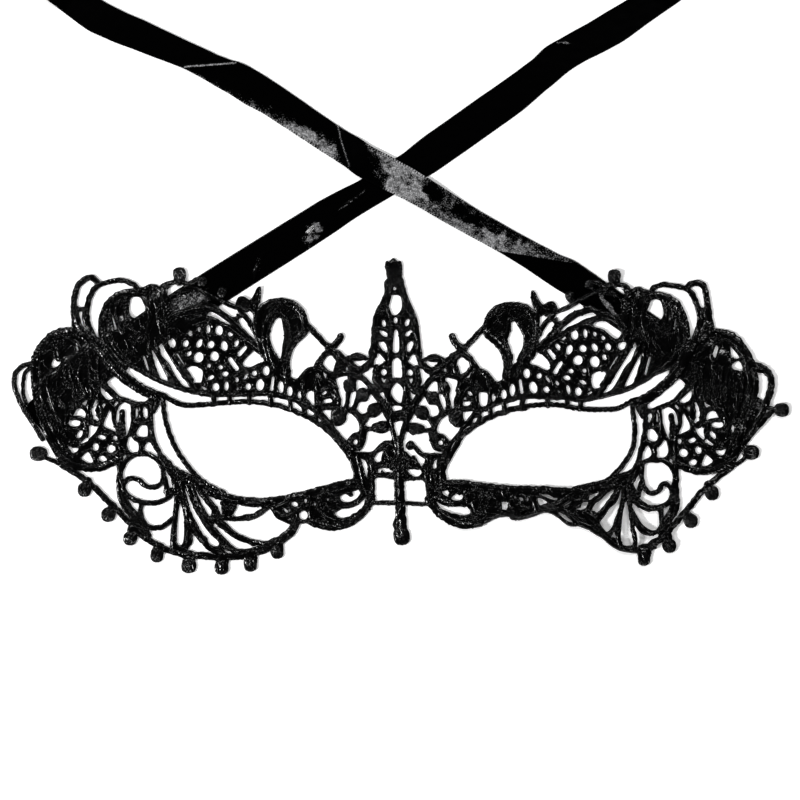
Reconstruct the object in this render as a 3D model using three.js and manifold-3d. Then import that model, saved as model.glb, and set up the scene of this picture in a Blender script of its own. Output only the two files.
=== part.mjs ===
// Black lace masquerade mask, lying face up, with its two satin ribbons.
// Millimetres, +Z up, +Y towards the brow. X = 0, Y = 0 is the middle of the lace's own box
// before it is set on the origin at the end, and Z = 0 is what it lies on.
import * as THREE from 'three';
import { mergeVertices } from 'three/addons/utils/BufferGeometryUtils.js';
import Module from 'manifold-3d';

const wasm = await Module();
wasm.setup();

// ---- driving dimensions -------------------------------------------------------------------------------------
const LACE = 1.2; // thickness of the lace, ground and cords
const PICOT = 1.7; // height of the bobbles along its edge
const RIBBON_WIDTH = 9.6; // 3/8 inch satin ribbon
const RIBBON_THICKNESS = 0.3;
const CLEAR = 0.3; // face to face clearance between separate pieces
const CHANNEL = RIBBON_THICKNESS + CLEAR; // hollow under the lace where a sewn ribbon end lies
const EASE = 0.4; // the drawn edges are eased by up to this
const SMALLEST_OPENING = 2.5; // mm2: finer openings are left out of the solid
const FLAP = 1.0; // height of the scallop that is folded under
const LIFT = 1.25; // how far the lace is raised over that flap
const FLAP_SHARE = 0.62; // the folded flap isn't flat: its foreshortened width
const FOLD_EDGE = 1.6; // width of the folded edge
const TWIST_LENGTH = 25; // stretch in which a ribbon turns from flat to standing on edge
const CURL = { inner: 4, outer: 18.5, height: 9.9, entry: 17, lead: 8.4 }; // put-away end, standing on edge

// ---- solids -------------------------------------------------------------------------------------------------
function solid(geometry) {
  geometry.deleteAttribute('normal');
  geometry.deleteAttribute('uv');
  const g = mergeVertices(geometry, 1e-5);
  return new wasm.Manifold(
    new wasm.Mesh({
      numProp: 3,
      vertProperties: new Float32Array(g.attributes.position.array),
      triVerts: new Uint32Array(g.index.array),
    }),
  );
}

const plate = (points, low, high) =>
  solid(
    new THREE.ExtrudeGeometry(new THREE.Shape(points.map(([x, y]) => new THREE.Vector2(x, y))), {
      depth: high - low,
      bevelEnabled: false,
    }).translate(0, 0, low),
  );

// Joined two by two, so that each join stays small.
function union(list) {
  let row = list;
  while (row.length > 1) {
    const next = [];
    for (let i = 0; i < row.length; i += 2) next.push(i + 1 < row.length ? row[i].add(row[i + 1]) : row[i]);
    row = next;
  }
  return row[0];
}

const pairs = (a) => Array.from({ length: a.length / 2 }, (_, i) => [a[2 * i], a[2 * i + 1]]);
const turn = (a, b) => Math.abs(Math.atan2(a[0] * b[1] - a[1] * b[0], a[0] * b[0] + a[1] * b[1]));

// Outline of a cord of one width along a line, with rounded ends.
function outline(line, width) {
  const r = width / 2;
  const way = line.slice(1).map((p, i) => {
    const d = [p[0] - line[i][0], p[1] - line[i][1]];
    const l = Math.hypot(...d);
    return [d[0] / l, d[1] / l];
  });
  const left = [];
  const right = [];
  line.forEach((p, i) => {
    const a = way[Math.max(0, i - 1)];
    const b = way[Math.min(way.length - 1, i)];
    const m = [a[0] + b[0], a[1] + b[1]];
    const l = Math.hypot(...m);
    const n = [-m[1] / l, m[0] / l];
    const s = r / Math.max(0.5, n[0] * -a[1] + n[1] * a[0]);
    left.push([p[0] + n[0] * s, p[1] + n[1] * s]);
    right.push([p[0] - n[0] * s, p[1] - n[1] * s]);
  });
  const end = (p, d) => [p[0] + d[0] * r * 0.8, p[1] + d[1] * r * 0.8];
  const first = way[0];
  const last = way[way.length - 1];
  return [...left, end(line[line.length - 1], last), ...right.reverse(), end(line[0], [-first[0], -first[1]])];
}

// A cord that bends right round is cut in lengths that bend less, so that no outline crosses itself.
function strand(line, width, low, high) {
  const parts = [];
  let start = 0;
  let bent = 0;
  for (let i = 1; i < line.length - 1; i++) {
    const a = [line[i][0] - line[i - 1][0], line[i][1] - line[i - 1][1]];
    const b = [line[i + 1][0] - line[i][0], line[i + 1][1] - line[i][1]];
    bent += turn(a, b);
    if (bent > 2.4) {
      parts.push(line.slice(start, i + 1));
      start = i;
      bent = 0;
    }
  }
  parts.push(line.slice(start));
  return parts.map((p) => plate(outline(p, width), low, high));
}

// ---- the lace's chart ---------------------------------------------------------------------------------------
// The wearer's-right half is drawn; the other half is the same drawing turned over about a slightly slanting
// centre line and eased by the small shifts below, because the thread work has pulled the two halves unevenly.
//   pad: area filled with thread    gap, eye, slot: openings in it    cord, loop: corded lines    bead: bobble
function half({ cord, loop, pad, gap, eye, slot, bead }) {
  // upper loop, arch and comma
  cord(1.7, -94.4, 25.5, -94.7, 33.1, -94.3, 35.4, -93.5, 37.6, -92.2, 39.1, -90.3, 40.1, -88.7, 39.6, -87.6, 38.1);
  cord(1.6, -87.7, 38, -89.3, 35.9, -90.2, 34, -90.9, 30.7, -90.9, 28.1, -90.4, 26.1, -89.1, 23.3, -85.4, 17.4);
  cord(1.2, -93.5, 30.9, -91.5, 31);
  cord(1.9, -94, 31, -93.9, 28.7, -93.5, 26.9, -92.7, 25.5, -91.2, 23.8);
  cord(1.2, -91.6, 31, -91.2, 26.4);
  cord(1.4, -87.7, 37.8, -83.4, 39.1, -80.2, 39.2, -78.1, 38.5, -75.8, 36.5, -74.1, 36);
  cord(2.0, -76.1, 36, -80.5, 35.5, -83.1, 34.1, -85.3, 31.4, -86.5, 27.8, -86.5, 23.8, -85.6, 20.7, -82.8, 16.6, -79.9, 14.2);
  // scalloped top edge
  cord(1.3, -75.8, 36.4, -72.1, 37.6, -70.6, 37.1, -69.5, 36.2);
  cord(1.3, -69.5, 36.2, -68.9, 37.6, -67.2, 38.5, -63.9, 38.8, -61.6, 38.3, -58.7, 39.6, -57.3, 39.1);
  cord(1.3, -62.2, 37.7, -58.4, 36.6, -48.6, 31.9, -44.5, 30.7);
  cord(1.4, -47.1, 32.2, -46.3, 30.2, -43.2, 26.3, -39.6, 19.1);
  // ground of the wing, from the comma to the hook
  pad(-76.4, 36.5, -80.6, 35.9, -82.7, 34.9, -85.1, 32.7, -86.4, 29.9, -87, 25.8, -86.4, 21.7, -84.9, 18.4, -82.3, 15.8, -68.9, 9.5, -64.6, 7.9, -54.5, 5.8, -41.2, 6.5, -35.3, 5.9, -31.2, 4.5, -22.4, -2.2, -18.3, -3, -16.5, -2.1, -15.7, 0.1, -15.7, 2.6, -18.4, 9.3, -19, 11.7, -20.1, 12.9, -23, 14, -26.6, 14, -27.7, 13.4, -29.8, 10.9, -30.8, 10.8, -32.8, 12.4, -38, 18.7, -41.4, 21.7, -44.5, 27.6, -46.1, 29.2, -57.3, 33.5, -60.1, 36, -62, 36.8, -69.3, 37.7, -72.6, 36.8);
  // openings in the wing
  gap(-77.9, 34.4, -76.4, 34.6, -75.3, 34.2, -73.7, 31, -73.9, 30.3, -76.8, 28.4, -78, 28.9, -78.6, 30.1, -78.3, 33.5);
  gap(-67.9, 36, -67.4, 36.8, -66.3, 37.5, -63.1, 38, -63.9, 36.8, -66.7, 34.7, -67.4, 35);
  gap(-66.5, 34.2, -65.6, 35, -61, 36, -58.6, 35.3, -57.2, 34.1, -57.5, 33.5, -58.7, 32.6, -61.6, 31.6, -65.5, 29.5, -66, 29.7, -66.4, 31);
  gap(-58.1, 27.7, -61, 28.4, -63.4, 28.1, -65.3, 26.9, -66.2, 25.6, -66.4, 24.6, -65.4, 23.8, -64.6, 23.9);
  slot(-74.2, 17, -73.1, 13.5, 0.7, 0.6);
  gap(-72.1, 19.3, -69.3, 14.6, -67.5, 10.9, -67.5, 10.1, -69.2, 10.7, -69.9, 11.4, -71.4, 15.6);
  gap(-69.2, 21, -65.4, 14.6, -61.2, 8.7, -61, 8.1, -62.5, 8.5, -63.7, 9.5, -67.1, 15.2, -69.6, 18.1, -70.1, 19.8);
  eye(-66.2, 21.2, 1.1, 1.4, 12);
  eye(-60.8, 23.9, 0.7, 0.8, -0);
  eye(-58.3, 25.1, 0.5, 0.8, -0);
  eye(-55.7, 25.1, 0.6, 1.3, -0);
  eye(-52.6, 24.8, 1.1, 1.5, -0);
  eye(-49.3, 23.7, 0.8, 0.7, -0);
  eye(-62.2, 21, 0.8, 1.1, -20);
  eye(-58.3, 21.1, 0.8, 1.4, -28);
  eye(-55, 20.7, 1.0, 1.1, -35);
  eye(-51.1, 20.3, 1.0, 1.5, 10);
  eye(-47.6, 21, 0.6, 1.1, -28);
  slot(-46.7, 17.9, -45, 19.8, 1.3, 1.2);
  eye(-61.2, 18.1, 0.6, 0.9, -35);
  slot(-64.7, 17.8, -63.2, 15, 0.6, 0.8);
  eye(-58.5, 17, 1.4, 1.6, -22);
  eye(-53.9, 17.3, 1.2, 1.4, -0);
  slot(-49.4, 16.4, -47.5, 13.7, 1.3, 1.4);
  gap(-45.8, 15.1, -44.4, 17.1, -42.6, 18.9, -41.8, 19.2, -41, 18.8, -39.6, 16.2, -40, 15.6, -44.1, 14.1, -45.2, 14.3);
  gap(-62.1, 13, -61.7, 13.9, -60.7, 14.4, -59.2, 14.4, -58, 13.8, -57.3, 12.6, -57.8, 9.7, -58.9, 9.4, -60.1, 9.9, -61.5, 11.7);
  eye(-50.8, 12.2, 1.0, 0.8, -0);
  eye(-55, 11.1, 0.6, 1.0, -60);
  eye(-42.3, 12.4, 0.7, 0.8, -0);
  eye(-47.4, 10.5, 0.5, 0.8, -0);
  slot(-57.4, 8.3, -56.5, 7.7, 0.5, 0.7);
  eye(-53.5, 8.4, 1.0, 1.2, -0);
  eye(-50.4, 8.7, 0.6, 1.4, -0);
  eye(-44.1, 8.5, 0.8, 1.0, -0);
  eye(-40.7, 9, 1.2, 1.7, -8);
  eye(-38.9, 13.1, 1.0, 1.4, -0);
  slot(-36.9, 11, -37.3, 7.8, 0.5, 0.8);
  eye(-34.7, 8.4, 0.7, 1.6, -0);
  eye(-32.1, 7.2, 0.7, 1.4, -0);
  eye(-29.2, 6.1, 0.5, 1.0, -0);
  slot(-52.4, 5, -50.8, 5, 1.1, 1.1);
  slot(-48.3, 5.3, -45, 5.5, 0.9, 1.0);
  slot(-42.3, 5.3, -39.3, 5, 1.3, 1.4);
  slot(-36.2, 4.7, -32.9, 3.7, 1.5, 0.8);
  gap(-31.2, 2.6, -30.6, 3.6, -30, 3.8, -29, 3.1, -28.7, 2.3, -29.1, 1.9, -30.4, 1.9, -31, 2);
  slot(-26.5, 1.4, -25.6, 0.8, 1.2, 1.2);
  gap(-27, 6.4, -26.4, 7.2, -25.7, 7.3, -25.2, 6.9, -25.2, 3.2, -26.9, 5);
  gap(-22.5, 1.5, -20.4, 1.8, -18.9, 1.4, -19.9, 0.1, -20.4, -1.2, -22.2, 0.8);
  slot(-21.6, 4.3, -20.4, 4.3, 0.9, 1.0);
  gap(-22.8, 13.3, -22.5, 13.3, -21.4, 12, -21.4, 11.5, -22, 10.7, -22.4, 10.7, -22.6, 11);
  // ribs, rims and veins of the wing
  cord(1.2, -66.6, 19.4, -60.5, 10.4);
  cord(1.3, -79.3, 15.2, -68.4, 9.5, -59.3, 6.9, -53.6, 6.1, -38.4, 6.4, -30.6, 4.6, -25, 0.7, -19.1, -4.2, -16.3, -7.5, -14.4, -10.4);
  cord(1.4, -72.1, 6.7, -69.5, 6.3, -65.1, 3.9, -62.8, 3.2, -58.2, 3.2, -46.8, 4.1, -41.6, 4.1, -34.9, 3.1, -27.4, 0.1, -25.5, -0.9, -21.5, -3.8, -18.1, -7.3, -13.9, -13.2, -13.1, -15.4, -12.6, -18.6);
  cord(1.2, -27.4, 1.2, -19.8, -5, -15.2, -11);
  cord(1.4, -54.1, 5.8, -53.9, 3.5);
  cord(1.3, -49.6, 5.8, -49.4, 3.8);
  cord(1.3, -43.8, 6.1, -43.8, 3.8);
  cord(1.4, -37.8, 6.1, -37.4, 3.2);
  cord(1.2, -32, 4.6, -31.8, 1.7);
  cord(1.4, -28.1, 2.3, -27.7, 0);
  cord(1.2, -24.5, 0.6, -24.5, -2);
  // small bumps, thorn and hook
  bead(-64.1, 41.3, 1.8);
  cord(3.2, -64.1, 40.9, -64.1, 39.3);
  bead(-57.3, 39, 1.3);
  bead(-51.6, 36, 1.4);
  cord(1.4, -51.6, 35.7, -52.5, 33.8);
  pad(-47.7, 31.9, -47.6, 33.1, -46.8, 34.5, -45.7, 34.7, -43.6, 33.6, -41.6, 37, -40.6, 37.6, -40.5, 33.9, -42.3, 30, -44.2, 30.7, -45.7, 30.2);
  gap(-45.6, 30.4, -44.7, 30.7, -44.1, 29.3);
  cord(1.4, -41.9, 32.8, -42.1, 29.6, -41.6, 26.1);
  gap(-46.9, 27.8, -46.8, 28.4, -46.1, 28.6, -44.9, 27.6, -41.8, 22.2, -41.9, 21.4, -42.8, 21.6, -44.3, 23.1);
  gap(-52.8, 31.6, -52.7, 32, -51.9, 32.4, -51, 32.3, -48.1, 30.3, -47.4, 29.3, -48.1, 28.7, -49.1, 28.8);
  gap(-56, 29.3, -55.3, 30.1, -54.2, 30, -49.2, 26.5, -50.7, 26.8);
  pad(-38.4, 12.8, -39.8, 15.3, -41.3, 20.6, -42.2, 26.2, -41.8, 29.8, -40.8, 31.7, -37.3, 33.6, -34.9, 34.2, -32.3, 33.9, -29.8, 32.6, -28.1, 30.9, -26.3, 26.3, -26.4, 24.9, -27.4, 23.3, -29.8, 21.4, -31.3, 18.8, -32.1, 15.7, -31.9, 11.6, -33.5, 11.3, -37.1, 12);
  gap(-36, 28.1, -35, 28.6, -34.6, 28.3, -33.7, 23.8, -34.9, 16.6, -35.7, 17.3, -36.7, 19.1, -38, 23.3, -37.6, 25.7);
  // bud, ring and cross
  cord(1.6, -27.3, 26.6, -21.7, 20.8, -19.9, 19.6);
  cord(1.9, -21, 19.8, -18.8, 20.8, -17.9, 21.8, -17.4, 23.1);
  cord(1.4, -24.9, 13.6, -22.7, 17.1, -20.6, 19);
  cord(1.6, -20.7, 19.3, -18.1, 18.2, -15.8, 15.9);
  loop(1.2, -20.4, 18.2, -19.5, 17.9, -18.6, 17.1, -18, 15.2, -18.3, 13.2, -19.7, 12.1, -22, 13.3, -23, 15.3, -22.3, 17);
  // paisley
  cord(1.4, -22.8, 10.4, -20.7, 9.7, -19.1, 8.3, -18, 6.4, -17.2, 3.7, -17.4, 2.6, -18.3, 1.7, -22.2, 2);
  // inner cheek: ground with its openings
  pad(-17.5, 17.4, -15.8, 17, -12.3, 18.3, -10.9, 17.8, -9.1, 16.5, -8.7, 18.9, -4.5, 21.1, -2.1, 21.4, -0.5, 20.1, 0.4, 15, 0.7, 4.2, 0.1, -8.7, -0.3, -11.9, -0.8, -12.6, -1.7, -12, -4.8, -7.2, -5.6, -7.5, -6.9, -9.4, -8.5, -10.5, -13.2, -10.6, -15.9, -7.1, -20, -2.9, -20.1, -1.6, -17.5, 2.9, -19.6, 11.9, -18.9, 15.2);
  gap(-13.6, 15.9, -11.7, 15.9, -9.3, 16.5, -10.4, 15.3, -11.9, 14.3, -12.6, 14.7);
  gap(-18.7, 10.6, -18.3, 11, -16.3, 11.6, -15.3, 11.4, -15.4, 10.1, -16.5, 8.7, -15.5, 6, -16.3, 3.1, -16.9, 2.4, -17.2, 3, -17.3, 5.2, -18, 6.8);
  gap(-12.7, 10.4, -12.2, 10.5, -11.3, 10.1, -9.8, 8.6, -9.5, 7.9, -10.3, 7.7, -11.9, 7.8, -12.7, 7.4);
  gap(-13, 7.2, -12.9, 5.9, -13.8, 2.9, -14.2, 2.5, -14.8, 2.6, -15.1, 3.3, -14.3, 6.6, -13.9, 7);
  gap(-8.6, 6.4, -6.8, 4.3, -6.8, 3.7, -7.4, 3.3, -8.8, 3.5, -9.6, 2.3, -9.9, 0.9, -10.5, 0.6, -11.4, 0.7, -12.4, 1.6, -12.6, 3.2, -11.6, 4.1, -9.9, 4.2);
  gap(-11.1, 12.1, -9.6, 13, -9, 13.9, -7.8, 13.9, -8.3, 10.7, -7.6, 9);
  gap(-10.5, -1.4, -9.9, -0.4, -7.2, -0.3, -5.4, 1.2, -4, -1.2, -4.1, -1.5, -6.3, -1.6, -8.8, -3.2, -10, -2.8);
  gap(-14.9, 1.1, -14.1, 0.9, -12.8, -0.6, -12.1, -2, -11.9, -3.6, -12.2, -4.4, -14, -5.2, -15.5, -7, -17.2, -5.7, -19.2, -2.7, -17.3, -2.5, -16.5, -2, -15.8, -1, -15.6, 0.3);
  eye(-13, -7.5, 0.6, 0.8, -15);
  gap(-13.3, -10.3, -11.6, -9.9, -11, -9.3, -10.1, -7.2, -9.7, -5, -9.2, -4.3, -8.3, -4.2, -5.4, -5.1, -3.3, -4.2, -2.7, -4.3, -2.4, -5.7, -2.6, -7, -5.1, -7.3, -6.6, -9.2, -7.6, -10, -9.4, -10.5);
  gap(-7.7, 14.8, -7.1, 17.7, -6.7, 18.2, -6.2, 18.2, -4.4, 15.9, -6.5, 14.5);
  eye(-4.8, 12.7, 0.8, 1.0, -0);
  slot(-5.5, 6.6, -4.9, 5.2, 0.8, 0.5);
  bead(-14.6, 8.6, 1.6);
  bead(-11, 6, 1.7);
  bead(-7.7, 1.9, 1.8);
  bead(-17.8, -0.3, 2.2);
  bead(-5.8, -3.3, 1.9);
  cord(1.3, -15.2, 7.2, -15.8, 2);
  cord(1.2, -11.2, -2.6, -7.7, 2);
  // eye corner and nose side
  pad(-14.6, -10.4, -13.4, -9.9, -8.8, -10.6, -5.9, -8, -3.6, -7.2, -1, -7.7, 0, -9.6, 0.5, -14.8, 0, -17.8, -1.3, -18.5, -5.7, -17.7, -7.1, -18, -7.6, -19.4, -7.6, -25.2, -11, -29.5, -14.6, -31.8, -20.1, -32.7, -28, -30.6, -30, -31.3, -33.5, -30.7, -36.2, -29.4, -38.1, -26.3, -37.5, -25.4, -32, -24.2, -21.1, -20.9, -13.1, -19.5, -13, -18, -14.6, -12.3);
  gap(-11.5, -12.5, -10.3, -12.9, -9.6, -14.2, -9.5, -16, -9.8, -17.7);
  gap(-7.7, -12.3, -6.5, -10.6, -5, -10.3, -5.4, -12.6, -5.8, -13.1, -6.8, -13.4);
  eye(-6, -15.9, 0.5, 1.0, -0);
  gap(-5.5, -14.9, -2.9, -15.4, -2, -16.3, -2.5, -16.6, -4.6, -16.3, -5.3, -15.6);
  gap(-17.5, -23.5, -16.2, -22.6, -14.4, -23.5, -13.7, -22.8, -14, -21.9, -12.6, -21.5, -11.9, -21, -11.5, -21.6, -11.5, -22.3, -12.1, -23.2, -14.4, -24.8, -16.5, -24.9, -17.4, -24.2);
  gap(-19, -28.1, -17.9, -27, -15.2, -26.8, -13.2, -26.2, -10, -23.5, -9.5, -23.5, -9.7, -24.9, -10.4, -26.4, -12.6, -28.1, -15.2, -29.3, -16.7, -29.6, -18.2, -29.3);
  slot(-33.7, -26.9, -32.9, -27.7, 0.5, 0.7);
  eye(-30.7, -25.6, 1.0, 0.7, -15);
  eye(-28.1, -28.8, 1.3, 1.3, -0);
  cord(1.6, -12.9, -18, -13.1, -14.2, -15.2, -9.9);
  cord(2.0, -29.7, -30.3, -26.8, -30.4, -23.9, -31.3, -20.7, -31.7, -18.4, -31.6, -16.1, -30.9, -13.5, -29.7, -11.2, -27.8, -9.7, -25.5, -8.7, -22.6);
  cord(1.4, -9.3, -23.5, -9.9, -26.1, -11, -27.5, -14.4, -29.6, -17.8, -30.6);
  cord(1.2, -29.1, -23.5, -26.5, -29.6);
  cord(1.2, -31.8, -24.4, -30, -27, -30, -30.2);
  cord(1.2, -8.6, -25.2, -1.3, -25.2);
  cord(1.2, -6.8, -9, -7.4, -12.8, -7.1, -16.2);
  // temple fan
  pad(-106.9, 15.7, -106.1, 18, -104.5, 20.6, -102.4, 23.2, -100.5, 24.6, -98.2, 25.4, -95.5, 25.5, -93, 25.1, -91.1, 24.2, -89.4, 22.3, -83.7, 13.4, -74.4, 8.3, -69.5, 6.7, -70.2, 2.5, -72.1, 0.4, -72.1, -4.1, -71.4, -7, -72.3, -9.4, -74, -10.7, -78.4, -11.6, -84.6, -14.5, -87.7, -15.5, -94.4, -14.9, -98.4, -13.5, -100, -11.6, -102.3, -7.4, -105.3, 0.7, -106.7, 7.5);
  cord(2.9, -88, 21.5, -84.3, 16.3, -79.4, 11, -76.1, 8.4, -71.8, 6.2);
  cord(1.4, -72.1, 3.5, -72.3, -3.2, -71.8, -6.1, -70.9, -8.7, -68.6, -12.3, -65.9, -15, -63.1, -17);
  cord(2.2, -98.7, -11.9, -95, -14.2, -90, -15, -85.9, -14.5, -81.3, -12.3);
  cord(1.3, -81.3, -2.3, -81.3, -12.8);
  gap(-100.4, 16.7, -99.6, 15.9, -98.4, 15.7, -99.3, 14.5, -100.8, 14, -101.1, 15.1);
  gap(-86.9, 8.4, -83.3, 5.6, -83.3, 5.2, -84.5, 4.7, -85.9, 5.4, -86.6, 6.6);
  gap(-85, 9.6, -84.3, 10.5, -82.6, 11.6, -80.4, 9.4, -73.6, 5.7, -73.1, 5, -74.2, 4.2, -75.4, 4, -77.6, 4.3, -79.9, 5.1, -81.8, 6.2, -84.6, 8.9);
  gap(-82.4, -1.2, -82.2, 1.2, -81.5, 2.8, -79.9, 4, -78.6, 4, -78, -0.9, -79.2, -5.5, -80.1, -5.7, -81.3, -4.6);
  eye(-73.9, 0.9, 0.8, 1.7, 8);
  gap(-76.6, -5.2, -75.5, -3, -74.7, -2.6, -73.5, -2.8, -73.2, -5.3, -73.7, -6.3, -75.4, -6.2, -76.3, -5.8);
  gap(-78.7, -6.1, -78.2, -5.9, -77.1, -7.1, -76.1, -7.7, -75.8, -9.3, -76.3, -10.5, -77.9, -10.6, -79, -9.7, -79.3, -8.4);
  gap(-73.1, -7.5, -72.4, -7.8, -71.7, -9.4, -70.2, -11.5, -74.2, -9.8, -74.1, -8.7);
  gap(-94.9, -0.2, -94, 1.6, -93.3, 2.3, -91.8, 1.7, -91.1, 0, -91.4, -0.6);
  eye(-94.5, -2, 1.8, 1.0, -0);
  eye(-92.9, -5.3, 0.7, 1.3, -30);
  slot(-92.5, -7.7, -90.9, -6.8, 0.7, 1.1);
  gap(-96.3, -8.7, -95, -9.3, -93.3, -9.3, -93.3, -9.5, -94.1, -10.5, -95, -10.7, -95.9, -10);
  gap(-90.6, -1.7, -88.9, -3, -87.6, -2.7, -87.6, -2.9, -88.6, -4.9, -90.5, -6.6, -90.2, -4.3);
  slot(-88, 4.3, -89, 1.9, 0.9, 1.1);
  slot(-89, 1.9, -88.6, -0.4, 1.1, 1.2);
  slot(-88.6, -0.4, -87.9, -1, 1.2, 0.9);
  slot(-91.8, 3.2, -90.9, 4.3, 1.2, 0.8);
  slot(-86.7, 1.9, -85.9, 3.3, 0.8, 0.8);
  gap(-84.4, 1.7, -83.8, 0.7, -83.6, -1.5, -82.4, -4.3, -82.6, -4.5, -85.2, -3.4, -86, -2.6, -85.6, -0.8);
  eye(-86.6, -6.2, 1.2, 0.7, -12);
  eye(-82.6, -6.4, 0.7, 0.8, 25);
  eye(-88.3, -9, 1.0, 1.1, -0);
  eye(-83.9, -9.6, 1.3, 1.2, -0);
  gap(-92.5, -12.1, -91.4, -10.8, -90.4, -10.4, -89.1, -13.3, -89.6, -13.6, -90.6, -13.6, -92.5, -12.4);
  eye(-86.3, -12.4, 1.2, 0.9, -18);
  slot(-80.7, -12.8, -79.8, -11.7, 0.6, 0.9);
  cord(1.6, -80.7, 1.2, -80.3, -5.2);
  // small side loop and the outermost picot
  cord(1.3, -105.7, 15.2, -108.6, 14.8, -110.6, 13.7, -111.7, 11.9, -111.9, 9.3, -111.4, 7, -110.1, 3.7, -103.7, -6.7);
  cord(1.0, -106.9, 14.4, -108.6, 12.6, -109.3, 10.2, -109.3, 7.2, -108.3, 3.2);
  bead(-105.1, -10.9, 2.2);
  cord(1.1, -103.4, -11.9, -95.3, -15.7);
  // lower edge with its picots
  cord(1.7, -98.2, -14.2, -92.4, -17.7, -87.9, -21.5, -74.2, -35.2, -69.2, -38.1, -63.4, -40.1, -55.8, -40.9, -49.4, -41, -46.5, -40.7, -42.2, -39.7, -39.3, -38.7, -34.7, -36.2, -32.1, -34.2, -29.1, -31.2);
  cord(1.3, -51.8, -37.7, -47.1, -39.3, -45.4, -39.4, -40.5, -37.9, -36.4, -35.8);
  bead(-91.6, -21.4, 2.0);
  bead(-84.7, -28.7, 2.0);
  bead(-78.4, -35.5, 2.0);
  bead(-70.6, -40.5, 1.9);
  bead(-61.3, -43.5, 2.1);
  bead(-51.9, -43.9, 2.0);
  bead(-43.5, -43.1, 2.0);
  bead(-35.7, -39.5, 1.9);
  cord(2.6, -91.5, -20.9, -90.6, -19);
  cord(2.3, -84.5, -27.8, -83.5, -26.5);
  cord(3.5, -61.5, -42.6, -61, -40.6);
  cord(3.5, -51.7, -42.9, -51.5, -40.9);
  cord(3.6, -43.4, -42.2, -43.5, -40.3);
  cord(3.5, -35.7, -38.9, -35.8, -37.1);
  cord(3.3, -70.7, -39.7, -69.9, -38.3);
  cord(2.5, -78.3, -34.8, -77.7, -32.5);
  // ring with its scroll
  cord(1.4, -81.3, -12.8, -81.6, -20.3, -81.1, -24.1, -79.6, -27.1, -76.4, -30.7);
  cord(1.4, -80.5, -19.7, -81.1, -16.8, -80.8, -15.1, -80.1, -13.8, -77.9, -11.7, -75, -11, -71.9, -11.6, -69.8, -13.4, -68.7, -16.5, -68.8, -18, -69.3, -19.2, -70.4, -20.3, -72.5, -20.6, -74.3, -19.9, -76.3, -18.4, -77.9, -18.1, -79.2, -18.4, -80.3, -19.7);
  cord(1.4, -80.3, -19.6, -80.2, -21.4, -78.8, -23.3, -76.9, -24.4, -74.1, -25.1, -71.7, -25.3, -69.7, -24.9, -67.7, -23.9, -65.8, -22.3);
  cord(1.4, -68.4, -18, -67.6, -22.6);
  cord(1.4, -68, -13.6, -65.8, -16.1, -65, -18.6);
  cord(1.4, -69.6, -11.6, -65.9, -17.7, -65.2, -20.9);
  cord(1.4, -80.5, -22.6, -78.7, -26, -75.4, -29.7);
  cord(1.3, -75.3, -24.9, -75, -30);
  cord(1.4, -75, -29.9, -73.4, -31.8, -72.1, -32.4, -70.9, -32.5, -68.8, -32, -66, -29.7);
  pad(-78.2, -28.7, -76.7, -28.4, -75.3, -28.9, -72.1, -34.4, -72.4, -35.3, -74.2, -35.5, -77.9, -32.2, -78.6, -30.7);
  // ribs of the lower scallop
  cord(1.9, -65.1, -18, -64.8, -26.4, -66.2, -38.6);
  cord(1.9, -63.9, -18.3, -61.6, -31.3, -61.6, -38.6);
  cord(2.0, -62.3, -26.1, -60.5, -30.4, -57.6, -35.6, -55.4, -38, -52.6, -40);
  cord(1.9, -62.8, -18.6, -58.4, -28.2, -49.7, -38.9);
  cord(1.9, -61.3, -18.3, -58, -21.2, -55.7, -23.9, -54, -26.5, -52.6, -29.9);
  cord(1.7, -55.8, -27.8, -49.8, -33, -46.9, -35, -43.1, -36.5, -39, -37);
  cord(2.0, -39.6, -37.7, -37, -36.8, -35.3, -35.9, -30, -31.2);
  cord(2.4, -63.7, -16.8, -57.4, -20.8, -53.5, -22.7, -48.3, -24.2, -42.8, -24.9, -38.1, -24.8, -33.2, -24.1, -12.9, -19.1);
  cord(1.4, -68.9, 5.5, -68.3, 0.3, -67.4, -3.7, -65.9, -7.6, -63.7, -11.6, -61.2, -15.2, -58.2, -18.2, -55.1, -20.4, -51.2, -22.3);
  cord(1.2, -52.3, -29, -48.9, -29.8, -45.1, -29.6, -42, -28.6, -38.1, -26.1);
  pad(-51.9, -24.1, -49.1, -24.4, -47.2, -25.5, -47.5, -27.3, -49.5, -29.8, -50.7, -29.7, -51.9, -28.8, -52.3, -25);
  pad(-54.4, -27.5, -52.9, -27.7, -51.8, -28.5, -51.5, -29.3, -51.8, -30.6, -53.8, -30.4, -55.5, -29.2, -55.7, -28.2);
  pad(-65.4, -15.7, -60.5, -18.6, -58.5, -20.1, -58.2, -20.7, -60.5, -21.2, -62.2, -20.3, -63.9, -21.5, -65.5, -21.1, -65.9, -19.2);
}

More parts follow.
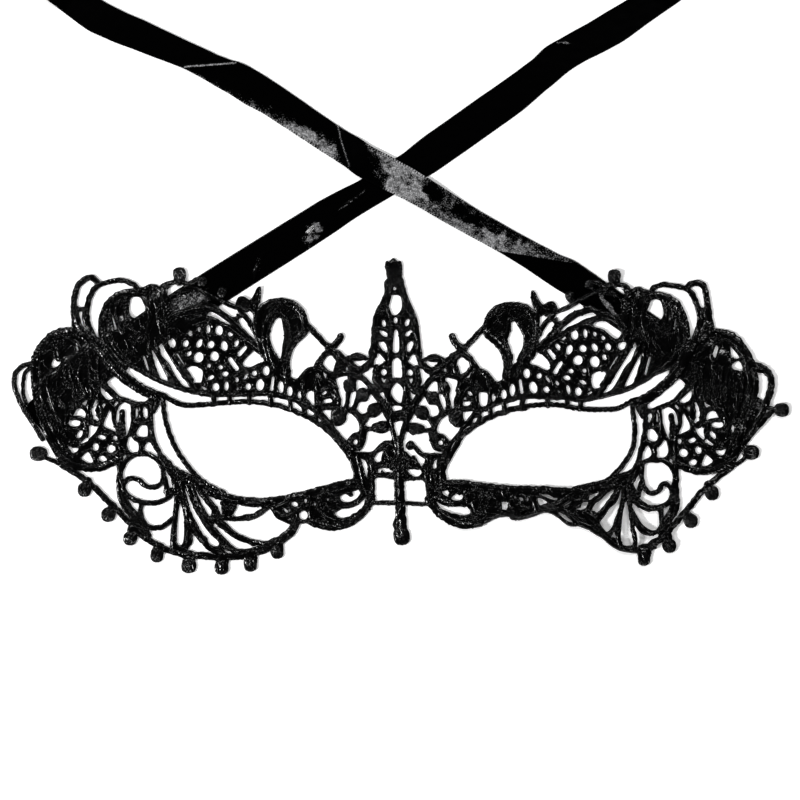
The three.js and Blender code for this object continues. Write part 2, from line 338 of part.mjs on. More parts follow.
// The spear between the brows and the stem that rests on the nose.
function middle({ cord, loop, pad, gap, eye, slot, bead }) {
  // spear and stem
  pad(-4.2, 43.8, -2, 45.8, 0.3, 44.1, 0.5, 39.5, 4.8, 28.2, 6.3, 18.4, 5.8, 16, 2.2, 7.5, 0.5, 0.1, -0.1, -1.2, -3, 7.5, -8.4, 15.7, -9.3, 18.1, -8.6, 20.3, -7.3, 28.8, -4.9, 34.8, -4.6, 38, -3.6, 39.7);
  gap(-2.6, 35, -0.3, 34.9, 0.4, 33.5, 0.2, 30.9, -0.8, 29.6, -1.7, 29.1, -2.6, 29.7, -3.5, 32.5, -3.4, 33.8);
  eye(-1.4, 27.8, 0.6, 0.9, -0);
  gap(-1.3, 25.3, -0.6, 23.7, -0.3, 20.2, -0.5, 18.6, -1.3, 18.3, -2.1, 18.7, -2.2, 20, -1.8, 24.2);
  eye(-4.8, 26.9, 0.6, 1.0, 10);
  gap(-6.1, 25.1, -4.2, 24.3, -3.6, 23.7, -3.6, 23.2, -4.2, 22.9, -5.1, 23.2, -5.9, 24.1);
  gap(-6.4, 21.2, -5.5, 21.8, -4.6, 21.4, -3.8, 19.5, -3.9, 18.3, -5.2, 19.1);
  eye(2, 27.1, 0.7, 1.1, -22);
  gap(3, 24.9, 3.4, 24.8, 3.3, 24.2, 2, 22.9, 1.5, 23.2, 1.3, 23.8, 1.6, 24.2);
  gap(3.3, 21.8, 3.8, 21.1, 3.6, 20.4, 2.7, 18.7, 2.2, 18.5, 1.8, 19, 1.9, 20.6, 2.5, 21.4);
  gap(-1.7, 16.6, -0.8, 16.9, 0.2, 15.8, 0.5, 12.1, 0.2, 11, -1.3, 11.2, -2, 10.7, -2.4, 11.6, -2.4, 15.2, -2.3, 16.2);
  gap(-1, 9.7, -0.1, 9, 0.8, 7.5, 0.3, 4.2, -0.1, 3.7, -1.7, 4.8, -2.8, 6.6, -2.2, 8.5);
  eye(-1, 2.3, 1.4, 0.6, -0);
  gap(-2.1, -2.3, -1.7, -1.8, 0.1, -1.3, 0.7, -1.5, -0.7, -7.4);
  // stem
  cord(2.8, -0.6, -7, -0.3, -13.9);
  cord(3.2, -0.3, -13.9, 0, -25.2);
  cord(3.5, 0, -25.2, 0.2, -31.9);
  cord(1.2, -1.7, -30.2, -2.6, -33.1);
  cord(1.2, 1.9, -30.2, 3, -33.1);
  bead(0.4, -34.9, 2.4);
  cord(1.2, 0.3, 28.7, 1.6, 5.8, 1.3, -2, 0.3, -7);
  cord(1.2, -3, 3.3, 1.3, 3.2);
  cord(2.3, -2.5, 0.1, 1, 0.1);
}

const centreLine = (y) => -2.03 - (y - 45.4) * 0.03074;
// Each row: a point of the turned-over half, and how far it has moved.
const SHIFTS = [
  [14.6, 23.8, 0.3, 0], [37.6, 37.4, 0.4, -1.2], [43.2, 34.5, 0.5, -1.2], [60.2, 42.9, 1.7, -0.6],
  [78.2, 40, -1.2, -1.3], [86.3, 40.9, -0.9, -1.6], [91.2, 34.2, -1.8, 0.3], [91.6, 30.2, -1.7, 0],
  [91.6, 25.5, -0.8, 0], [87.2, 33.1, -1.8, 0.3], [87.8, 29.3, -1, -0.6], [73.1, 31.6, 0.9, -0.7],
  [109.6, 12.2, -2.5, -0.3], [110.1, 9.9, -2.5, -0.6], [109.1, 5.1, -2.5, -0.4], [104.1, -4.3, -4.2, -2.6],
  [104.2, 9, -1.2, 0], [94.2, 24.5, -0.4, -0.7], [102.9, 18.6, -2.8, 0], [100.5, 21.8, -2.3, -0.1],
  [97.5, 23.9, -1.6, -0.6], [104.5, -10.9, -2.9, 0.4], [91.7, -21.3, -1.3, -1], [85.3, -28.6, -1.1, -1.7],
  [79.4, -35.4, -1.3, -2.2], [71.8, -40.3, -1.5, -1.5], [97.8, -13.9, -1.9, -0.6], [74.1, -11.2, -1.2, -1.9],
  [80.4, -19.7, -1.7, -1.7], [68.7, -18, 1.8, -1.4], [71.2, -20.6, 1.2, -1.7], [66.8, 4.3, -0.5, -1.7],
  [66.6, -2.3, 1.1, 0], [65.7, -5.9, 2.2, -0.1], [64.1, -9.6, 3, -0.3], [62.3, -12.8, 2.7, -0.6],
  [60.2, -15.7, 2.5, -0.3], [57.7, -18.1, 1.6, -0.4], [71, -6.1, -0.6, -0.9], [70.2, -9, -0.6, -1.4],
  [68.1, 6.1, -0.4, -1.7], [52.8, 4.6, -0.3, -1.4], [77.5, 14.2, 1, -1.2], [71.6, 5.2, -0.1, -2.3],
  [82.3, 10.4, -0.7, -0.3], [81.6, 5.4, -0.8, -0.9], [84.9, 6.4, -0.7, -1], [71.9, 17, 0.3, 0.1],
  [71, 13.5, 0, -1.3], [69.6, 19.3, 0.1, -1.6], [65.4, 10.3, -0.5, -1.6], [66.6, 21, 1.5, 0.4],
  [59.1, 8.3, -0.5, -1.4], [13, -18, -0.7, -0.6], [49.8, 24.7, 0.7, -1.2], [45, 21, 0.6, -1],
  [38.9, 9, -0.4, -0.8], [36.8, 13.1, -0.3, -0.8], [47.2, 15.1, -0.8, -1.2], [39.9, 16.2, 0.5, -0.6],
  [63.6, 21.2, 0.5, -0.9], [55.5, 25.1, 0.8, -1.3], [57.3, 12, 0, -1.6], [30.7, 34.2, 0.5, -1.2],
  [15.1, -23.5, 0.7, 0.3], [13.5, -26.2, -0.3, 1], [30.4, 7.2, -0.4, -0.9], [24.6, 5.5, -0.6, -0.6],
  [44.9, 5.4, 0.7, -0.9], [30.7, 1.9, -2.7, -1.2], [40.9, -23.8, -0.5, 3.8], [51.8, -21.5, -1.2, 1.2],
  [29.2, -22, -0.4, 2], [23.3, -20.6, 0, 1.2], [67, -19, 1.1, -1.5], [57, -25.8, 1.1, 0.9],
  [54.4, -25.2, 0, 0.9], [62.8, -20.9, 1.4, 0.3], [63.9, -30.2, 1.7, 0], [65, -37.7, 0.4, 0.3],
  [-1.9, 45.2, 0, 0], [-0.9, 10.4, 0.2, 0], [0.1, -24.4, 0.4, 0], [7.7, -11.3, -0.9, -0.3],
  [10.9, 16.2, -0.6, -0.3], [18.2, 15.1, -0.1, -0.6], [9.4, 3.5, 0, -0.9], [74, -4.3, -1, -1.2],
  [76.8, -8.4, -1, -1.4], [77.1, 3.2, -1.1, -1.5], [79.2, -4.1, -0.7, -0.6], [87.6, -9, -1.3, -0.9],
  [83.2, -9.6, -1.3, -1.2], [85.8, -12.4, -0.9, -1.1], [90.1, -12.2, -1.5, -0.9], [94.1, -9.6, -1.2, -0.7],
  [92, -5.3, -1.5, -0.1], [93.3, -2, -1.5, -0.4], [91.6, 0.9, -1, -0.9], [89.9, 3.8, -1.1, -0.6],
  [83.1, -0.6, -0.8, -0.9], [87.5, 1.7, -1.5, -0.3], [97.4, 15.4, 0.5, -0.9], [91.3, 19.7, -0.1, -0.9],
  [32.3, 22, 1.2, -0.9], [26.6, 20.6, -0.1, -0.6], [21.2, -32.5, -1.9, 0.3], [9.1, -24.4, 0.1, -0.6],
  [35.1, -27.8, 2.2, 1.4], [28.6, -28.7, 1.7, 2.3], [31, -25.6, 1.1, 2.7], [29.2, -31.3, -0.7, 2.9],
  [50.1, -27, -2.1, 2], [46.8, -29.8, -2.3, 2.8], [44, -36.4, 0.2, 4.8], [49.7, -33.6, -0.5, 2.6],
  [45.1, -40, 0, 0.9], [56.5, -40.9, -0.7, -0.3], [34.4, -35.4, 0.3, 1.7],
];

function turnedOver([x, y]) {
  const mx = 2 * centreLine(y) - x;
  let sum = 0;
  let dx = 0;
  let dy = 0;
  for (const [sx, sy, ex, ey] of SHIFTS) {
    const weight = ((mx - sx) ** 2 + (y - sy) ** 2 + 2.5) ** -1.6;
    sum += weight;
    dx += weight * ex;
    dy += weight * ey;
  }
  return [mx + dx / sum, y + dy / sum];
}

function pen(place) {
  const made = { pads: [], gaps: [], cords: [], caps: [] };
  const at = (points) => points.map(place);
  const ring = (x, y, rx, ry, degrees, n) => {
    const a = (degrees * Math.PI) / 180;
    return Array.from({ length: n }, (_, i) => {
      const t = (2 * Math.PI * (i + 0.5)) / n;
      const u = rx * 1.04 * Math.cos(t);
      const v = ry * 1.04 * Math.sin(t);
      return [x + u * Math.cos(a) - v * Math.sin(a), y + u * Math.sin(a) + v * Math.cos(a)];
    });
  };
  return {
    made,
    pad: (...a) => made.pads.push(plate(at(pairs(a)), 0, LACE)),
    gap: (...a) => made.gaps.push(plate(at(pairs(a)), -1, LACE + 1)),
    eye: (x, y, rx, ry, degrees) =>
      made.gaps.push(plate(at(ring(x, y, rx, ry, degrees, Math.max(rx, ry) > 1.3 ? 7 : 6)), -1, LACE + 1)),
    slot: (x0, y0, x1, y1, w0, w1) => {
      const a = Math.atan2(y1 - y0, x1 - x0);
      const arc = (x, y, w, from) =>
        [-1, 0, 1].map((k) => {
          const t = from + (k * Math.PI) / 3;
          return [x + (w / 2) * Math.cos(t), y + (w / 2) * Math.sin(t)];
        });
      made.gaps.push(plate(at([...arc(x0, y0, w0, a + Math.PI), ...arc(x1, y1, w1, a)]), -1, LACE + 1));
    },
    cord: (width, ...a) => made.cords.push(...strand(at(pairs(a)), width, 0, LACE)),
    loop: (width, ...a) => {
      const line = at(pairs(a));
      made.cords.push(...strand([...line, line[0]], width, 0, LACE));
    },
    bead: (x, y, r) => {
      made.cords.push(plate(at(ring(x, y, r, r, 0, 10)), 0, LACE));
      if (r > 1.5) made.caps.push(plate(at(ring(x, y, r * 0.75, r * 0.75, 0, 7)), LACE / 2, PICOT));
    },
  };
}

const right = pen((p) => p);
half(right);
const left = pen(turnedOver);
half(left);
const centre = pen((p) => p);
middle(centre);
// One more picot on the wearer's-left edge: its partner can't be seen.
const extra = pen((p) => p);
extra.cord(2, 106.6, 2.3, 110.6, 1.7);
extra.bead(110.6, 1.7, 2);

const pens = [right, left, centre, extra];
const all = (key) => pens.flatMap((p) => p.made[key]);
const drawn = union(all('pads')).subtract(union(all('gaps'))).add(union(all('cords')));

// The drawn lace's edges, as closed lines: every edge of its flat underside that only one triangle has.
function edges(manifold) {
  const mesh = manifold.getMesh();
  const v = mesh.vertProperties;
  const t = mesh.triVerts;
  const low = (i) => Math.abs(v[3 * i + 2]) < 1e-4;
  const next = new Map();
  const seen = new Set();
  for (let i = 0; i < t.length; i += 3) {
    if (!(low(t[i]) && low(t[i + 1]) && low(t[i + 2]))) continue;
    for (let k = 0; k < 3; k++) seen.add(`${t[i + k]} ${t[i + ((k + 1) % 3)]}`);
  }
  for (const e of seen) {
    const [a, b] = e.split(' ').map(Number);
    if (!seen.has(`${b} ${a}`)) next.set(a, [...(next.get(a) || []), b]);
  }
  // Where two openings meet at a point, each is closed off as a line of its own.
  const loops = [];
  for (const start of next.keys()) {
    while (next.get(start).length) {
      const walked = [start];
      for (let done = false; !done; ) {
        const i = next.get(walked[walked.length - 1]).pop();
        const met = walked.indexOf(i);
        if (met < 0) {
          walked.push(i);
          continue;
        }
        loops.push(walked.slice(met).map((k) => [v[3 * k], v[3 * k + 1]]).reverse());
        walked.length = met + 1;
        done = met === 0;
      }
    }
  }
  return loops.filter((l) => l.length > 2);
}

const area = (l) => l.reduce((s, p, i) => s + (p[0] * l[(i + 1) % l.length][1] - l[(i + 1) % l.length][0] * p[1]) / 2, 0);

// A closed line without the points that lie within a small distance of the line through their neighbours.
function eased(loop, within) {
  const keep = (a, b) => {
    let most = 0;
    let at = -1;
    const [p, q] = [loop[a], loop[b % loop.length]];
    const l = Math.hypot(q[0] - p[0], q[1] - p[1]) || 1e-9;
    for (let i = a + 1; i < b; i++) {
      const r = loop[i % loop.length];
      const d = Math.abs((q[0] - p[0]) * (p[1] - r[1]) - (p[0] - r[0]) * (q[1] - p[1])) / l;
      if (d > most) [most, at] = [d, i];
    }
    return most > within ? [...keep(a, at), ...keep(at, b)] : [a];
  };
  let far = 0;
  loop.forEach((p, i) => {
    const d = (j) => Math.hypot(loop[j][0] - loop[0][0], loop[j][1] - loop[0][1]);
    if (d(i) > d(far)) far = i;
  });
  return [...keep(0, far), ...keep(far, loop.length)].map((i) => loop[i]);
}

// An opening so narrow that its edges would cross is eased less.
function panel(loop, low, high) {
  for (const within of [EASE, EASE / 2, EASE / 5, 0]) {
    try {
      return plate(within ? eased(loop, within) : loop, low, high);
    } catch {
      continue;
    }
  }
  return plate(eased(loop, 2 * EASE), low, high);
}
const lines = edges(drawn);
const rims = lines.filter((l) => area(l) > 0).sort((a, b) => area(b) - area(a));
const openings = lines.filter((l) => area(l) < -SMALLEST_OPENING);
let lace = panel(rims[0], 0, LACE)
  .subtract(union(openings.map((l) => panel(l, -1, LACE + 1))))
  .add(union(all('caps')));

// ---- the scallop folded under at the lower edge ---------------------------------------------------------------
const FOLD = pairs([
  25.4, -31.3, 28.9, -29.9, 32.6, -30.6, 37, -29.7, 40.5, -28.4, 44.2, -28, 46, -29.2, 48.3, -31, 51.2, -31.9, 54.1,
  -32.8, 57, -34.5, 59, -36, 61.6, -38.3, 65.1, -39.4, 69.5, -41.2,
]);
const HINGE = [
  [30.9, -30.2],
  [69.5, -40.6],
];
const beyond = plate([...FOLD, [69.5, -48], [25.4, -48]], -2, LACE + 3);

const move = (manifold, place, flip) => {
  const mesh = manifold.getMesh();
  const v = new Float32Array((mesh.vertProperties.length / mesh.numProp) * 3);
  for (let i = 0; i < v.length / 3; i++) {
    const o = i * mesh.numProp;
    v.set(place(mesh.vertProperties[o], mesh.vertProperties[o + 1], mesh.vertProperties[o + 2]), i * 3);
  }
  const t = new Uint32Array(mesh.triVerts);
  if (flip) for (let i = 0; i < t.length; i += 3) [t[i], t[i + 1]] = [t[i + 1], t[i]];
  const g = new THREE.BufferGeometry();
  g.setAttribute('position', new THREE.BufferAttribute(v, 3));
  g.setIndex(new THREE.BufferAttribute(t, 1));
  const m = mergeVertices(g, 1e-5);
  return new wasm.Manifold(
    new wasm.Mesh({
      numProp: 3,
      vertProperties: new Float32Array(m.attributes.position.array),
      triVerts: new Uint32Array(m.index.array),
    }),
  );
};

const ux = HINGE[1][0] - HINGE[0][0];
const uy = HINGE[1][1] - HINGE[0][1];
const ul = Math.hypot(ux, uy);
const acrossHinge = (x, y) => ((x - HINGE[0][0]) * -uy + (y - HINGE[0][1]) * ux) / ul;
const specks = (manifold, least) => {
  const parts = manifold.decompose().filter((m) => m.volume() > least);
  return union(parts);
};
const flap = move(
  specks(lace.intersect(beyond), 6),
  (x, y, z) => {
    const d = acrossHinge(x, y);
    const k = (1 + FLAP_SHARE) * d;
    return [x + (k * uy) / ul, y - (k * ux) / ul, Math.min(z / LACE, 1) * FLAP];
  },
  true,
);
const smooth = (t) => {
  const u = Math.min(1, Math.max(0, t));
  return u * u * (3 - 2 * u);
};
// Height of the lace above the flap, dying out over 20 mm around it.
function rise(x, y) {
  const t = Math.min(1, Math.max(0, ((x - HINGE[0][0]) * ux + (y - HINGE[0][1]) * uy) / (ul * ul)));
  const d = Math.hypot(x - HINGE[0][0] - ux * t, y - HINGE[0][1] - uy * t);
  return LIFT * smooth((29 - d) / 20);
}
lace = move(lace.subtract(beyond), (x, y, z) => [x, y, z + rise(x, y)], false)
  .add(flap)
  .add(union(strand(FOLD.slice(2, -1), FOLD_EDGE, 0, LACE + LIFT)));

// ---- ribbons --------------------------------------------------------------------------------------------------
// Centre lines from the sewn end to where each ribbon leaves the view, then on to its put-away curl.
const ROUTES = {
  ribbon_right: {
    line: pairs([
      104.8, 2.3, 95.6, 7.8, 84, 16, 72.4, 24.4, 59.3, 33.4, 49.9, 40, 27, 53.4, 5.2, 65.5, -22.9, 80.6, -48.7, 98.3,
      -54.8, 101.6, -60.8, 104.3, -72.6, 108.8, -82.2, 112.8, -88.9, 116.7, -94.7, 120.6,
    ]),
    turnSide: -1, // which way its curl winds
    over: [-1.6, 67], // passes over the other ribbon here
  },
  ribbon_left: {
    line: pairs([
      -106.4, -1.3, -98.2, 5.5, -90, 12.2, -71.2, 25.8, -56.7, 34.8, -43.6, 42.9, -29.1, 51.9, -16.1, 60.2, -1.6, 69.3,
      3.9, 72.5, 15.7, 80.9, 31.6, 92.1, 40.7, 99.3, 45.2, 103.5, 50.6, 106.9, 57.3, 110.4, 68.2, 116.9, 73.5, 120.6,
    ]),
    turnSide: 1,
    over: null,
  },
};
const HUMP = RIBBON_THICKNESS + CLEAR;
const section = new THREE.Shape(
  [
    [-1, -0.5],
    [-0.94, -1],
    [0.94, -1],
    [1, -0.5],
    [1, 0.5],
    [0.94, 1],
    [-0.94, 1],
    [-1, 0.5],
  ].map(([u, v]) => new THREE.Vector2((u * RIBBON_WIDTH) / 2, (v * RIBBON_THICKNESS) / 2)),
);

function ribbon({ line, turnSide, over }) {
  const last = line[line.length - 1];
  const before = line[line.length - 2];
  const l = Math.hypot(last[0] - before[0], last[1] - before[1]);
  const d = [(last[0] - before[0]) / l, (last[1] - before[1]) / l];
  const joint = [last[0] + d[0] * (TWIST_LENGTH + CURL.lead), last[1] + d[1] * (TWIST_LENGTH + CURL.lead)];
  const hub = [joint[0] - turnSide * d[1] * CURL.entry, joint[1] + turnSide * d[0] * CURL.entry];
  const tip = [last[0] + d[0] * TWIST_LENGTH, last[1] + d[1] * TWIST_LENGTH];
  const path = new THREE.CatmullRomCurve3(
    [...line, tip].map(([x, y]) => new THREE.Vector3(x, y, 0)),
    false,
    'centripetal',
  );
  const length = path.getLength();
  const steps = Math.round(length / 10);
  const geometry = new THREE.ExtrudeGeometry(section, { depth: length, steps, bevelEnabled: false });
  const p = geometry.attributes.position;
  for (let i = 0; i < p.count; i++) {
    const s = Math.min(1, Math.max(0, p.getZ(i) / length));
    const c = path.getPointAt(s);
    const t = path.getTangentAt(s);
    const phi = (smooth((s * length - (length - TWIST_LENGTH)) / (TWIST_LENGTH - 3)) * Math.PI) / 2;
    const flat = new THREE.Vector3(-t.y, t.x, 0);
    const up = new THREE.Vector3(0, 0, 1);
    const across = flat.clone().multiplyScalar(Math.cos(phi)).addScaledVector(up, Math.sin(phi));
    const out = up.clone().multiplyScalar(Math.cos(phi)).addScaledVector(flat, -Math.sin(phi));
    const hump = over ? HUMP * smooth((22 - Math.hypot(c.x - over[0], c.y - over[1])) / 12) : 0;
    const z = (RIBBON_WIDTH / 2) * Math.sin(phi) + (RIBBON_THICKNESS / 2) * Math.cos(phi) + hump;
    const q = new THREE.Vector3(c.x, c.y, z).addScaledVector(across, p.getX(i)).addScaledVector(out, p.getY(i));
    p.setXYZ(i, q.x, q.y, Math.max(0, q.z));
  }
  geometry.deleteAttribute('normal');
  geometry.deleteAttribute('uv');
  return { geometry: mergeVertices(geometry, 1e-4), hub };
}

// The hollow under the lace that each sewn ribbon end lies in.
const hollow = (line, count) => union(strand(line.slice(0, count), RIBBON_WIDTH + 2 * CLEAR + 0.4, -1, CHANNEL));
lace = lace.subtract(hollow(ROUTES.ribbon_right.line, 7)).subtract(hollow(ROUTES.ribbon_left.line, 7));

// ---- scene graph ----------------------------------------------------------------------------------------------
const thread = new THREE.MeshStandardMaterial({ color: 0x0b0b0c, roughness: 0.75, metalness: 0 });
const satin = () => new THREE.MeshStandardMaterial({ color: 0x08080a, roughness: 0.35, metalness: 0 });

function named(name, geometry, material) {
  const mesh = new THREE.Mesh(geometry, material);
  mesh.name = name;
  return mesh;
}

const bare = lace.getMesh();
const laceGeometry = new THREE.BufferGeometry();
laceGeometry.setAttribute('position', new THREE.BufferAttribute(new Float32Array(bare.vertProperties), 3));
laceGeometry.setIndex(new THREE.BufferAttribute(new Uint32Array(bare.triVerts), 1));
laceGeometry.computeBoundingBox();

// The origin is under the middle of the lace.
const box = laceGeometry.boundingBox;
const object = new THREE.Group();
object.position.set(-(box.min.x + box.max.x) / 2, -(box.min.y + box.max.y) / 2, -box.min.z);
object.add(named('lace', laceGeometry, thread));

for (const [name, route] of Object.entries(ROUTES)) {
  const { geometry, hub } = ribbon(route);
  object.add(named(name, geometry, satin()));
  const curl = new THREE.LatheGeometry(
    [
      [CURL.inner, 0],
      [CURL.outer, 0],
      [CURL.outer, CURL.height],
      [CURL.inner, CURL.height],
      [CURL.inner, 0],
    ].map(([r, z]) => new THREE.Vector2(r, z)),
    24,
  );
  const mesh = named(`${name}_curl`, curl, satin());
  mesh.rotation.x = Math.PI / 2;
  mesh.position.set(hub[0], hub[1], 0);
  object.add(mesh);
}

const group = new THREE.Group();
group.add(object);
export default group;
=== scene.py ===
import math

import bpy
import numpy as np
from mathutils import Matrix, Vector
from mathutils.geometry import delaunay_2d_cdt


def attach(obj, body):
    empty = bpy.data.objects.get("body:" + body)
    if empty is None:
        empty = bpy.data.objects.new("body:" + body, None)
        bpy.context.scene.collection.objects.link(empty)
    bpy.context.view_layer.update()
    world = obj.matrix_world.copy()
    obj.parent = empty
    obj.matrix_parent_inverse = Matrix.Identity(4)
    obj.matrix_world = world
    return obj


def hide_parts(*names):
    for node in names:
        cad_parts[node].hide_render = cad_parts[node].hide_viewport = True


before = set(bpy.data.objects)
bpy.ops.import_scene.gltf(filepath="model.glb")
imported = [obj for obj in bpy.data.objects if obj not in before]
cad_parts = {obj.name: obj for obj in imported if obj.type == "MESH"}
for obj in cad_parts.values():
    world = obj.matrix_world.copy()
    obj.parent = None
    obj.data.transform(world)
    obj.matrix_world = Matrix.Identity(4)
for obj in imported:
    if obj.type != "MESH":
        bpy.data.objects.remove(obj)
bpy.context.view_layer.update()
MM = 0.001
TAU = 2 * math.pi

# ---- camera --------------------------------------------------------------------------------------------------
# Straight down on the mask, as the flat lay is seen.
VIEW_WIDTH = 232.0  # mm across the square picture
VIEW_CENTRE = (-0.156, 4.73)  # mm
CAMERA_HEIGHT = 900.0  # mm
cam_data = bpy.data.cameras.new("camera")
cam_data.sensor_width = 36.0
cam_data.sensor_fit = "HORIZONTAL"
cam_data.lens = 36.0 * CAMERA_HEIGHT / VIEW_WIDTH
cam_data.clip_start = 0.01
cam_data.clip_end = 10.0
camera = bpy.data.objects.new("camera", cam_data)
camera.location = (VIEW_CENTRE[0] * MM, VIEW_CENTRE[1] * MM, CAMERA_HEIGHT * MM)
camera.rotation_euler = (0, 0, 0)
bpy.context.scene.collection.objects.link(camera)
bpy.context.scene.camera = camera


# ---- meshes --------------------------------------------------------------------------------------------------
def add_mesh(name, verts_mm, quads, tris, uv, material, smooth=True, painted_sheen=None):
    """One mesh object from arrays: vertices in mm, quads and tris as index arrays, uv one pair per vertex."""
    quads = np.asarray(quads, np.int64).reshape(-1, 4)
    tris = np.asarray(tris, np.int64).reshape(-1, 3)
    mesh = bpy.data.meshes.new(name)
    verts = np.asarray(verts_mm, float) * MM
    loops = np.concatenate([quads.ravel(), tris.ravel()])
    starts = np.concatenate([np.arange(len(quads)) * 4, len(quads) * 4 + np.arange(len(tris)) * 3])
    totals = np.concatenate([np.full(len(quads), 4), np.full(len(tris), 3)])
    mesh.vertices.add(len(verts))
    mesh.vertices.foreach_set("co", verts.ravel().astype(np.float32))
    mesh.loops.add(len(loops))
    mesh.loops.foreach_set("vertex_index", loops.astype(np.int32))
    mesh.polygons.add(len(starts))
    mesh.polygons.foreach_set("loop_start", starts.astype(np.int32))
    mesh.polygons.foreach_set("loop_total", totals.astype(np.int32))
    mesh.polygons.foreach_set("use_smooth", np.full(len(starts), smooth))
    layer = mesh.uv_layers.new(name="UVMap")
    layer.data.foreach_set("uv", np.asarray(uv, float)[loops].ravel().astype(np.float32))
    # per-vertex mask of where the satin's highlight is painted into its colour
    if painted_sheen is not None:
        mesh.attributes.new("painted_sheen", "FLOAT", "POINT").data.foreach_set("value", np.asarray(painted_sheen, np.float32))
    mesh.update(calc_edges=True)
    mesh.validate()
    obj = bpy.data.objects.new(name, mesh)
    bpy.context.scene.collection.objects.link(obj)
    if material:
        mesh.materials.append(material)
    return obj


def smooth(t):
    t = np.clip(t, 0, 1)
    return t * t * (3 - 2 * t)


def bump_at(x, centre, half_width):
    """1 at the centre, dying out smoothly."""
    return np.exp(-(((x - centre) / half_width) ** 2))


# Smooth random relief: the same few seeded waves wherever it is asked for.
def relief(x, y, size, seed, waves=14):
    r = np.random.default_rng(seed)
    total = np.zeros(np.broadcast(x, y).shape)
    for _ in range(waves):
        a = r.uniform(0, TAU)
        k = TAU / (size * r.uniform(0.6, 1.6))
        total = total + np.sin((x * math.cos(a) + y * math.sin(a)) * k + r.uniform(0, TAU))
    return total / math.sqrt(waves / 2)


def catmull(points, closed=False, step=1.5):
    """Centripetal-free Catmull-Rom through 2D points, sampled about every step."""
    p = np.asarray(points, float)
    n = len(p)
    if n < 3 and not closed:
        k = max(2, int(math.dist(p[0], p[-1]) / step) + 1)
        t = np.linspace(0, 1, k)[:, None]
        return p[0] * (1 - t) + p[-1] * t
    out = []
    for i in range(n if closed else n - 1):
        p0 = p[(i - 1) % n] if closed or i else 2 * p[0] - p[1]
        p1, p2 = p[i], p[(i + 1) % n]
        p3 = p[(i + 2) % n] if closed or i + 2 < n else 2 * p[-1] - p[-2]
        k = max(1, int(round(np.linalg.norm(p2 - p1) / step)))
        t = (np.arange(k) / k)[:, None]
        out.append(0.5 * (2 * p1 + (p2 - p0) * t + (2 * p0 - 5 * p1 + 4 * p2 - p3) * t**2 + (3 * p1 - p0 - 3 * p2 + p3) * t**3))
    out = np.concatenate(out)
    return out if closed else np.concatenate([out, p[-1:]])


# ---- materials -----------------------------------------------------------------------------------------------
def new_material(name):
    m = bpy.data.materials.new(name)
    m.use_nodes = True
    return m, m.node_tree.nodes, m.node_tree.links, m.node_tree.nodes["Principled BSDF"]


def thread_material(name, along, across, grain, strength, stitches, grains, painted_highlight_gain=1, rough=0.20):
    """Black embroidery thread: dark, slightly glossy, with the slanting turns of the stitches as bump.
    UV x is mm along the cord, y is turns round it."""
    m, nodes, links, bsdf = new_material(name)
    bsdf.inputs["Roughness"].default_value = rough
    bsdf.inputs["Specular IOR Level"].default_value = 0.6
    uv = nodes.new("ShaderNodeUVMap")
    uv.uv_map = "UVMap"
    mapping = nodes.new("ShaderNodeMapping")
    mapping.inputs["Scale"].default_value = (along, across, 1)
    wave = nodes.new("ShaderNodeTexWave")
    wave.wave_type = "BANDS"
    wave.bands_direction = "DIAGONAL"
    wave.inputs["Scale"].default_value = 1.0
    wave.inputs["Distortion"].default_value = 2.0
    wave.inputs["Detail"].default_value = 0.5
    wave.inputs["Detail Scale"].default_value = 1.5
    links.new(uv.outputs["UV"], mapping.inputs["Vector"])
    links.new(mapping.outputs["Vector"], wave.inputs["Vector"])
    geo = nodes.new("ShaderNodeTexCoord")
    noise = nodes.new("ShaderNodeTexNoise")
    noise.inputs["Scale"].default_value = grain
    noise.inputs["Detail"].default_value = 1.5
    noise.inputs["Roughness"].default_value = 0.5
    links.new(geo.outputs["Object"], noise.inputs["Vector"])
    mix = nodes.new("ShaderNodeMath")
    mix.operation = "MULTIPLY_ADD"
    mix.inputs[1].default_value = stitches
    links.new(wave.outputs["Fac"], mix.inputs[0])
    share = nodes.new("ShaderNodeMath")
    share.operation = "MULTIPLY"
    share.inputs[1].default_value = grains
    links.new(noise.outputs["Fac"], share.inputs[0])
    links.new(share.outputs[0], mix.inputs[2])
    bump = nodes.new("ShaderNodeBump")
    bump.inputs["Distance"].default_value = 0.00016
    links.new(mix.outputs[0], bump.inputs["Height"])
    patches = nodes.new("ShaderNodeTexNoise")
    patches.inputs["Scale"].default_value = 260
    patches.inputs["Detail"].default_value = 1.0
    links.new(geo.outputs["Object"], patches.inputs["Vector"])
    share = nodes.new("ShaderNodeMapRange")
    share.inputs["From Min"].default_value = 0.42
    share.inputs["From Max"].default_value = 0.62
    share.inputs["To Min"].default_value = 0.12 * strength
    share.inputs["To Max"].default_value = 1.0 * strength
    links.new(patches.outputs["Fac"], share.inputs["Value"])
    links.new(share.outputs[0], bump.inputs["Strength"])
    links.new(bump.outputs["Normal"], bsdf.inputs["Normal"])
    # base colour: the thread's own near-black, varying at random; the gain lightens a copy of it to paint highlights
    ramp = nodes.new("ShaderNodeValToRGB")
    ramp.color_ramp.elements[0].position = 0.35
    ramp.color_ramp.elements[0].color = (0.0006, 0.0006, 0.0007, 1)
    ramp.color_ramp.elements[1].position = 0.75
    ramp.color_ramp.elements[1].color = (0.0030 * painted_highlight_gain, 0.0030 * painted_highlight_gain, 0.0033 * painted_highlight_gain, 1)
    links.new(noise.outputs["Fac"], ramp.inputs["Fac"])
    links.new(ramp.outputs["Color"], bsdf.inputs["Base Color"])
    return m


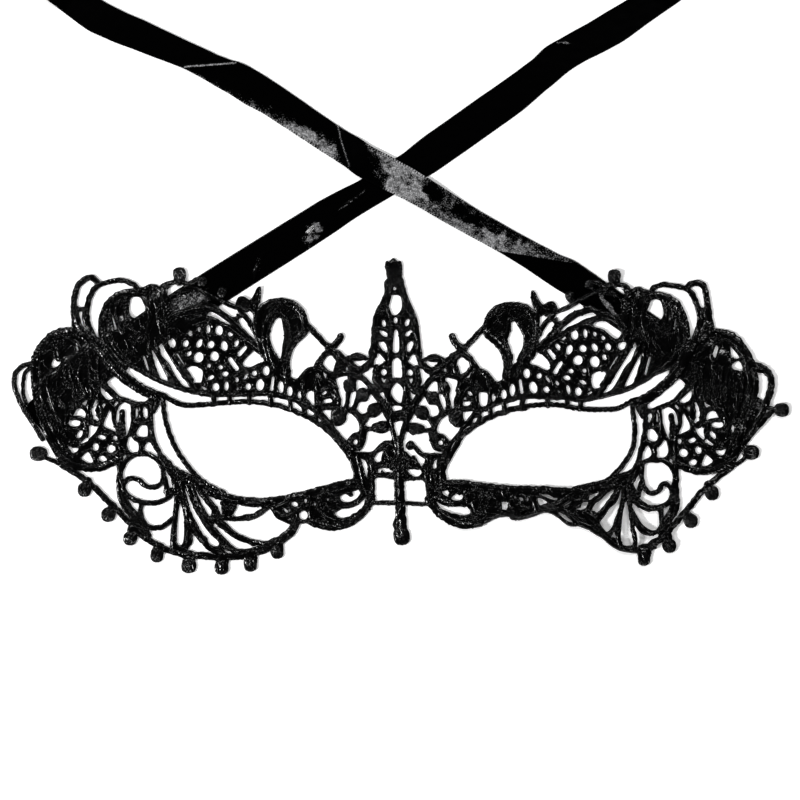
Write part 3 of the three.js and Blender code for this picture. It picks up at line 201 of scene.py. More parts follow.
def satin_material(name):
    """Black satin ribbon: smooth, deep black and mirror-like where it lies flat. Its sheen is painted: the sheen mask
    of each vertex (0 to 1) blends the base colour, grain by grain, from the satin's black to a painted grey highlight,
    matt there and with a stronger bump. A dotted selvedge, partly painted highlight, runs along it there. UV x is mm
    along, y is mm across."""
    m, nodes, links, bsdf = new_material(name)

    def math_node(kind, a, b, c=None):
        n = nodes.new("ShaderNodeMath")
        n.operation = kind
        for place, v in enumerate((a, b, c)):
            if v is None:
                continue
            if isinstance(v, (int, float)):
                n.inputs[place].default_value = v
            else:
                links.new(v, n.inputs[place])
        return n.outputs[0]

    def scale_range(v, low, high, to_low=0.0, to_high=1.0):
        n = nodes.new("ShaderNodeMapRange")
        n.inputs["From Min"].default_value = low
        n.inputs["From Max"].default_value = high
        n.inputs["To Min"].default_value = to_low
        n.inputs["To Max"].default_value = to_high
        links.new(v, n.inputs["Value"])
        return n.outputs[0]

    bsdf.inputs["Anisotropic"].default_value = 0.3
    uv = nodes.new("ShaderNodeUVMap")
    uv.uv_map = "UVMap"
    tangent = nodes.new("ShaderNodeTangent")
    tangent.direction_type = "UV_MAP"
    tangent.uv_map = "UVMap"
    links.new(tangent.outputs["Tangent"], bsdf.inputs["Tangent"])
    mapping = nodes.new("ShaderNodeMapping")
    mapping.inputs["Scale"].default_value = (2.1, 2.5, 1)
    links.new(uv.outputs["UV"], mapping.inputs["Vector"])
    floats = nodes.new("ShaderNodeTexVoronoi")
    floats.inputs["Scale"].default_value = 1.0
    floats.inputs["Randomness"].default_value = 0.8
    links.new(mapping.outputs["Vector"], floats.inputs["Vector"])
    noise = nodes.new("ShaderNodeTexNoise")
    noise.inputs["Scale"].default_value = 0.42
    noise.inputs["Detail"].default_value = 3.0
    noise.inputs["Roughness"].default_value = 0.7
    links.new(mapping.outputs["Vector"], noise.inputs["Vector"])
    painted_sheen = nodes.new("ShaderNodeAttribute")
    painted_sheen.attribute_name = "painted_sheen"
    parts = nodes.new("ShaderNodeSeparateXYZ")
    links.new(uv.outputs["UV"], parts.inputs[0])
    # dotted selvedge: a bump, and painted highlight dots where the sheen is painted
    dots = math_node("SINE", math_node("MULTIPLY", parts.outputs[0], TAU / 0.80), 0.0)
    away = math_node("ABSOLUTE", parts.outputs[1], 0.0)
    selvedge = scale_range(away, 4.15, 4.40)
    # grain: tops of the floats, 0 to 1
    tops = scale_range(floats.outputs["Distance"], 0.62, 0.12)
    cloud = scale_range(noise.outputs["Fac"], 0.28, 0.72)
    grain = math_node("ADD", math_node("MULTIPLY", tops, 0.55), math_node("MULTIPLY", cloud, 0.45))
    selvedge_dots = math_node("MULTIPLY", math_node("MULTIPLY", dots, selvedge), 0.30)
    grain = math_node("ADD", grain, selvedge_dots)
    # how much painted highlight shows: the per-vertex sheen mask, speckled by the grain
    painted_sheen_level = scale_range(math_node("MULTIPLY_ADD", painted_sheen.outputs["Fac"], 1.15, grain), 0.95, 1.85)
    painted_sheen_level = math_node("POWER", painted_sheen_level, 1.25)
    # base colour from the satin's own black (A) to a painted grey highlight (B)
    mix = nodes.new("ShaderNodeMix")
    mix.data_type = "RGBA"
    mix.inputs["A"].default_value = (0.0008, 0.0008, 0.0009, 1)
    mix.inputs["B"].default_value = (0.56, 0.56, 0.57, 1)
    links.new(painted_sheen_level, mix.inputs["Factor"])
    links.new(mix.outputs["Result"], bsdf.inputs["Base Color"])
    links.new(scale_range(painted_sheen_level, 0.0, 0.4, 0.14, 0.5), bsdf.inputs["Roughness"])
    bsdf.inputs["Specular IOR Level"].default_value = 0.5
    bump = nodes.new("ShaderNodeBump")
    bump.inputs["Distance"].default_value = 0.00006
    links.new(scale_range(painted_sheen.outputs["Fac"], 0.0, 1.0, 0.10, 0.9), bump.inputs["Strength"])
    links.new(grain, bump.inputs["Height"])
    links.new(bump.outputs["Normal"], bsdf.inputs["Normal"])
    return m


THREAD = thread_material("black_thread", 0.62, 0.9, 1100, 0.9, 0.75, 0.5)
GROUND = thread_material("black_thread_ground", 0.5, 0.5, 1100, 0.9, 0.3, 1.3)
# the picots are the same black thread with its colour painted twice as light, standing in for the highlights on their
# strands
PICOT = thread_material("black_thread_picot", 0.45, 1.4, 900, 0.9, 1.0, 0.6, 2, 0.24)
SATIN = satin_material("black_satin")

# ---- ribbons -------------------------------------------------------------------------------------------------
# Each is one 9.6 mm satin ribbon, sewn behind a temple. It runs up over the table, the right one over the left,
# and beyond the picture's top edge it turns on its edge and ends in a loose curl.
RIBBON_WIDTH = 9.6
RIBBON_THICKNESS = 0.3
TWIST_LENGTH = 25.0
CURL_ENTRY, CURL_LEAD, CURL_INNER, CURL_PITCH = 17.0, 8.4, 6.0, 4.15
CENTRE_X, CENTRE_Y = -0.0114, 0.0900  # the chart's middle in the frame, mm


def ribbon_line(route, turn_side):
    """Centre line of a ribbon: length along it, places, and the length of the part before the curl."""
    p = np.array(route, float).reshape(-1, 2) + (CENTRE_X, CENTRE_Y)
    d = (p[-1] - p[-2]) / np.linalg.norm(p[-1] - p[-2])
    tip = p[-1] + d * TWIST_LENGTH
    p = np.vstack([p, tip])
    # centripetal spline through the route
    out = []
    q = np.vstack([2 * p[0] - p[1], p, 2 * p[-1] - p[-2]])
    for i in range(1, len(q) - 2):
        p0, p1, p2, p3 = q[i - 1 : i + 3]
        t1 = np.linalg.norm(p1 - p0) ** 0.5
        t2 = t1 + np.linalg.norm(p2 - p1) ** 0.5
        t3 = t2 + np.linalg.norm(p3 - p2) ** 0.5
        t = np.linspace(t1, t2, 40, endpoint=False)[:, None]
        a1 = (t1 - t) / t1 * p0 + t / t1 * p1
        a2 = (t2 - t) / (t2 - t1) * p1 + (t - t1) / (t2 - t1) * p2
        a3 = (t3 - t) / (t3 - t2) * p2 + (t - t2) / (t3 - t2) * p3
        b1 = (t2 - t) / t2 * a1 + t / t2 * a2
        b2 = (t3 - t) / (t3 - t1) * a2 + (t - t1) / (t3 - t1) * a3
        out.append((t2 - t) / (t2 - t1) * b1 + (t - t1) / (t2 - t1) * b2)
    out.append(p[-1:])
    straight = np.concatenate(out)
    flat_length = np.linalg.norm(np.diff(straight, axis=0), axis=1).sum()
    joint = tip + d * CURL_LEAD
    side = turn_side * np.array([-d[1], d[0]])
    hub = joint + side * CURL_ENTRY
    turns = (CURL_ENTRY - CURL_INNER) / CURL_PITCH
    angle = np.linspace(0, turns * TAU, int(turns * 90))
    radius = CURL_ENTRY - CURL_PITCH * angle / TAU
    start = math.atan2(*(joint - hub)[::-1])
    # the spiral starts along d
    way = 1 if (side[0] * -d[1] + side[1] * d[0]) > 0 else -1
    spiral = hub + np.stack([np.cos(start + way * angle), np.sin(start + way * angle)], 1) * radius[:, None]
    line = np.vstack([straight, joint, spiral[1:]])
    s = np.concatenate([[0], np.cumsum(np.linalg.norm(np.diff(line, axis=0), axis=1))])
    seen = 268.0  # mm that lie in view or near it
    at = np.concatenate([np.linspace(0, seen, int(seen / 0.3), endpoint=False), np.linspace(seen, s[-1], int((s[-1] - seen) / 0.9))])
    xy = np.stack([np.interp(at, s, line[:, 0]), np.interp(at, s, line[:, 1])], 1)
    return at, xy, flat_length


def make_ribbon(name, route, turn_side, edges, height, roll, painted_sheen, cross, node, seed):
    at, xy, flat_length = ribbon_line(route, turn_side)
    t = np.gradient(xy, at, axis=0)
    t /= np.linalg.norm(t, axis=1)[:, None]
    phi = smooth((at - (flat_length - TWIST_LENGTH)) / 22) * math.pi / 2
    lying = np.cos(phi)
    columns = 37
    c = np.linspace(-RIBBON_WIDTH / 2, RIBBON_WIDTH / 2, columns)
    S, C = np.meshgrid(at, c, indexing="ij")
    flat = np.stack([-t[:, 1], t[:, 0]], 1)
    base = 4.8 * np.sin(phi) + 0.16 * np.cos(phi)
    z0 = base[:, None] + C * np.sin(phi)[:, None]
    # where its two edges are seen, left and right of the centre line
    knots = np.array(edges, float).reshape(-1, 3)
    left_at = sum(np.interp(at + o, knots[:, 0], knots[:, 1]) for o in (-0.8, 0, 0.8)) / 3
    right_at = sum(np.interp(at + o, knots[:, 0], knots[:, 2]) for o in (-0.8, 0, 0.8)) / 3
    seen_c = (left_at + right_at)[:, None] / 2 + C / RIBBON_WIDTH * (left_at - right_at)[:, None]
    seen_c = seen_c * lying[:, None] + C * (1 - lying[:, None])
    X = xy[:, :1] + seen_c * (flat[:, :1] * np.cos(phi)[:, None])
    Y = xy[:, 1:] + seen_c * (flat[:, 1:] * np.cos(phi)[:, None])
    lean = roll(S, C, X, Y) * lying[:, None]
    leaning = C * np.sin(lean) + RIBBON_WIDTH / 2 * np.abs(np.sin(lean))
    wave = (height(S, C, X, Y) + leaning) * lying[:, None]
    crumple = 0.007 * relief(S, C, 3.8, seed)
    free = smooth((S - 22) / 14) * lying[:, None]
    Z = z0 + wave + crumple * free
    if cross:
        cx, cy, rise = cross
        dist = np.hypot(X - cx, Y - cy)
        Z = Z + 0.6 * smooth((22 - dist) / 12) * rise
    # outward normal of the strip, for its thickness
    P = np.stack([X, Y, Z], -1)
    dS = np.gradient(P, axis=0)
    dC = np.gradient(P, axis=1)
    N = np.cross(dS, dC)
    N /= np.linalg.norm(N, axis=-1)[..., None]
    edge = 1 - np.abs(C) / (RIBBON_WIDTH / 2)
    half = RIBBON_THICKNESS / 2 * (0.8 + 0.5 * np.exp(-((edge / 0.05) ** 2)))
    top = P + N * half[..., None]
    low = P - N * half[..., None]
    n, k = X.shape
    V = np.concatenate([top.reshape(-1, 3), low.reshape(-1, 3)])
    V[:, 2] = np.maximum(V[:, 2], 0.01)
    uv = np.stack([S.ravel(), C.ravel()], 1)
    uv = np.concatenate([uv, uv])
    i, j = np.meshgrid(np.arange(n - 1), np.arange(k - 1), indexing="ij")
    a = (i * k + j).ravel()
    quads_top = np.stack([a, a + k, a + k + 1, a + 1], 1)
    o = n * k
    quads_low = quads_top[:, ::-1] + o
    r = np.arange(n - 1) * k
    left = np.stack([r, r + o, r + k + o, r + k], 1)
    r2 = r + k - 1
    right = np.stack([r2, r2 + k, r2 + k + o, r2 + o], 1)
    q = np.arange(k - 1)
    first = np.stack([q, q + 1, q + 1 + o, q + o], 1)
    e = (n - 1) * k + q
    last = np.stack([e, e + o, e + 1 + o, e + 1], 1)
    quads = np.concatenate([quads_top, quads_low, left, right, first, last])
    # where the satin's highlight is painted, 0 to 1, the same on both faces
    sheen_paint = np.clip(painted_sheen(S, C, X, Y), 0, 1).ravel()
    obj = add_mesh(name, V, quads, [], uv, SATIN, painted_sheen=np.concatenate([sheen_paint, sheen_paint]))
    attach(obj, "root")
    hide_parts(node, node + "_curl")
    return obj


RIGHT_ROUTE = (104.8, 2.3, 95.6, 7.8, 84, 16, 72.4, 24.4, 59.3, 33.4, 49.9, 40, 27, 53.4, 5.2, 65.5, -22.9, 80.6, -48.7, 98.3, -54.8, 101.6, -60.8, 104.3, -72.6, 108.8, -82.2, 112.8, -88.9, 116.7, -94.7, 120.6)
LEFT_ROUTE = (-106.4, -1.3, -98.2, 5.5, -90, 12.2, -71.2, 25.8, -56.7, 34.8, -43.6, 42.9, -29.1, 51.9, -16.1, 60.2, -1.6, 69.3, 3.9, 72.5, 15.7, 80.9, 31.6, 92.1, 40.7, 99.3, 45.2, 103.5, 50.6, 106.9, 57.3, 110.4, 68.2, 116.9, 73.5, 120.6)
CROSSING = (-1.6, 67.0)


def piecewise(s, knots):
    return np.interp(s, np.array(knots[0::2], float), np.array(knots[1::2], float))


def soften(s, knots, radius=2.0):
    """The knots' (place, height) line with its corners rounded."""
    total = 0
    for o, w in ((-1.5, 0.06), (-1, 0.16), (-0.5, 0.19), (0, 0.18), (0.5, 0.19), (1, 0.16), (1.5, 0.06)):
        total = total + w * piecewise(s + o * radius, knots)
    return total


def line_side(X, Y, x0, y0, x1, y1):
    """Signed distance (mm) from a straight crease given in mm, left of its direction positive."""
    d = math.hypot(x1 - x0, y1 - y0)
    return ((x1 - x0) * (Y - y0) - (y1 - y0) * (X - x0)) / d


def px(*a):
    """Places given in chart units (0.29 mm, y down) as places in mm."""
    p = np.array(a, float).reshape(-1, 2)
    return np.stack([(p[:, 0] - 400.5) * 0.29 + CENTRE_X, (416 - p[:, 1]) * 0.29 + CENTRE_Y], 1)


def near_line(X, Y, line):
    """Distance (mm) to a line, its sign (positive left of its direction), and how far along it, 0 to 1."""
    best = np.full(X.shape, 1e9)
    sign = np.zeros(X.shape)
    along = np.zeros(X.shape)
    part = np.concatenate([[0], np.cumsum(np.linalg.norm(np.diff(line, axis=0), axis=1))])
    for i in range(len(line) - 1):
        (ax, ay), (bx, by) = line[i], line[i + 1]
        dx, dy = bx - ax, by - ay
        L = dx * dx + dy * dy
        u = np.clip(((X - ax) * dx + (Y - ay) * dy) / L, 0, 1)
        d = np.hypot(X - ax - u * dx, Y - ay - u * dy)
        closer = d < best
        best = np.where(closer, d, best)
        sign = np.where(closer, np.sign(dx * (Y - ay) - dy * (X - ax)), sign)
        along = np.where(closer, (part[i] + u * math.sqrt(L)) / part[-1], along)
    return best, sign, along


def ridge(X, Y, line, widths, slope, other, seed=31):
    """A long ridge along a line. On its left it falls at the given slope over a width (mm, against the way along);
    on its right it falls from the same crest within the other width."""
    d, sign, along = near_line(X, Y, line)
    width = np.maximum(piecewise(along, widths) * (1 + 0.10 * relief(X, Y, 7.0, seed, 9)), 0.05)
    crest = piecewise(along, widths) * slope
    fall = np.where(sign > 0, 1 - d / width, 1 - d / other)
    return crest * np.clip(fall, 0, 1)


def rumple(X, Y, place, size):
    """Small crosswise puckers where a ribbon is drawn up by its stitches."""
    d = np.hypot(X - place[0, 0], Y - place[0, 1])
    return (0.11 * relief(X, Y, 1.7, 41, 9) + 0.16) * smooth((size * 1.5 - d) / size)


# Heights of the ribbons, mm. s is the length from the sewn end.
RIGHT_MIDDLE = (0, 0, 60, 0, 96, 0, 104, 0.05, 112, 0.14, 117, 0.2, 122, 0.15, 132, 0.02, 140, 0, 600, 0)
RIGHT_CREASE = px(183, 67, 238, 63)
SHORT_CREASE = px(336, 116, 340.5, 138, 351, 172)
LOWER_RIDGE = px(425, 214, 440, 222, 494, 250, 530, 256, 574, 263)
LOWER_EDGE = px(184, 68, 220, 92, 282, 130, 345, 169)
# seen edges: s, then mm to the left and to the right of the centre line
RIGHT_EDGES = (0, 4.8, -2.1, 3, 4.8, -2.1, 10, 4.8, -4.8, 56, 4.8, -4.6, 64, 5.0, -4.5, 69, 5.2, -4.6, 73, 5.05, -3.8, 80, 4.56, -3.44, 88, 4.3, -3.25, 100, 4.48, -3.3, 108, 4.5, -3.76, 116, 4.3, -4.3,
               122, 4.4, -4.7, 130, 4.6, -4.9, 136, 4.6, -4.86, 140, 3.85, -5.4, 144, 3.5, -5.4, 152, 3.2, -5.76, 160, 3.3, -5.92, 168, 3.6, -5.8, 174, 4.5, -5.55, 180, 4.62, -5.08,
               182, 4.75, -4.6, 184, 4.8, -4.0, 188, 4.54, -3.5, 196, 4.02, -3.62, 204, 4.02, -4.3, 212, 4.04, -4.9, 220, 4.48, -4.82, 224, 5.02, -4.54, 228, 4.86, -4.6, 236, 4.45, -4.8,
               244, 4.8, -4.8, 900, 4.8, -4.8)
LEFT_EDGES = (0, 4.8, -4.8, 56, 5.7, -4.75, 64, 5.92, -4.7, 76, 6.0, -4.5, 92, 6.0, -4.35, 104, 5.82, -4.2, 108, 5.52, -4.0, 112, 5.16, -3.94, 116, 4.68, -4.02, 122, 4.5, -4.2,
              132, 4.74, -4.4, 136, 5.12, -4.88, 140, 5.3, -5.0, 148, 5.16, -5.14, 160, 5.32, -5.02, 168, 5.14, -5.02, 176, 4.86, -4.56, 180, 4.62, -4.74, 184, 4.68, -4.98, 188, 4.28, -4.9,
              192, 4.3, -4.86, 204, 4.64, -5.1, 212, 4.5, -4.42, 220, 4.5, -4.46, 232, 4.8, -4.8, 900, 4.8, -4.8)


def band(X, Y, line, widths, soft=1.0, seed=61, ragged=0.7):
    """1 on the left of a line within the given widths (mm, against the way along), with a ragged edge."""
    d, sign, along = near_line(X, Y, line)
    inner = piecewise(along, widths) + ragged * relief(X, Y, 4.0, seed, 11)
    return smooth((inner - d) / soft + 0.5) * np.where(sign > 0, 1.0, smooth(1 - d / 0.25)) * smooth(along / 0.02) * smooth((1 - along) / 0.02)


def streak(X, Y, line, half_width, fade=0.12):
    """1 on a thin line that dies out at both ends."""
    d, _, along = near_line(X, Y, line)
    return smooth(1.5 - d / half_width) * smooth(along / fade) * smooth((1 - along) / fade)


def blot(X, Y, line, half_width, soft, seed, ragged=0.6):
    """1 near a line, with a ragged soft edge."""
    d, _, _ = near_line(X, Y, line)
    return smooth((half_width + ragged * relief(X, Y, 3.4, seed, 11) - d) / soft + 0.5)


def right_height(S, C, X, Y):
    h = soften(S + 0.8 * relief(X, Y, 8.0, 33, 7), RIGHT_MIDDLE, 1.4)
    h = h + ridge(X, Y, LOWER_RIDGE, (0, 2.0, 0.1, 3.4, 0.3, 4.6, 0.55, 4.8, 0.8, 3.2, 1, 0.4), 0.07, 6.0)
    h = h + ridge(X, Y, LOWER_EDGE, (0, 0.6, 0.2, 2.4, 0.5, 3.8, 0.7, 5.2, 0.86, 6.0, 0.94, 5.0, 1, 2.0), 0.045, 3.0, 35)
    h = h + ridge(X, Y, SHORT_CREASE, (0, 1.6, 0.5, 1.8, 1, 1.4), 0.10, 0.55, 36)
    (x0, y0), (x1, y1) = RIGHT_CREASE
    beyond = line_side(X, Y, x0, y0, x1, y1)
    lip = 0.24 * np.exp(np.minimum(beyond, 0) / 1.4) * np.clip(1 - np.maximum(beyond, 0) / 0.6, 0, 1)
    h = h + lip * smooth((S - 176) / 5) * smooth((200 - S) / 6)
    return h + 0.3 * rumple(X, Y, px(610, 307), 3.6) + rumple(X, Y, px(761, 409), 3.4)


def right_roll(S, C, X, Y):
    (x0, y0), (x1, y1) = RIGHT_CREASE
    beyond = line_side(X, Y, x0, y0, x1, y1)
    return -math.radians(1) * np.interp(S, (180, 188, 200, 220, 246), (0.5, 1, 1, 0.5, 0)) * smooth((beyond - 0.3) / 1.6) * smooth((S - 176) / 6)


# Where the right ribbon's highlight is painted, 0 to 1: painted highlight patches below the crossing and along its
# lower ridge and edge, painted highlight lines on its creases, painted grey near both sewn ends; the blots keep it
# black.
def right_painted_sheen(S, C, X, Y):
    mottle = 1 + 0.12 * relief(X, Y, 5.5, 71, 11) + 0.08 * relief(X, Y, 2.4, 72, 11)
    # painted highlight patch where it comes down from the crossing
    end = np.interp(C, (-4.8, -2, 1, 4.8), (140, 134, 131, 127)) + 1.0 * relief(X, Y, 4.5, 62, 9)
    start = np.interp(C, (-4.8, -1.0, 0.8, 4.8), (116.5, 117, 107, 103)) + 0.8 * relief(X, Y, 4.5, 63, 9)
    top = smooth((S - start) / 5 + 0.5) * smooth((end - S) / 7 + 0.5) * np.interp(S, (104, 112, 118, 124, 130, 138), (0.62, 0.7, 0.98, 1.0, 0.86, 0.62))
    upper = smooth((S - 84) / 8) * smooth((116 - S) / 3) * np.interp(S, (84, 95, 104, 112, 116), (0.36, 0.42, 0.50, 0.60, 0.66)) * (1 + 0.16 * relief(X, Y, 4.2, 60, 9))
    low = band(X, Y, LOWER_RIDGE, (0, 3.4, 0.15, 3.9, 0.3, 4.7, 0.5, 5.4, 0.7, 4.6, 0.85, 3.0, 1, 1.4), 3.4, 64, 0.4) * np.interp(S, (72, 80, 92, 100, 112, 116), (0.62, 0.74, 0.92, 0.84, 0.72, 0.6))
    edge = band(X, Y, LOWER_EDGE, (0, 0.3, 0.2, 1.5, 0.45, 2.4, 0.65, 4.2, 0.8, 5.2, 0.9, 4.4, 0.96, 2.2, 1, 0.6), 3.6, 65, 0.4) * np.interp(S, (138, 144, 152, 162, 175, 196), (0.35, 0.8, 0.95, 0.84, 0.74, 0.5))
    r = np.maximum(np.maximum(np.maximum(top, low), edge), upper) * mottle
    r = r * (1 - 0.85 * blot(X, Y, px(430, 190, 437, 195), 1.5, 2.0, 66, 0.3)) * (1 - 0.75 * blot(X, Y, px(458, 208, 476, 222), 1.3, 2.0, 67, 0.3))
    # painted highlight lines along the creases
    r = np.maximum(r, 0.78 * streak(X, Y, SHORT_CREASE, 0.34))
    r = np.maximum(r, 1.0 * streak(X, Y, RIGHT_CREASE, 0.30, 0.03))
    r = np.maximum(r, 0.86 * blot(X, Y, px(600, 292, 604.5, 303, 612, 310, 621, 321), 0.8, 0.9, 68, 0.25))
    return np.maximum(r, 0.66 * blot(X, Y, px(757, 400, 768, 416), 2.6, 2.4, 69))


def left_height(S, C, X, Y):
    h = ridge(X, Y, px(306, 243, 320, 222), (0, 0.6, 0.3, 2.2, 0.7, 1.6, 1, 0.4), 0.24, 1.6, 37)
    h = h + ridge(X, Y, px(254, 282, 262, 254), (0, 0.3, 0.4, 1.2, 1, 0.3), 0.22, 1.0, 38)
    h = h + ridge(X, Y, px(338, 208, 352, 201, 366, 190), (0, 0.2, 0.4, 0.7, 1, 0.2), 0.22, 0.8, 39)
    h = h + ridge(X, Y, px(556, 43, 570, 44), (0, 0.2, 0.5, 0.8, 1, 0.2), 0.30, 0.8, 40)
    return h + rumple(X, Y, px(188, 302), 4.4)


# Where the left ribbon's highlight is painted, 0 to 1: painted highlight patches on its ridges, painted highlight lines
# along thin creases, painted grey at the sewn end.
def left_painted_sheen(S, C, X, Y):
    mottle = np.clip(1 + 0.2 * relief(X, Y, 2.6, 73, 11), 0.1, 1.2)
    r = 0.80 * blot(X, Y, px(309, 241, 318, 226), 1.5, 2.4, 74, 0.4) * smooth((1.2 - C) / 1.6)
    r = np.maximum(r, 0.62 * blot(X, Y, px(307, 226, 316, 222), 0.4, 1.2, 75, 0.3))
    r = np.maximum(r, 0.5 * blot(X, Y, px(254, 278, 259, 258), 0.7, 1.4, 76, 0.4)) * mottle
    r = np.maximum(r, 0.62 * streak(X, Y, px(336, 211, 344, 207, 352, 201, 359, 196, 367, 188), 0.26))
    r = np.maximum(r, 0.8 * streak(X, Y, px(555, 43.5, 562, 42.5, 571, 44.5), 0.3))
    return np.maximum(r, 0.74 * blot(X, Y, px(176, 308, 200, 298), 3.2, 2.4, 78))


def no_roll(S, C, X, Y):
    return 0.0 * S


ribbon_right = make_ribbon("satin_ribbon_right", RIGHT_ROUTE, -1, RIGHT_EDGES, right_height, right_roll, right_painted_sheen, (*CROSSING, 1.0), "ribbon_right", 11)
ribbon_left = make_ribbon("satin_ribbon_left", LEFT_ROUTE, 1, LEFT_EDGES, left_height, no_roll, left_painted_sheen, None, "ribbon_left", 12)

# ---- the lace's chart ----------------------------------------------------------------------------------------
# Chart units: 0.29 mm each, x to the right, y downwards. The wearer's-right half (at the left here) is drawn; the
# other half is the same drawing turned over about a slightly slanting centre line and eased by small shifts,
# because the thread work has pulled the two halves unevenly.
#   pad: area filled with thread    gap, eye, slot: openings in it    cord, loop: corded lines    bead: bobble
UNIT = 0.29  # mm


class Pen:
    def __init__(self, turned):
        self.turned = turned
        self.cords, self.pads, self.gaps, self.beads = [], [], [], []

    def _line(self, a):
        p = np.array(a, float).reshape(-1, 2)
        return turn_over(p) if self.turned else p

    def cord(self, w, *a):
        self.cords.append((float(w), self._line(a), False))

    def loop(self, w, *a):
        self.cords.append((float(w), self._line(a), True))

    def pad(self, *a):
        self.pads.append(catmull(self._line(a), True, 2.6))

    def gap(self, *a):
        self.gaps.append(catmull(self._line(a), True, 2.0))

    def eye(self, x, y, rx, ry, deg):
        c, s = math.cos(math.radians(deg)), math.sin(math.radians(deg))
        n = 10 if max(rx, ry) < 3 else 14
        t = np.arange(n) * TAU / n
        u, v = rx * np.cos(t), ry * np.sin(t)
        self.gaps.append(self._line(np.stack([x + u * c - v * s, y + u * s + v * c], 1)))

    def slot(self, x0, y0, x1, y1, w0, w1):
        a = math.atan2(y1 - y0, x1 - x0)
        t = np.linspace(0, math.pi, 5)
        first = np.stack([x0 + w0 / 2 * np.cos(a + math.pi / 2 + t), y0 + w0 / 2 * np.sin(a + math.pi / 2 + t)], 1)
        last = np.stack([x1 + w1 / 2 * np.cos(a - math.pi / 2 + t), y1 + w1 / 2 * np.sin(a - math.pi / 2 + t)], 1)
        self.gaps.append(self._line(np.vstack([first, last])))

    def bead(self, x, y, rx, ry, deg):
        c = self._line((x, y))[0]
        self.beads.append((c, rx, ry, -deg if self.turned else deg))


# Shifts that ease the turned-over half: place on the drawn half, then place on the other one.
EASING = [
    (340.6, 334, 452, 334), (258.6, 287, 533.5, 291), (240, 297, 553, 302), (179.5, 268, 614, 270), (118, 278, 666, 282.5), (90, 275, 695, 280.5),
    (74.5, 298, 706, 297), (74, 312, 708, 312.5), (75, 328, 711, 328), (88.5, 302, 695, 301), (87, 315, 700, 317), (137.5, 307, 655.5, 309.5),
    (15.5, 374, 770, 375), (14.5, 382, 771.5, 384), (18.8, 398.5, 768, 400), (38, 431, 745, 440), (35, 385, 755.5, 385), (66, 331.5, 724, 334),
    (37.5, 352, 745.5, 352), (45, 341, 739, 341.5), (55, 333.5, 731, 335.5), (38, 453.5, 751, 452), (84.5, 489.5, 712, 493), (108, 514.5, 691, 520.5),
    (130, 538, 669.5, 545.5), (157, 555, 643, 560), (62, 464, 731, 466), (143, 454.5, 652, 461), (123, 484, 672, 490), (163, 478, 643.5, 483),
    (155, 487, 650, 493), (165, 401, 631, 407), (167, 424, 634, 424), (171, 436.5, 634.5, 437), (177, 449, 632, 450), (184, 460, 624.5, 462),
    (192, 470, 616.5, 471), (201, 478.5, 605, 480), (152.5, 437, 643.5, 440), (156, 447, 640.5, 452), (160, 395, 634, 401), (213, 400, 581.5, 405),
    (126, 367, 671, 371), (148, 398, 647, 406), (110, 380, 682, 381), (113.7, 397.3, 679, 400.5), (102, 394, 691, 397.5), (144.5, 357.5, 649.5, 357),
    (148.3, 369.5, 645.3, 374), (152, 349.5, 641, 355), (168.3, 380.5, 624.5, 386), (162, 343.5, 635.3, 342), (190.5, 387.5, 602.5, 392.5), (355, 478, 443, 480),
    (219.2, 330.8, 574.5, 335), (236.4, 343.6, 558, 347), (260.2, 384.8, 533, 387.5), (266.3, 370.8, 526.5, 373.5), (230, 364, 560.5, 368), (255, 360, 540, 362),
    (172.3, 343, 621.5, 346), (199.5, 329.5, 594.7, 334), (196, 374.5, 598, 380), (283, 298, 508, 302), (349, 497, 455, 496), (355, 506.3, 446, 503),
    (289.8, 391.3, 504, 394.5), (310, 397, 483.5, 399), (240, 397.5, 558, 400.5), (290, 409.5, 497, 413.5), (260, 498, 540, 485), (222, 490, 575, 486),
    (300, 492, 500, 485), (320, 487, 481, 483), (169, 481.5, 635.5, 486.5), (205, 505, 601, 502), (214, 503, 588, 500), (184, 488, 622, 487),
    (182, 520, 627, 520), (180, 546, 626, 545), (393, 260, 394, 260), (397, 380, 398, 380), (401, 500, 402, 500), (372, 455, 424, 456),
    (355, 360, 436, 361), (330, 364, 463, 366), (363, 404, 433, 407), (142, 431, 652, 435), (133, 445, 662, 450), (129.5, 405, 662.5, 410),
    (124, 430, 671, 432), (96, 447, 698, 450), (111.3, 449, 683, 453), (103, 458.7, 693, 462.5), (88, 458, 706, 461), (73.5, 449, 721, 451.5),
    (80, 434.2, 712.5, 434.5), (74.8, 423, 717, 424.5), (80, 413, 713, 416), (85.4, 403, 706.5, 405), (109.6, 418, 684.5, 421), (94, 410, 697, 411),
    (57, 363, 738, 366), (77, 348, 715, 351), (280, 340, 516, 343), (300, 345, 492, 347), (330, 528, 467, 527), (370, 500, 432, 502),
    (281, 512, 529, 507), (303.5, 515, 505, 507), (294.7, 504.2, 511, 495), (302, 524, 499, 514), (229, 509, 566, 502), (241, 518.7, 554, 509),
    (252, 541.5, 553, 525), (232, 532, 570, 523), (249, 554, 556, 551), (210, 557, 593, 558), (285, 538, 520, 532),
]


def centre_line(y):
    return 393.5 + (y - 259.5) * 8.5 / 276.5


EASE_FROM = np.array([p[:2] for p in EASING], float)
EASE_FROM[:, 0] = 2 * centre_line(EASE_FROM[:, 1]) - EASE_FROM[:, 0]
EASE_BY = np.array([p[2:] for p in EASING], float) - EASE_FROM


def turn_over(p):
    m = np.stack([2 * centre_line(p[:, 1]) - p[:, 0], p[:, 1]], 1)
    d2 = ((m[:, None, :] - EASE_FROM[None]) ** 2).sum(2) + 30
    w = d2**-1.6
    return m + (w[:, :, None] * EASE_BY[None]).sum(1) / w.sum(1)[:, None]


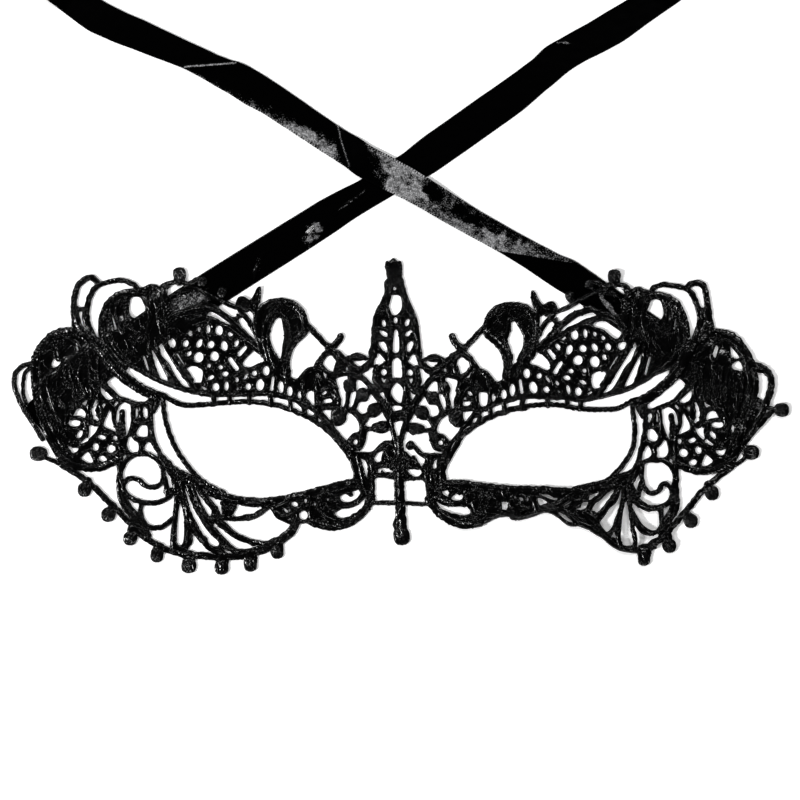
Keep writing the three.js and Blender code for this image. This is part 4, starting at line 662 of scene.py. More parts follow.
def half_chart(k):
    cord, loop, pad, gap, eye, slot, bead = k.cord, k.loop, k.pad, k.gap, k.eye, k.slot, k.bead
    # upper loop, arch and comma
    cord(6, 75, 328, 74, 312, 74.5, 298, 78, 286.5, 84, 280, 90, 277.5, 95.5, 280, 98.5, 284.5)
    cord(5.5, 98, 285, 92, 293, 88.5, 302, 86.8, 314, 88, 324, 92, 333, 98, 344, 106, 356)
    cord(4, 78, 309.5, 85, 309)
    cord(6.5, 76.5, 309, 76.7, 318, 79.5, 326.5, 86, 334)
    cord(4, 84.5, 309, 84.5, 317, 86, 325)
    cord(5, 98, 285.5, 104, 283.5, 111, 281.5, 119, 280.5, 127, 281.5, 134, 285, 139, 290, 145, 292)
    cord(7, 138, 292, 128, 292.5, 119, 295, 111, 301, 105.5, 309.5, 102.5, 319, 101.8, 329, 103.5, 340, 109, 351, 117, 361, 125, 367)
    cord(5, 124, 295, 116, 300, 110.5, 307, 108.3, 316, 108.5, 327, 111, 338, 117, 349, 125, 358, 134, 366)
    cord(4, 121, 297, 117.5, 305, 116.5, 314, 118, 324, 123, 334)
    cord(4, 126, 297, 125, 306, 125.5, 316, 128, 326)
    cord(5, 140, 292, 145.5, 298, 149, 307, 150, 317, 148.5, 328, 144, 339)
    cord(5, 151, 289, 155, 298, 157.5, 309, 159, 321, 162, 333)
    # scalloped top edge
    cord(4.5, 139, 290.5, 145, 289, 151, 286.5, 157, 288, 161, 291)
    cord(4.5, 161, 291, 163, 286.5, 168, 283.5, 175, 282.5, 182, 282.5, 188, 284, 193, 282, 198, 279.5, 203, 281)
    cord(8, 163.5, 290, 164.3, 300, 166.5, 310, 168.5, 319)
    if not k.turned:
        cord(4, 170, 317, 175, 314.5, 183, 312, 192, 310, 202, 308.5)
    cord(4.5, 186, 286, 196, 288.5, 206, 293, 216, 298.5, 227, 303.5, 237, 307.5, 247, 310)
    cord(5, 202, 306.5, 212, 309, 222, 314, 231, 320, 240, 329, 249, 338, 258, 346)
    if not k.turned:
        cord(4.5, 190, 315, 201, 316.5, 211, 319, 221, 323.5, 231, 329.5, 241, 337, 251, 345, 260, 352)
    cord(5, 238, 305, 241, 312, 248, 320, 254, 330, 259, 340, 264, 350)
    cord(4, 168, 320, 168, 330, 170, 338)
    # ground of the wing, from the comma to the hook
    pad(137, 290, 118, 294, 106, 305, 101, 320, 101, 335, 106, 350, 116, 361, 130, 367, 145, 374, 160, 382, 175, 388, 192, 392, 215, 396, 245, 394, 268, 394, 290, 399, 302, 408, 320, 422, 333, 426, 343, 424, 347, 410, 342, 396, 337, 384, 334, 374, 322, 368, 308, 368, 302, 373, 296, 379, 288, 374, 280, 364, 268, 350, 257, 340, 245, 318, 232, 312, 214, 304, 202, 300, 190, 290, 163, 286, 150, 289)
    # openings in the wing
    gap(132, 297.5, 140, 297.5, 144, 304, 146.3, 311, 140, 314.5, 135.5, 318, 131.5, 316.5, 129.3, 311, 130, 303)
    gap(166.3, 292, 170, 287.5, 176, 285.3, 183, 285, 180, 289, 175, 292, 169.8, 296.5)
    gap(171.3, 298, 180, 294, 192, 292, 203, 297.5, 199, 303, 188, 307, 180, 311.5, 173, 313.5)
    slot(144.5, 357.5, 148.3, 369.5, 2.4, 2)
    gap(152, 349.5, 155.5, 354.5, 159.5, 362, 163.5, 370, 168.3, 380.5, 164, 380, 160, 377.5, 157, 370, 154, 361)
    gap(162, 343.5, 165.5, 350, 170, 357.5, 175.5, 366.5, 182, 376, 190.5, 387.5, 184, 386, 179.5, 381.5, 174, 373, 169, 363.5, 162.5, 356.5, 158.5, 349)
    eye(172.3, 343, 3.7, 5, -12)
    eye(190.7, 333.5, 2.3, 2.8, 0)
    eye(199.5, 329.5, 1.8, 2.6, 0)
    eye(208.6, 329.3, 1.9, 4.6, 0)
    eye(219.2, 330.6, 3.8, 5.1, 0)
    eye(230.4, 334.3, 2.7, 2.5, 0)
    eye(186, 343.7, 2.8, 3.9, 20)
    eye(199.6, 343.4, 2.8, 4.7, 28)
    eye(211, 344.6, 3.4, 3.9, 35)
    eye(224.4, 346, 3.4, 5.1, -10)
    eye(236.4, 343.6, 2.2, 3.7, 28)
    slot(239.3, 354.3, 245.2, 347.7, 4.6, 4)
    eye(189.3, 353.6, 2.1, 3, 35)
    slot(177.3, 354.5, 182.7, 364.2, 2.2, 2.8)
    eye(198.8, 357.4, 4.8, 5.4, 22)
    eye(214.7, 356.3, 4.3, 4.9, 0)
    slot(230.3, 359.3, 236.7, 368.7, 4.6, 4.8)
    gap(242.7, 364, 246, 358.5, 250.5, 354, 255, 350, 258.5, 350.5, 261, 355, 264, 361, 258, 363.5, 252, 366.5, 246.5, 367.5)
    eye(209, 366, 1.9, 2.4, 15)
    eye(220.8, 367.2, 2.3, 2.4, 0)
    gap(186.3, 371, 189.5, 366.7, 196.5, 366.5, 202.5, 370.5, 202.7, 377, 200.5, 383, 194, 382.5, 189.5, 377.5)
    eye(225.5, 374, 3.3, 2.6, 0)
    eye(211, 377.6, 2, 3.6, 60)
    eye(246.2, 376.3, 1.4, 3.7, 32)
    eye(254.6, 373.3, 2.5, 2.8, 0)
    eye(237, 379.8, 1.8, 2.6, 0)
    slot(202.7, 387.3, 205.8, 389.3, 1.8, 2.4)
    eye(204.8, 384.7, 1, 1.3, 0)
    eye(216, 387, 3.5, 4.1, 0)
    eye(226.7, 386, 2.2, 4.7, 0)
    eye(237.8, 388.8, 1.1, 1.5, 20)
    eye(248.4, 386.6, 2.7, 3.4, 0)
    eye(260.2, 384.8, 4.1, 6, 8)
    eye(266.3, 370.8, 3.4, 4.9, 0)
    slot(273.2, 377.6, 271.8, 389.4, 2.6, 3.4)
    eye(281, 387, 2.9, 6.2, 0)
    eye(289.8, 391.3, 2.9, 5, 0)
    eye(299.7, 395, 2.1, 3.9, 0)
    slot(219.8, 398.8, 225.2, 398.8, 3.8, 3.8)
    slot(234, 397.8, 245.3, 397.2, 3, 3.4)
    slot(254.5, 397.6, 265, 398.6, 4.6, 5)
    if not k.turned:
        slot(275.5, 399.7, 287, 403.3, 5.2, 2.8)
        gap(293, 407, 295, 403.5, 298, 403, 301, 406, 301, 409, 297, 409.7, 293.5, 409)
        slot(309, 411, 312.2, 413.2, 4.4, 4.6)
        eye(319.7, 418.9, 2.3, 2.7, 0)
        gap(306.4, 394.5, 308.8, 391.2, 313.6, 391.2, 314.2, 396, 314, 405.6, 309.5, 401.6, 306.6, 398)
        gap(323, 410.7, 335, 410.5, 332, 415.5, 330.3, 420, 327.5, 417)
        slot(325.6, 401.3, 330.2, 400.7, 4.2, 4.4)
        slot(323, 394, 325.5, 392.3, 2.2, 2.8)
        slot(332, 394, 333.8, 399, .9, 1.2)
        eye(317.2, 401, 1, 2, 0)
    gap(322, 370, 324.5, 371.5, 327, 375.5, 324.5, 379, 322.4, 378)
    # ribs, rims and veins of the wing
    cord(4, 149, 344, 150.8, 356, 153.8, 367, 158, 378)
    cord(4, 156.5, 345, 160.5, 357, 166.3, 370, 174, 383)
    cord(5, 164.5, 339, 169.5, 351, 176.5, 363, 185.5, 376, 196, 391)
    cord(4, 171, 349, 177, 359, 184, 369, 192, 380)
    cord(4.6, 127, 363.5, 140, 370, 150, 376, 160, 381, 172, 385.8, 185, 389.5, 200, 393, 214, 395, 232, 394.6, 250, 394, 268, 394, 282, 396.5, 290, 398.6)
    if not k.turned:
        cord(4.2, 287, 397.8, 296, 400.2, 303, 403.6, 310, 407, 316, 411.8, 322, 418, 328, 424, 334, 430, 341, 438, 347, 446, 351, 452)
    cord(4.8, 152, 393, 160, 394, 168, 398, 176, 402.5, 184, 405, 196, 405.2, 210, 404.3, 224, 403, 240, 401.8, 256, 401.8, 268, 403.6, 280, 405.6)
    if not k.turned:
        cord(4.8, 277, 405, 290, 409.5, 301, 413.8, 311, 418.6, 320, 424.7, 328, 430.8, 335, 437.8, 342.5, 447, 350, 457.3, 354.6, 468, 356.6, 480)
        cord(3.6, 321, 424, 328, 429.5, 334, 435, 341, 444, 348, 454)
    cord(5, 213.8, 396, 214.5, 404)
    cord(4.5, 229.5, 396, 230, 403)
    cord(4.5, 249.3, 395, 249.5, 403)
    cord(5, 270, 395, 271.5, 405)
    if not k.turned:
        cord(4, 290, 400, 291, 410)
        cord(4.4, 303.2, 404, 304.5, 411, 305.5, 416)
        cord(3.6, 316.2, 412, 316.4, 423)
    # small bumps, thorn and hook
    bead(179.6, 273.5, 6.6, 6, 0)
    cord(11, 179.6, 275, 179.6, 280.5)
    bead(203, 281.5, 4.5, 4.5, 0)
    bead(222.5, 292, 4.5, 5, 20)
    cord(5, 222.5, 293, 219.5, 299.5)
    pad(236, 306, 237.5, 299, 241, 296.3, 246, 297.5, 250, 300, 254, 295, 257, 288.5, 260.5, 286.5, 261.3, 293, 260.5, 300, 257.5, 307, 254, 313, 248, 310, 243, 312)
    gap(243.3, 311.3, 246.5, 310, 248.3, 315)
    cord(5, 256, 303, 255.3, 314, 257, 326)
    gap(238.7, 320, 240.3, 317.8, 243.2, 318, 249, 325.5, 253.5, 334.5, 256.8, 341, 254.5, 342.3, 250, 339, 244, 331)
    gap(218.6, 307, 221.5, 304.3, 224.5, 304.6, 231, 309, 236.5, 313.5, 236.5, 316.3, 232, 317, 225, 312.5)
    gap(207.3, 315, 209, 312.6, 212, 311.9, 217.5, 314.5, 224.5, 319.5, 231, 324.5, 226.5, 323.8, 219, 320.5, 212, 317.5)
    pad(268, 372, 261, 357, 257, 340, 255, 322, 258, 309, 266, 303, 276, 298.7, 287, 298.7, 296, 302.5, 303.5, 309.5, 307.7, 320, 310, 328, 306.5, 335, 298.5, 341.5, 292.7, 351, 289.8, 362, 290.5, 376, 280, 376)
    gap(276.5, 319, 278.5, 317.8, 281.3, 318.5, 283, 327, 284.2, 336, 282.6, 345, 281.7, 354, 280.3, 358.7, 277.5, 356.5, 273.5, 349, 270.3, 340, 269.7, 331.5, 272.5, 324)
    cord(7, 262, 352, 258.5, 338, 257.3, 323, 261, 309.5, 270, 303.3, 281, 301.5, 292, 304, 300, 310.5, 304.5, 320.5, 304, 332, 296.3, 339.5, 289.7, 349.5, 286.5, 363, 286.8, 376)
    if not k.turned:
        cord(4.5, 268, 360, 264.5, 345, 264, 330, 266.5, 319, 272, 313.5, 279, 313, 285, 317, 288.5, 326, 288.5, 337, 286, 349, 284.5, 362)
    cord(4, 275, 368, 270, 355, 268, 342, 268.5, 330, 273, 320)
    # bud, ring and cross
    cord(5.6, 306.5, 324.3, 314, 332.3, 321, 339.6, 327, 345.6, 332, 348.5)
    cord(6.6, 328, 347.8, 334, 345.5, 338.7, 341, 340.6, 336.4)
    cord(5, 314.5, 369, 318.7, 362, 323.5, 355.5, 329.5, 350.5)
    cord(5.5, 329, 349.5, 337, 352.5, 342, 357, 346, 361)
    loop(4.2, 330.3, 353.3, 336.3, 357, 338.6, 363.5, 337.5, 370.5, 332.5, 374.3, 325.5, 370.8, 321.3, 364.5, 323, 358)
    # paisley
    cord(6, 303, 384, 305, 375, 311, 370, 318, 371, 322, 378)
    if not k.turned:
        cord(4.4, 303, 383, 303.2, 391, 304.5, 398.5, 308, 403.5, 312, 407.5, 316.5, 412, 322, 417.5, 330, 424.5)
        cord(4, 316.2, 378, 317.2, 392, 320, 403, 326, 408, 333, 406.6, 336.6, 400, 336, 391.5, 331.5, 387, 326, 387.5, 321.2, 390.6)
        cord(3, 323.5, 397.3, 328, 396, 332, 397.7)
        cord(3.5, 323.5, 406.6, 329, 406, 334, 405)
        cord(4.6, 322, 380, 330, 382.6, 335, 388.5, 337.8, 398, 338.4, 404, 335.5, 407.8, 324, 407.8)
    # inner cheek: ground with its openings
    pad(340, 356, 346, 357.5, 352, 354.5, 357, 353, 363, 354.5, 369, 359, 372, 350, 400, 350, 400, 455, 384, 441, 376, 449, 370, 452.5, 362, 452.5, 354, 452, 347, 442, 338, 432, 331, 423, 340, 406, 335, 388, 333, 374, 336, 362)
    gap(353.5, 361.3, 360, 361, 368.3, 359, 364.5, 363.3, 359.3, 366.6, 356, 364.5)
    eye(347, 369, 1.1, 2, 0)
    gap(336, 379.3, 341, 377, 347.3, 376.2, 347.3, 381.3, 343.5, 386, 345, 391, 347, 394.5, 346, 399.5, 343.6, 407, 341.4, 406.5, 341, 398, 338.3, 392.5, 337.5, 386.5)
    gap(356.8, 380.3, 361, 380.6, 367.7, 387.6, 365, 389.6, 359.5, 389, 356.8, 390.5, 356.3, 385)
    gap(355.6, 391.2, 356, 395.5, 354, 402, 352.5, 406.7, 349.3, 407, 348.4, 404.5, 350, 398, 351.5, 392.5)
    gap(371, 394, 374.5, 398.5, 377.2, 402, 375, 404.7, 370.3, 404, 367.5, 408, 366.5, 413, 362, 414, 357.7, 410.5, 357, 405, 360.5, 402, 366.5, 401.6, 369, 397.5)
    gap(362.3, 374.2, 367.5, 371, 369.5, 368.2, 373.7, 368, 372.7, 374, 372, 380, 374.3, 385, 370.5, 382.3, 366.3, 377.5)
    gap(364.3, 421, 366.5, 417.5, 374.5, 417.6, 379.5, 414.6, 382, 411.8, 384, 416, 386.8, 421, 380, 421, 375, 424, 370, 427, 366, 425.5)
    gap(349, 412.3, 352, 413, 357, 419, 359.3, 426, 358.6, 431.3, 353, 433.3, 348.5, 438, 347, 440.3, 342, 436.5, 338, 431, 334.3, 425.3, 341, 424.6, 345.7, 420.5, 346.8, 415)
    eye(355.6, 442, 2.2, 2.8, 15)
    if not k.turned:
        gap(354.5, 451.6, 361.5, 449.5, 365.7, 441, 367.3, 432.5, 372, 430.4, 378, 433, 384, 433.3, 390.8, 430.4, 391.7, 440, 384, 440.8, 381, 443.7, 377, 448.6, 370, 452, 362, 451.9)
    gap(374, 365, 374.3, 361.3, 376.2, 354.3, 379, 353.4, 383, 357.5, 385.3, 361, 381.7, 363.6, 378, 366)
    eye(384, 372.3, 2.9, 3.3, 0)
    if not k.turned:
        gap(381.5, 377.6, 384, 379, 387.1, 379.5, 386.6, 382.3, 383.6, 382.5, 381.8, 380.4)
        gap(379.5, 391.4, 382.6, 391.2, 384, 393.8, 384.8, 399, 382.7, 399.4, 380.9, 396.8)
    cord(4.4, 346, 361, 353, 367, 361, 369, 368, 366, 373, 358)
    cord(4, 345, 361, 352, 356.5, 359, 357, 366, 358.5)
    cord(4.5, 333, 375, 343, 373, 353, 373.5, 362, 377.5, 369, 384.5, 376, 393, 383, 403, 388, 410)
    cord(5, 350, 375, 350.5, 381, 350, 386)
    bead(350.3, 386.5, 6.1, 6.1, 0)
    bead(362.7, 395.3, 5.8, 5.8, 0)
    bead(374, 409.3, 6.2, 6.2, 0)
    if not k.turned:
        bead(339.2, 417, 7.4, 7.4, 0)
    bead(380.5, 427.3, 7.5, 5.5, 0)
    if not k.turned:
        cord(4, 348.3, 391, 347.6, 400, 346.5, 409)
    cord(4.5, 358, 398, 355.5, 405, 352.5, 411)
    cord(5, 348, 409, 356, 414, 361.5, 422, 362.4, 431, 361.4, 437)
    cord(4, 363, 428, 372, 429, 380, 427)
    cord(4, 362, 425, 369, 415, 374, 409)
    cord(4, 374, 386, 379, 391, 384, 388, 388, 380)
    loop(4.8, 357.3, 436.2, 361, 440.4, 360.4, 445.8, 355.6, 448.8, 350.8, 446, 349.9, 441, 352.6, 437.2)
    eye(355.4, 442.3, 3.1, 3.3, 0)
    cord(5.5, 376.3, 367, 375.5, 374, 376.5, 381, 381, 386, 388, 388)
    # eye corner and nose side
    pad(350, 452, 370, 452.5, 381, 443, 391, 441, 400, 447, 400, 478, 376, 478, 375, 500, 371.5, 507, 366.5, 513.5, 360, 520.3, 350, 526.2, 340, 529.3, 332, 530, 325, 529, 318, 527, 312, 524.8, 305, 522.7, 300, 524, 297, 527, 291.5, 525, 283, 521.3, 276.5, 518, 272.5, 512, 270, 504, 290, 499.5, 320, 490, 345, 484, 356, 481)
    if not k.turned:
        gap(361, 459, 365, 460.5, 367.5, 466, 367.7, 472, 366.6, 477, 365, 472.5, 362.7, 465.5)
        slot(353.7, 463, 356.5, 467.3, 1.4, 1.6)
        gap(374, 458.3, 378, 452.7, 383.3, 451.4, 382.3, 456, 381.3, 460.5, 377, 462.3)
        eye(379.8, 471, 1.8, 3.3, 0)
        gap(381.5, 467.4, 389, 468.5, 393.2, 471, 392.5, 473, 386, 472.6, 383, 471)
    gap(340, 497, 342.5, 494.8, 346, 494, 351, 497, 353.3, 494.5, 352.2, 491.6, 357, 490.3, 359.3, 488.4, 361, 492, 358, 497, 352, 501, 346, 502.2, 341.5, 500.7)
    gap(335, 513, 338, 509.6, 342, 508.5, 348, 508.5, 355, 506.3, 361, 502, 367.3, 496.5, 367, 502, 364, 508, 358, 512.5, 352, 515, 347, 517.5, 341, 518, 337, 516.3)
    slot(284.3, 508.8, 287, 511.5, 1.8, 2.4)
    eye(289.6, 510.2, 1, 1.4, 0)
    eye(294.7, 504.2, 3.4, 2.5, 15)
    eye(303.5, 515.2, 4.5, 4.6, 0)
    eye(305.5, 500.5, 1.6, 2.6, 0)
    eye(315, 494, 1.2, 1.4, 0)
    eye(315, 504, 1.2, 1.4, 0)
    eye(328, 499.5, 1.4, 1.2, 0)
    eye(290, 519, 1, 1, 0)
    slot(312.5, 522.5, 316, 524.3, 1.2, 1.4)
    eye(320, 494, 1.3, 1.5, 30)
    cord(5.5, 356, 478, 356, 468, 353, 459, 348, 450)
    cord(4, 357, 456, 359.6, 467, 362.4, 478, 363.4, 486)
    cord(4, 369, 458, 371.6, 467, 372.6, 478, 373, 489)
    cord(4, 372.5, 480, 372.5, 492, 371, 503)
    cord(4, 360, 488, 362.5, 494, 357, 500.5, 349, 504.5, 340, 504.5, 333, 500)
    cord(4.2, 318.2, 498, 318.6, 503, 320, 510, 326, 517, 334, 520.5)
    cord(3.4, 296.5, 523, 301, 521.6, 307, 521.9, 314, 524.4)
    cord(7, 312, 522.2, 318, 524.2, 325, 526.4, 333, 527, 341, 526, 350, 522.8, 358, 517.6, 364, 511, 368.3, 503.5, 371.3, 494)
    cord(5, 368.5, 497, 366, 507, 358, 514, 349, 519, 339, 521.5)
    cord(4, 324, 492, 332, 495, 340, 505, 333, 511, 327, 505)
    cord(4, 300.7, 494, 301, 500, 300.5, 506.5)
    cord(4, 309.8, 494, 310.2, 501, 309.8, 509, 310.5, 517)
    cord(4, 288, 501, 289.5, 505, 294, 509.6, 297, 514, 297, 521)
    cord(4, 274.5, 506, 279, 504.5, 285, 501.8)
    cord(4, 276, 511.5, 281, 515, 289, 515.6)
    if not k.turned:
        cord(4, 371, 502.8, 384, 502.8, 396, 502.8)
        cord(4.5, 376, 475.5, 385, 474.8, 396, 474.8)
        cord(4, 391, 443, 388, 455, 389, 466)
    # temple fan
    pad(32, 362, 40, 345, 54, 331, 72, 328, 88, 334, 100, 352, 110, 368, 120, 374, 135, 383, 152, 391, 161, 393, 160, 402, 157, 410, 152, 414, 152, 430, 154, 442, 147, 452, 130, 456, 118, 462, 100, 469, 84, 469, 62, 463, 50, 446, 42, 428, 35, 405, 32, 385)
    cord(9.5, 35.5, 364, 38.8, 353, 46.3, 342.5, 55.8, 335, 66, 332.3, 77, 333, 87, 338)
    cord(5.5, 33.8, 362, 34, 378, 35.5, 392, 38.5, 408, 42.8, 422, 48.3, 434, 55.3, 446, 62.5, 458)
    cord(5, 41, 362, 40.5, 378, 42, 394, 46, 410, 52, 426, 60, 440, 66, 452)
    cord(10, 97, 342, 106, 355, 116, 367, 128, 379.5, 140, 388, 153, 394.5)
    cord(4.5, 96, 378, 103, 384.5, 110, 391.5, 117, 397.5, 126, 400.5, 135, 403.3, 143, 404.5, 150, 404)
    cord(4.5, 134, 403, 133.5, 415, 133.7, 428, 136, 437, 143, 439.7, 151, 438)
    cord(4, 140.5, 404, 140.5, 413, 140.5, 422)
    cord(4, 136, 422, 142, 422.5, 149, 422)
    cord(5, 151.8, 404, 151, 414, 151, 425, 152.8, 437, 156.3, 447, 161, 455, 167, 461.5, 174, 468.3, 183, 474.5)
    cord(4, 141, 440, 141, 447, 141.5, 454)
    cord(6, 154.5, 394, 154.5, 403, 153, 411)
    cord(7.5, 60, 457, 72, 464.5, 85, 467.5, 98, 467.5, 110, 464, 120, 458.5)
    cord(4.5, 120, 424, 120, 436, 120, 448, 120, 460)
    cord(4.2, 72, 418.3, 79, 418, 84.5, 420.3, 86.6, 426.5, 86.2, 433, 82.5, 438.3, 77, 441.3, 71, 441.5)
    cord(4, 67, 429, 75, 429.3, 80.5, 428)
    cord(4, 66, 424, 68, 413, 75, 406, 84, 407, 88.5, 414, 89, 424)
    cord(4, 90, 400, 88.5, 409, 89.5, 418, 95, 424, 101, 421.5, 102, 412, 99, 403)
    cord(4, 47, 350, 53, 341.5, 62, 337, 71, 338.5, 78, 343.5, 81.5, 351, 79, 359)
    cord(3.6, 52, 370, 48, 380, 49, 392, 52, 402, 55, 412)
    if not k.turned:
        cord(3.6, 62, 364, 65.5, 375, 65.5, 388, 60, 398, 66, 408)
    cord(3.6, 70, 364, 71, 378, 74, 392, 76, 402)
    cord(3.6, 80, 362, 79, 374, 81, 386, 86, 395)
    cord(3.6, 88, 360, 90, 372, 91, 384, 92, 396)
    cord(3.6, 98, 358, 98, 370, 99, 382, 98, 396)
    cord(3.6, 55, 392, 54, 402, 56, 414, 62, 424, 66, 436)
    cord(3.6, 84, 396, 78, 400, 70, 403, 66, 414)
    gap(54.3, 358.5, 57, 361.3, 61.3, 362, 58, 366, 53, 367.8, 51.8, 364)
    slot(52.5, 373.5, 56, 371.5, 1.4, 1.6)
    slot(76.7, 346, 78, 350, 1.7, 1.7)
    slot(57.2, 352, 58.2, 355.5, 1.2, 1.3)
    slot(113, 318, 116, 328.5, 1.2, 2.2)
    gap(101, 387, 105, 390, 110, 394, 113.7, 397.3, 110, 400, 105, 398, 102, 394)
    gap(107.3, 383, 114.3, 376.3, 117, 377, 122.5, 383, 130, 387.6, 139, 392.5, 148.3, 398, 143.5, 402, 135, 401.7, 127, 399.3, 120, 396, 113.5, 389.5)
    gap(116.4, 420, 117.3, 411, 120, 405.5, 125, 402.2, 129.6, 402.2, 131, 409, 131.4, 420, 129, 430.3, 126, 436, 120, 432, 118, 424)
    slot(137, 409.3, 137, 416.8, 2.3, 2.3)
    eye(145.6, 412.8, 2.6, 6, -8)
    gap(136.2, 434, 138.8, 428, 142, 425.2, 147, 425.8, 148, 431, 147.3, 437, 143, 438, 138.5, 436.5)
    gap(129, 437, 131, 436.3, 134.5, 440.5, 138, 442.5, 139, 447, 138, 451.6, 133, 452.8, 128.8, 450.5, 127, 446, 127.8, 441)
    gap(148.5, 441.8, 151, 443, 153.3, 448.5, 158.3, 455.7, 153, 453.5, 147, 451.5, 144.2, 449, 145.5, 445)
    gap(73.3, 416.6, 77.3, 409, 80, 408.3, 84, 410, 86, 413.5, 86, 418, 81, 417, 76, 417)
    eye(74.8, 423, 6.2, 3.6, 0)
    eye(80, 434.2, 2.5, 4.4, 30)
    slot(81.5, 442.6, 87, 439.4, 2.4, 3.8)
    gap(68.3, 446, 73, 448, 78.7, 448, 77.5, 451, 74, 453, 70.5, 451.5)
    gap(88, 422, 91, 424.3, 95, 426.5, 98.3, 425.3, 97, 430, 93.5, 434.7, 88.4, 438.6, 89.4, 432, 89, 426)
    slot(97, 401, 93.5, 409.5, 3, 3.8)
    slot(93.5, 409.5, 95, 417.5, 3.8, 4.2)
    slot(95, 417.5, 97.5, 419.5, 4, 3)
    slot(83.8, 404.8, 87, 401.3, 4, 2.6)
    eye(84.5, 394.5, 1.4, 1.3, 0)
    slot(101.7, 409.3, 104.3, 404.5, 2.6, 2.6)
    gap(109.6, 410.3, 111.5, 413.5, 112, 420, 113.3, 424.5, 116.3, 431.4, 111, 429.7, 104.3, 426, 105, 420, 107, 416)
    slot(115.3, 405, 117.3, 402.4, 2.2, 2.2)
    eye(102, 437.3, 4.2, 2.3, 12)
    eye(115.5, 438.2, 2.3, 2.7, -25)
    eye(120, 434.5, .9, 1.6, 0)
    eye(95.9, 447, 3.3, 3.9, 0)
    eye(111.3, 449, 4.5, 4.2, 0)
    gap(81.5, 457.7, 88, 451.8, 91, 456, 93.3, 462, 89, 463, 84, 460.5)
    eye(103, 458.7, 4.3, 3, 18)
    slot(122.3, 460, 125.3, 456.2, 2, 3.2)
    cord(5.5, 122.3, 412, 122.2, 422, 123.5, 434)
    # small side loop and the outermost picot
    cord(4.6, 36, 363.5, 28, 364.3, 20.5, 367.5, 15.5, 374, 14.5, 382, 15.7, 390, 18.8, 398.5, 22.5, 406, 27.5, 414, 33, 422.5, 38, 431, 43, 439)
    if not k.turned:
        cord(3.6, 32, 366.5, 26.5, 371.5, 23.8, 379, 23.2, 388, 24.6, 397, 27, 405)
    bead(38, 453.7, 8, 7.2, 0)
    cord(3.8, 44, 457, 53, 460.7, 62, 465, 72, 470)
    # lower edge with its picots
    cord(6, 62, 465, 72, 471, 82, 477, 90, 484, 99, 491.7, 108, 500.7, 117, 509.5, 126, 518.5, 134, 527.5, 143, 536, 152, 542, 162, 547.5, 172, 551.3, 184, 554.8, 197, 556, 210, 557, 224, 557.3, 238, 556.8, 249, 554.5, 260, 551.8, 270, 547.7, 279, 542.6, 287, 537, 292.8, 531.5, 296, 526)
    if not k.turned:
        cord(4.5, 222, 546, 232, 549.5, 242, 552, 253, 549.5, 264, 545.5, 275, 539.5)
    bead(84.7, 489.7, 6.8, 7, 0)
    bead(108.3, 514.8, 6.8, 7, 0)
    bead(130.3, 538.5, 6.8, 6.8, 0)
    bead(157, 555.7, 6.4, 6.6, 0)
    bead(189, 566, 7.6, 7, 0)
    bead(221.7, 567.5, 7, 7, 0)
    bead(250.5, 564.5, 6.6, 7, 0)
    bead(277.3, 552.3, 6.4, 6.4, 0)
    cord(9, 85, 488, 87, 483.5, 88, 481.5)
    cord(8, 109, 512, 112.5, 507.5)
    cord(12, 188.5, 563, 190, 556)
    cord(12, 222.3, 564, 223, 557)
    cord(12.5, 251, 561.5, 250.5, 555)
    cord(12, 277.5, 550, 277, 544)
    cord(11.5, 156.8, 553, 159.5, 548)
    cord(8.5, 130.5, 536, 132.5, 528)
    # ring with its scroll
    cord(4.8, 120, 460, 119.7, 471, 119, 482, 119.4, 492, 121.3, 501, 125.5, 508.5, 131, 515.5, 137, 522)
    cord(4.8, 123, 484, 120.8, 477, 122, 468, 126.8, 460.3, 134, 455.3, 143, 454, 151.5, 455.6, 158.5, 460.6, 162.8, 468.6, 163.6, 477, 160.5, 483.8, 155.5, 486.8, 149.5, 487, 143.5, 484.2, 138.5, 480, 133, 478.3, 127.5, 479.6, 123.5, 484)
    cord(5, 123.5, 483.5, 124, 489.8, 128.8, 496.3, 136.5, 500.4, 147, 503, 157, 502.6, 166, 499, 173.5, 493)
    cord(5, 164.8, 478, 166.3, 486, 167.5, 494)
    cord(5, 166, 491.5, 170.5, 490, 175, 490.5)
    cord(5, 166, 463, 173.5, 471.5, 176.5, 480)
    cord(5, 160.5, 456, 164.5, 463.5, 169.5, 471, 173.5, 478, 175.5, 488)
    cord(4.8, 123, 494, 127.5, 503, 133.5, 511, 140.5, 518.5)
    cord(4.4, 141, 502, 141, 511, 142, 519.5)
    cord(5, 142, 519, 146.5, 525, 153, 528, 160.5, 527.5, 167.5, 523.5, 173, 518.5)
    pad(131, 515, 140, 515, 143, 521, 148, 529, 152, 536, 146, 539, 138, 533, 130, 524)
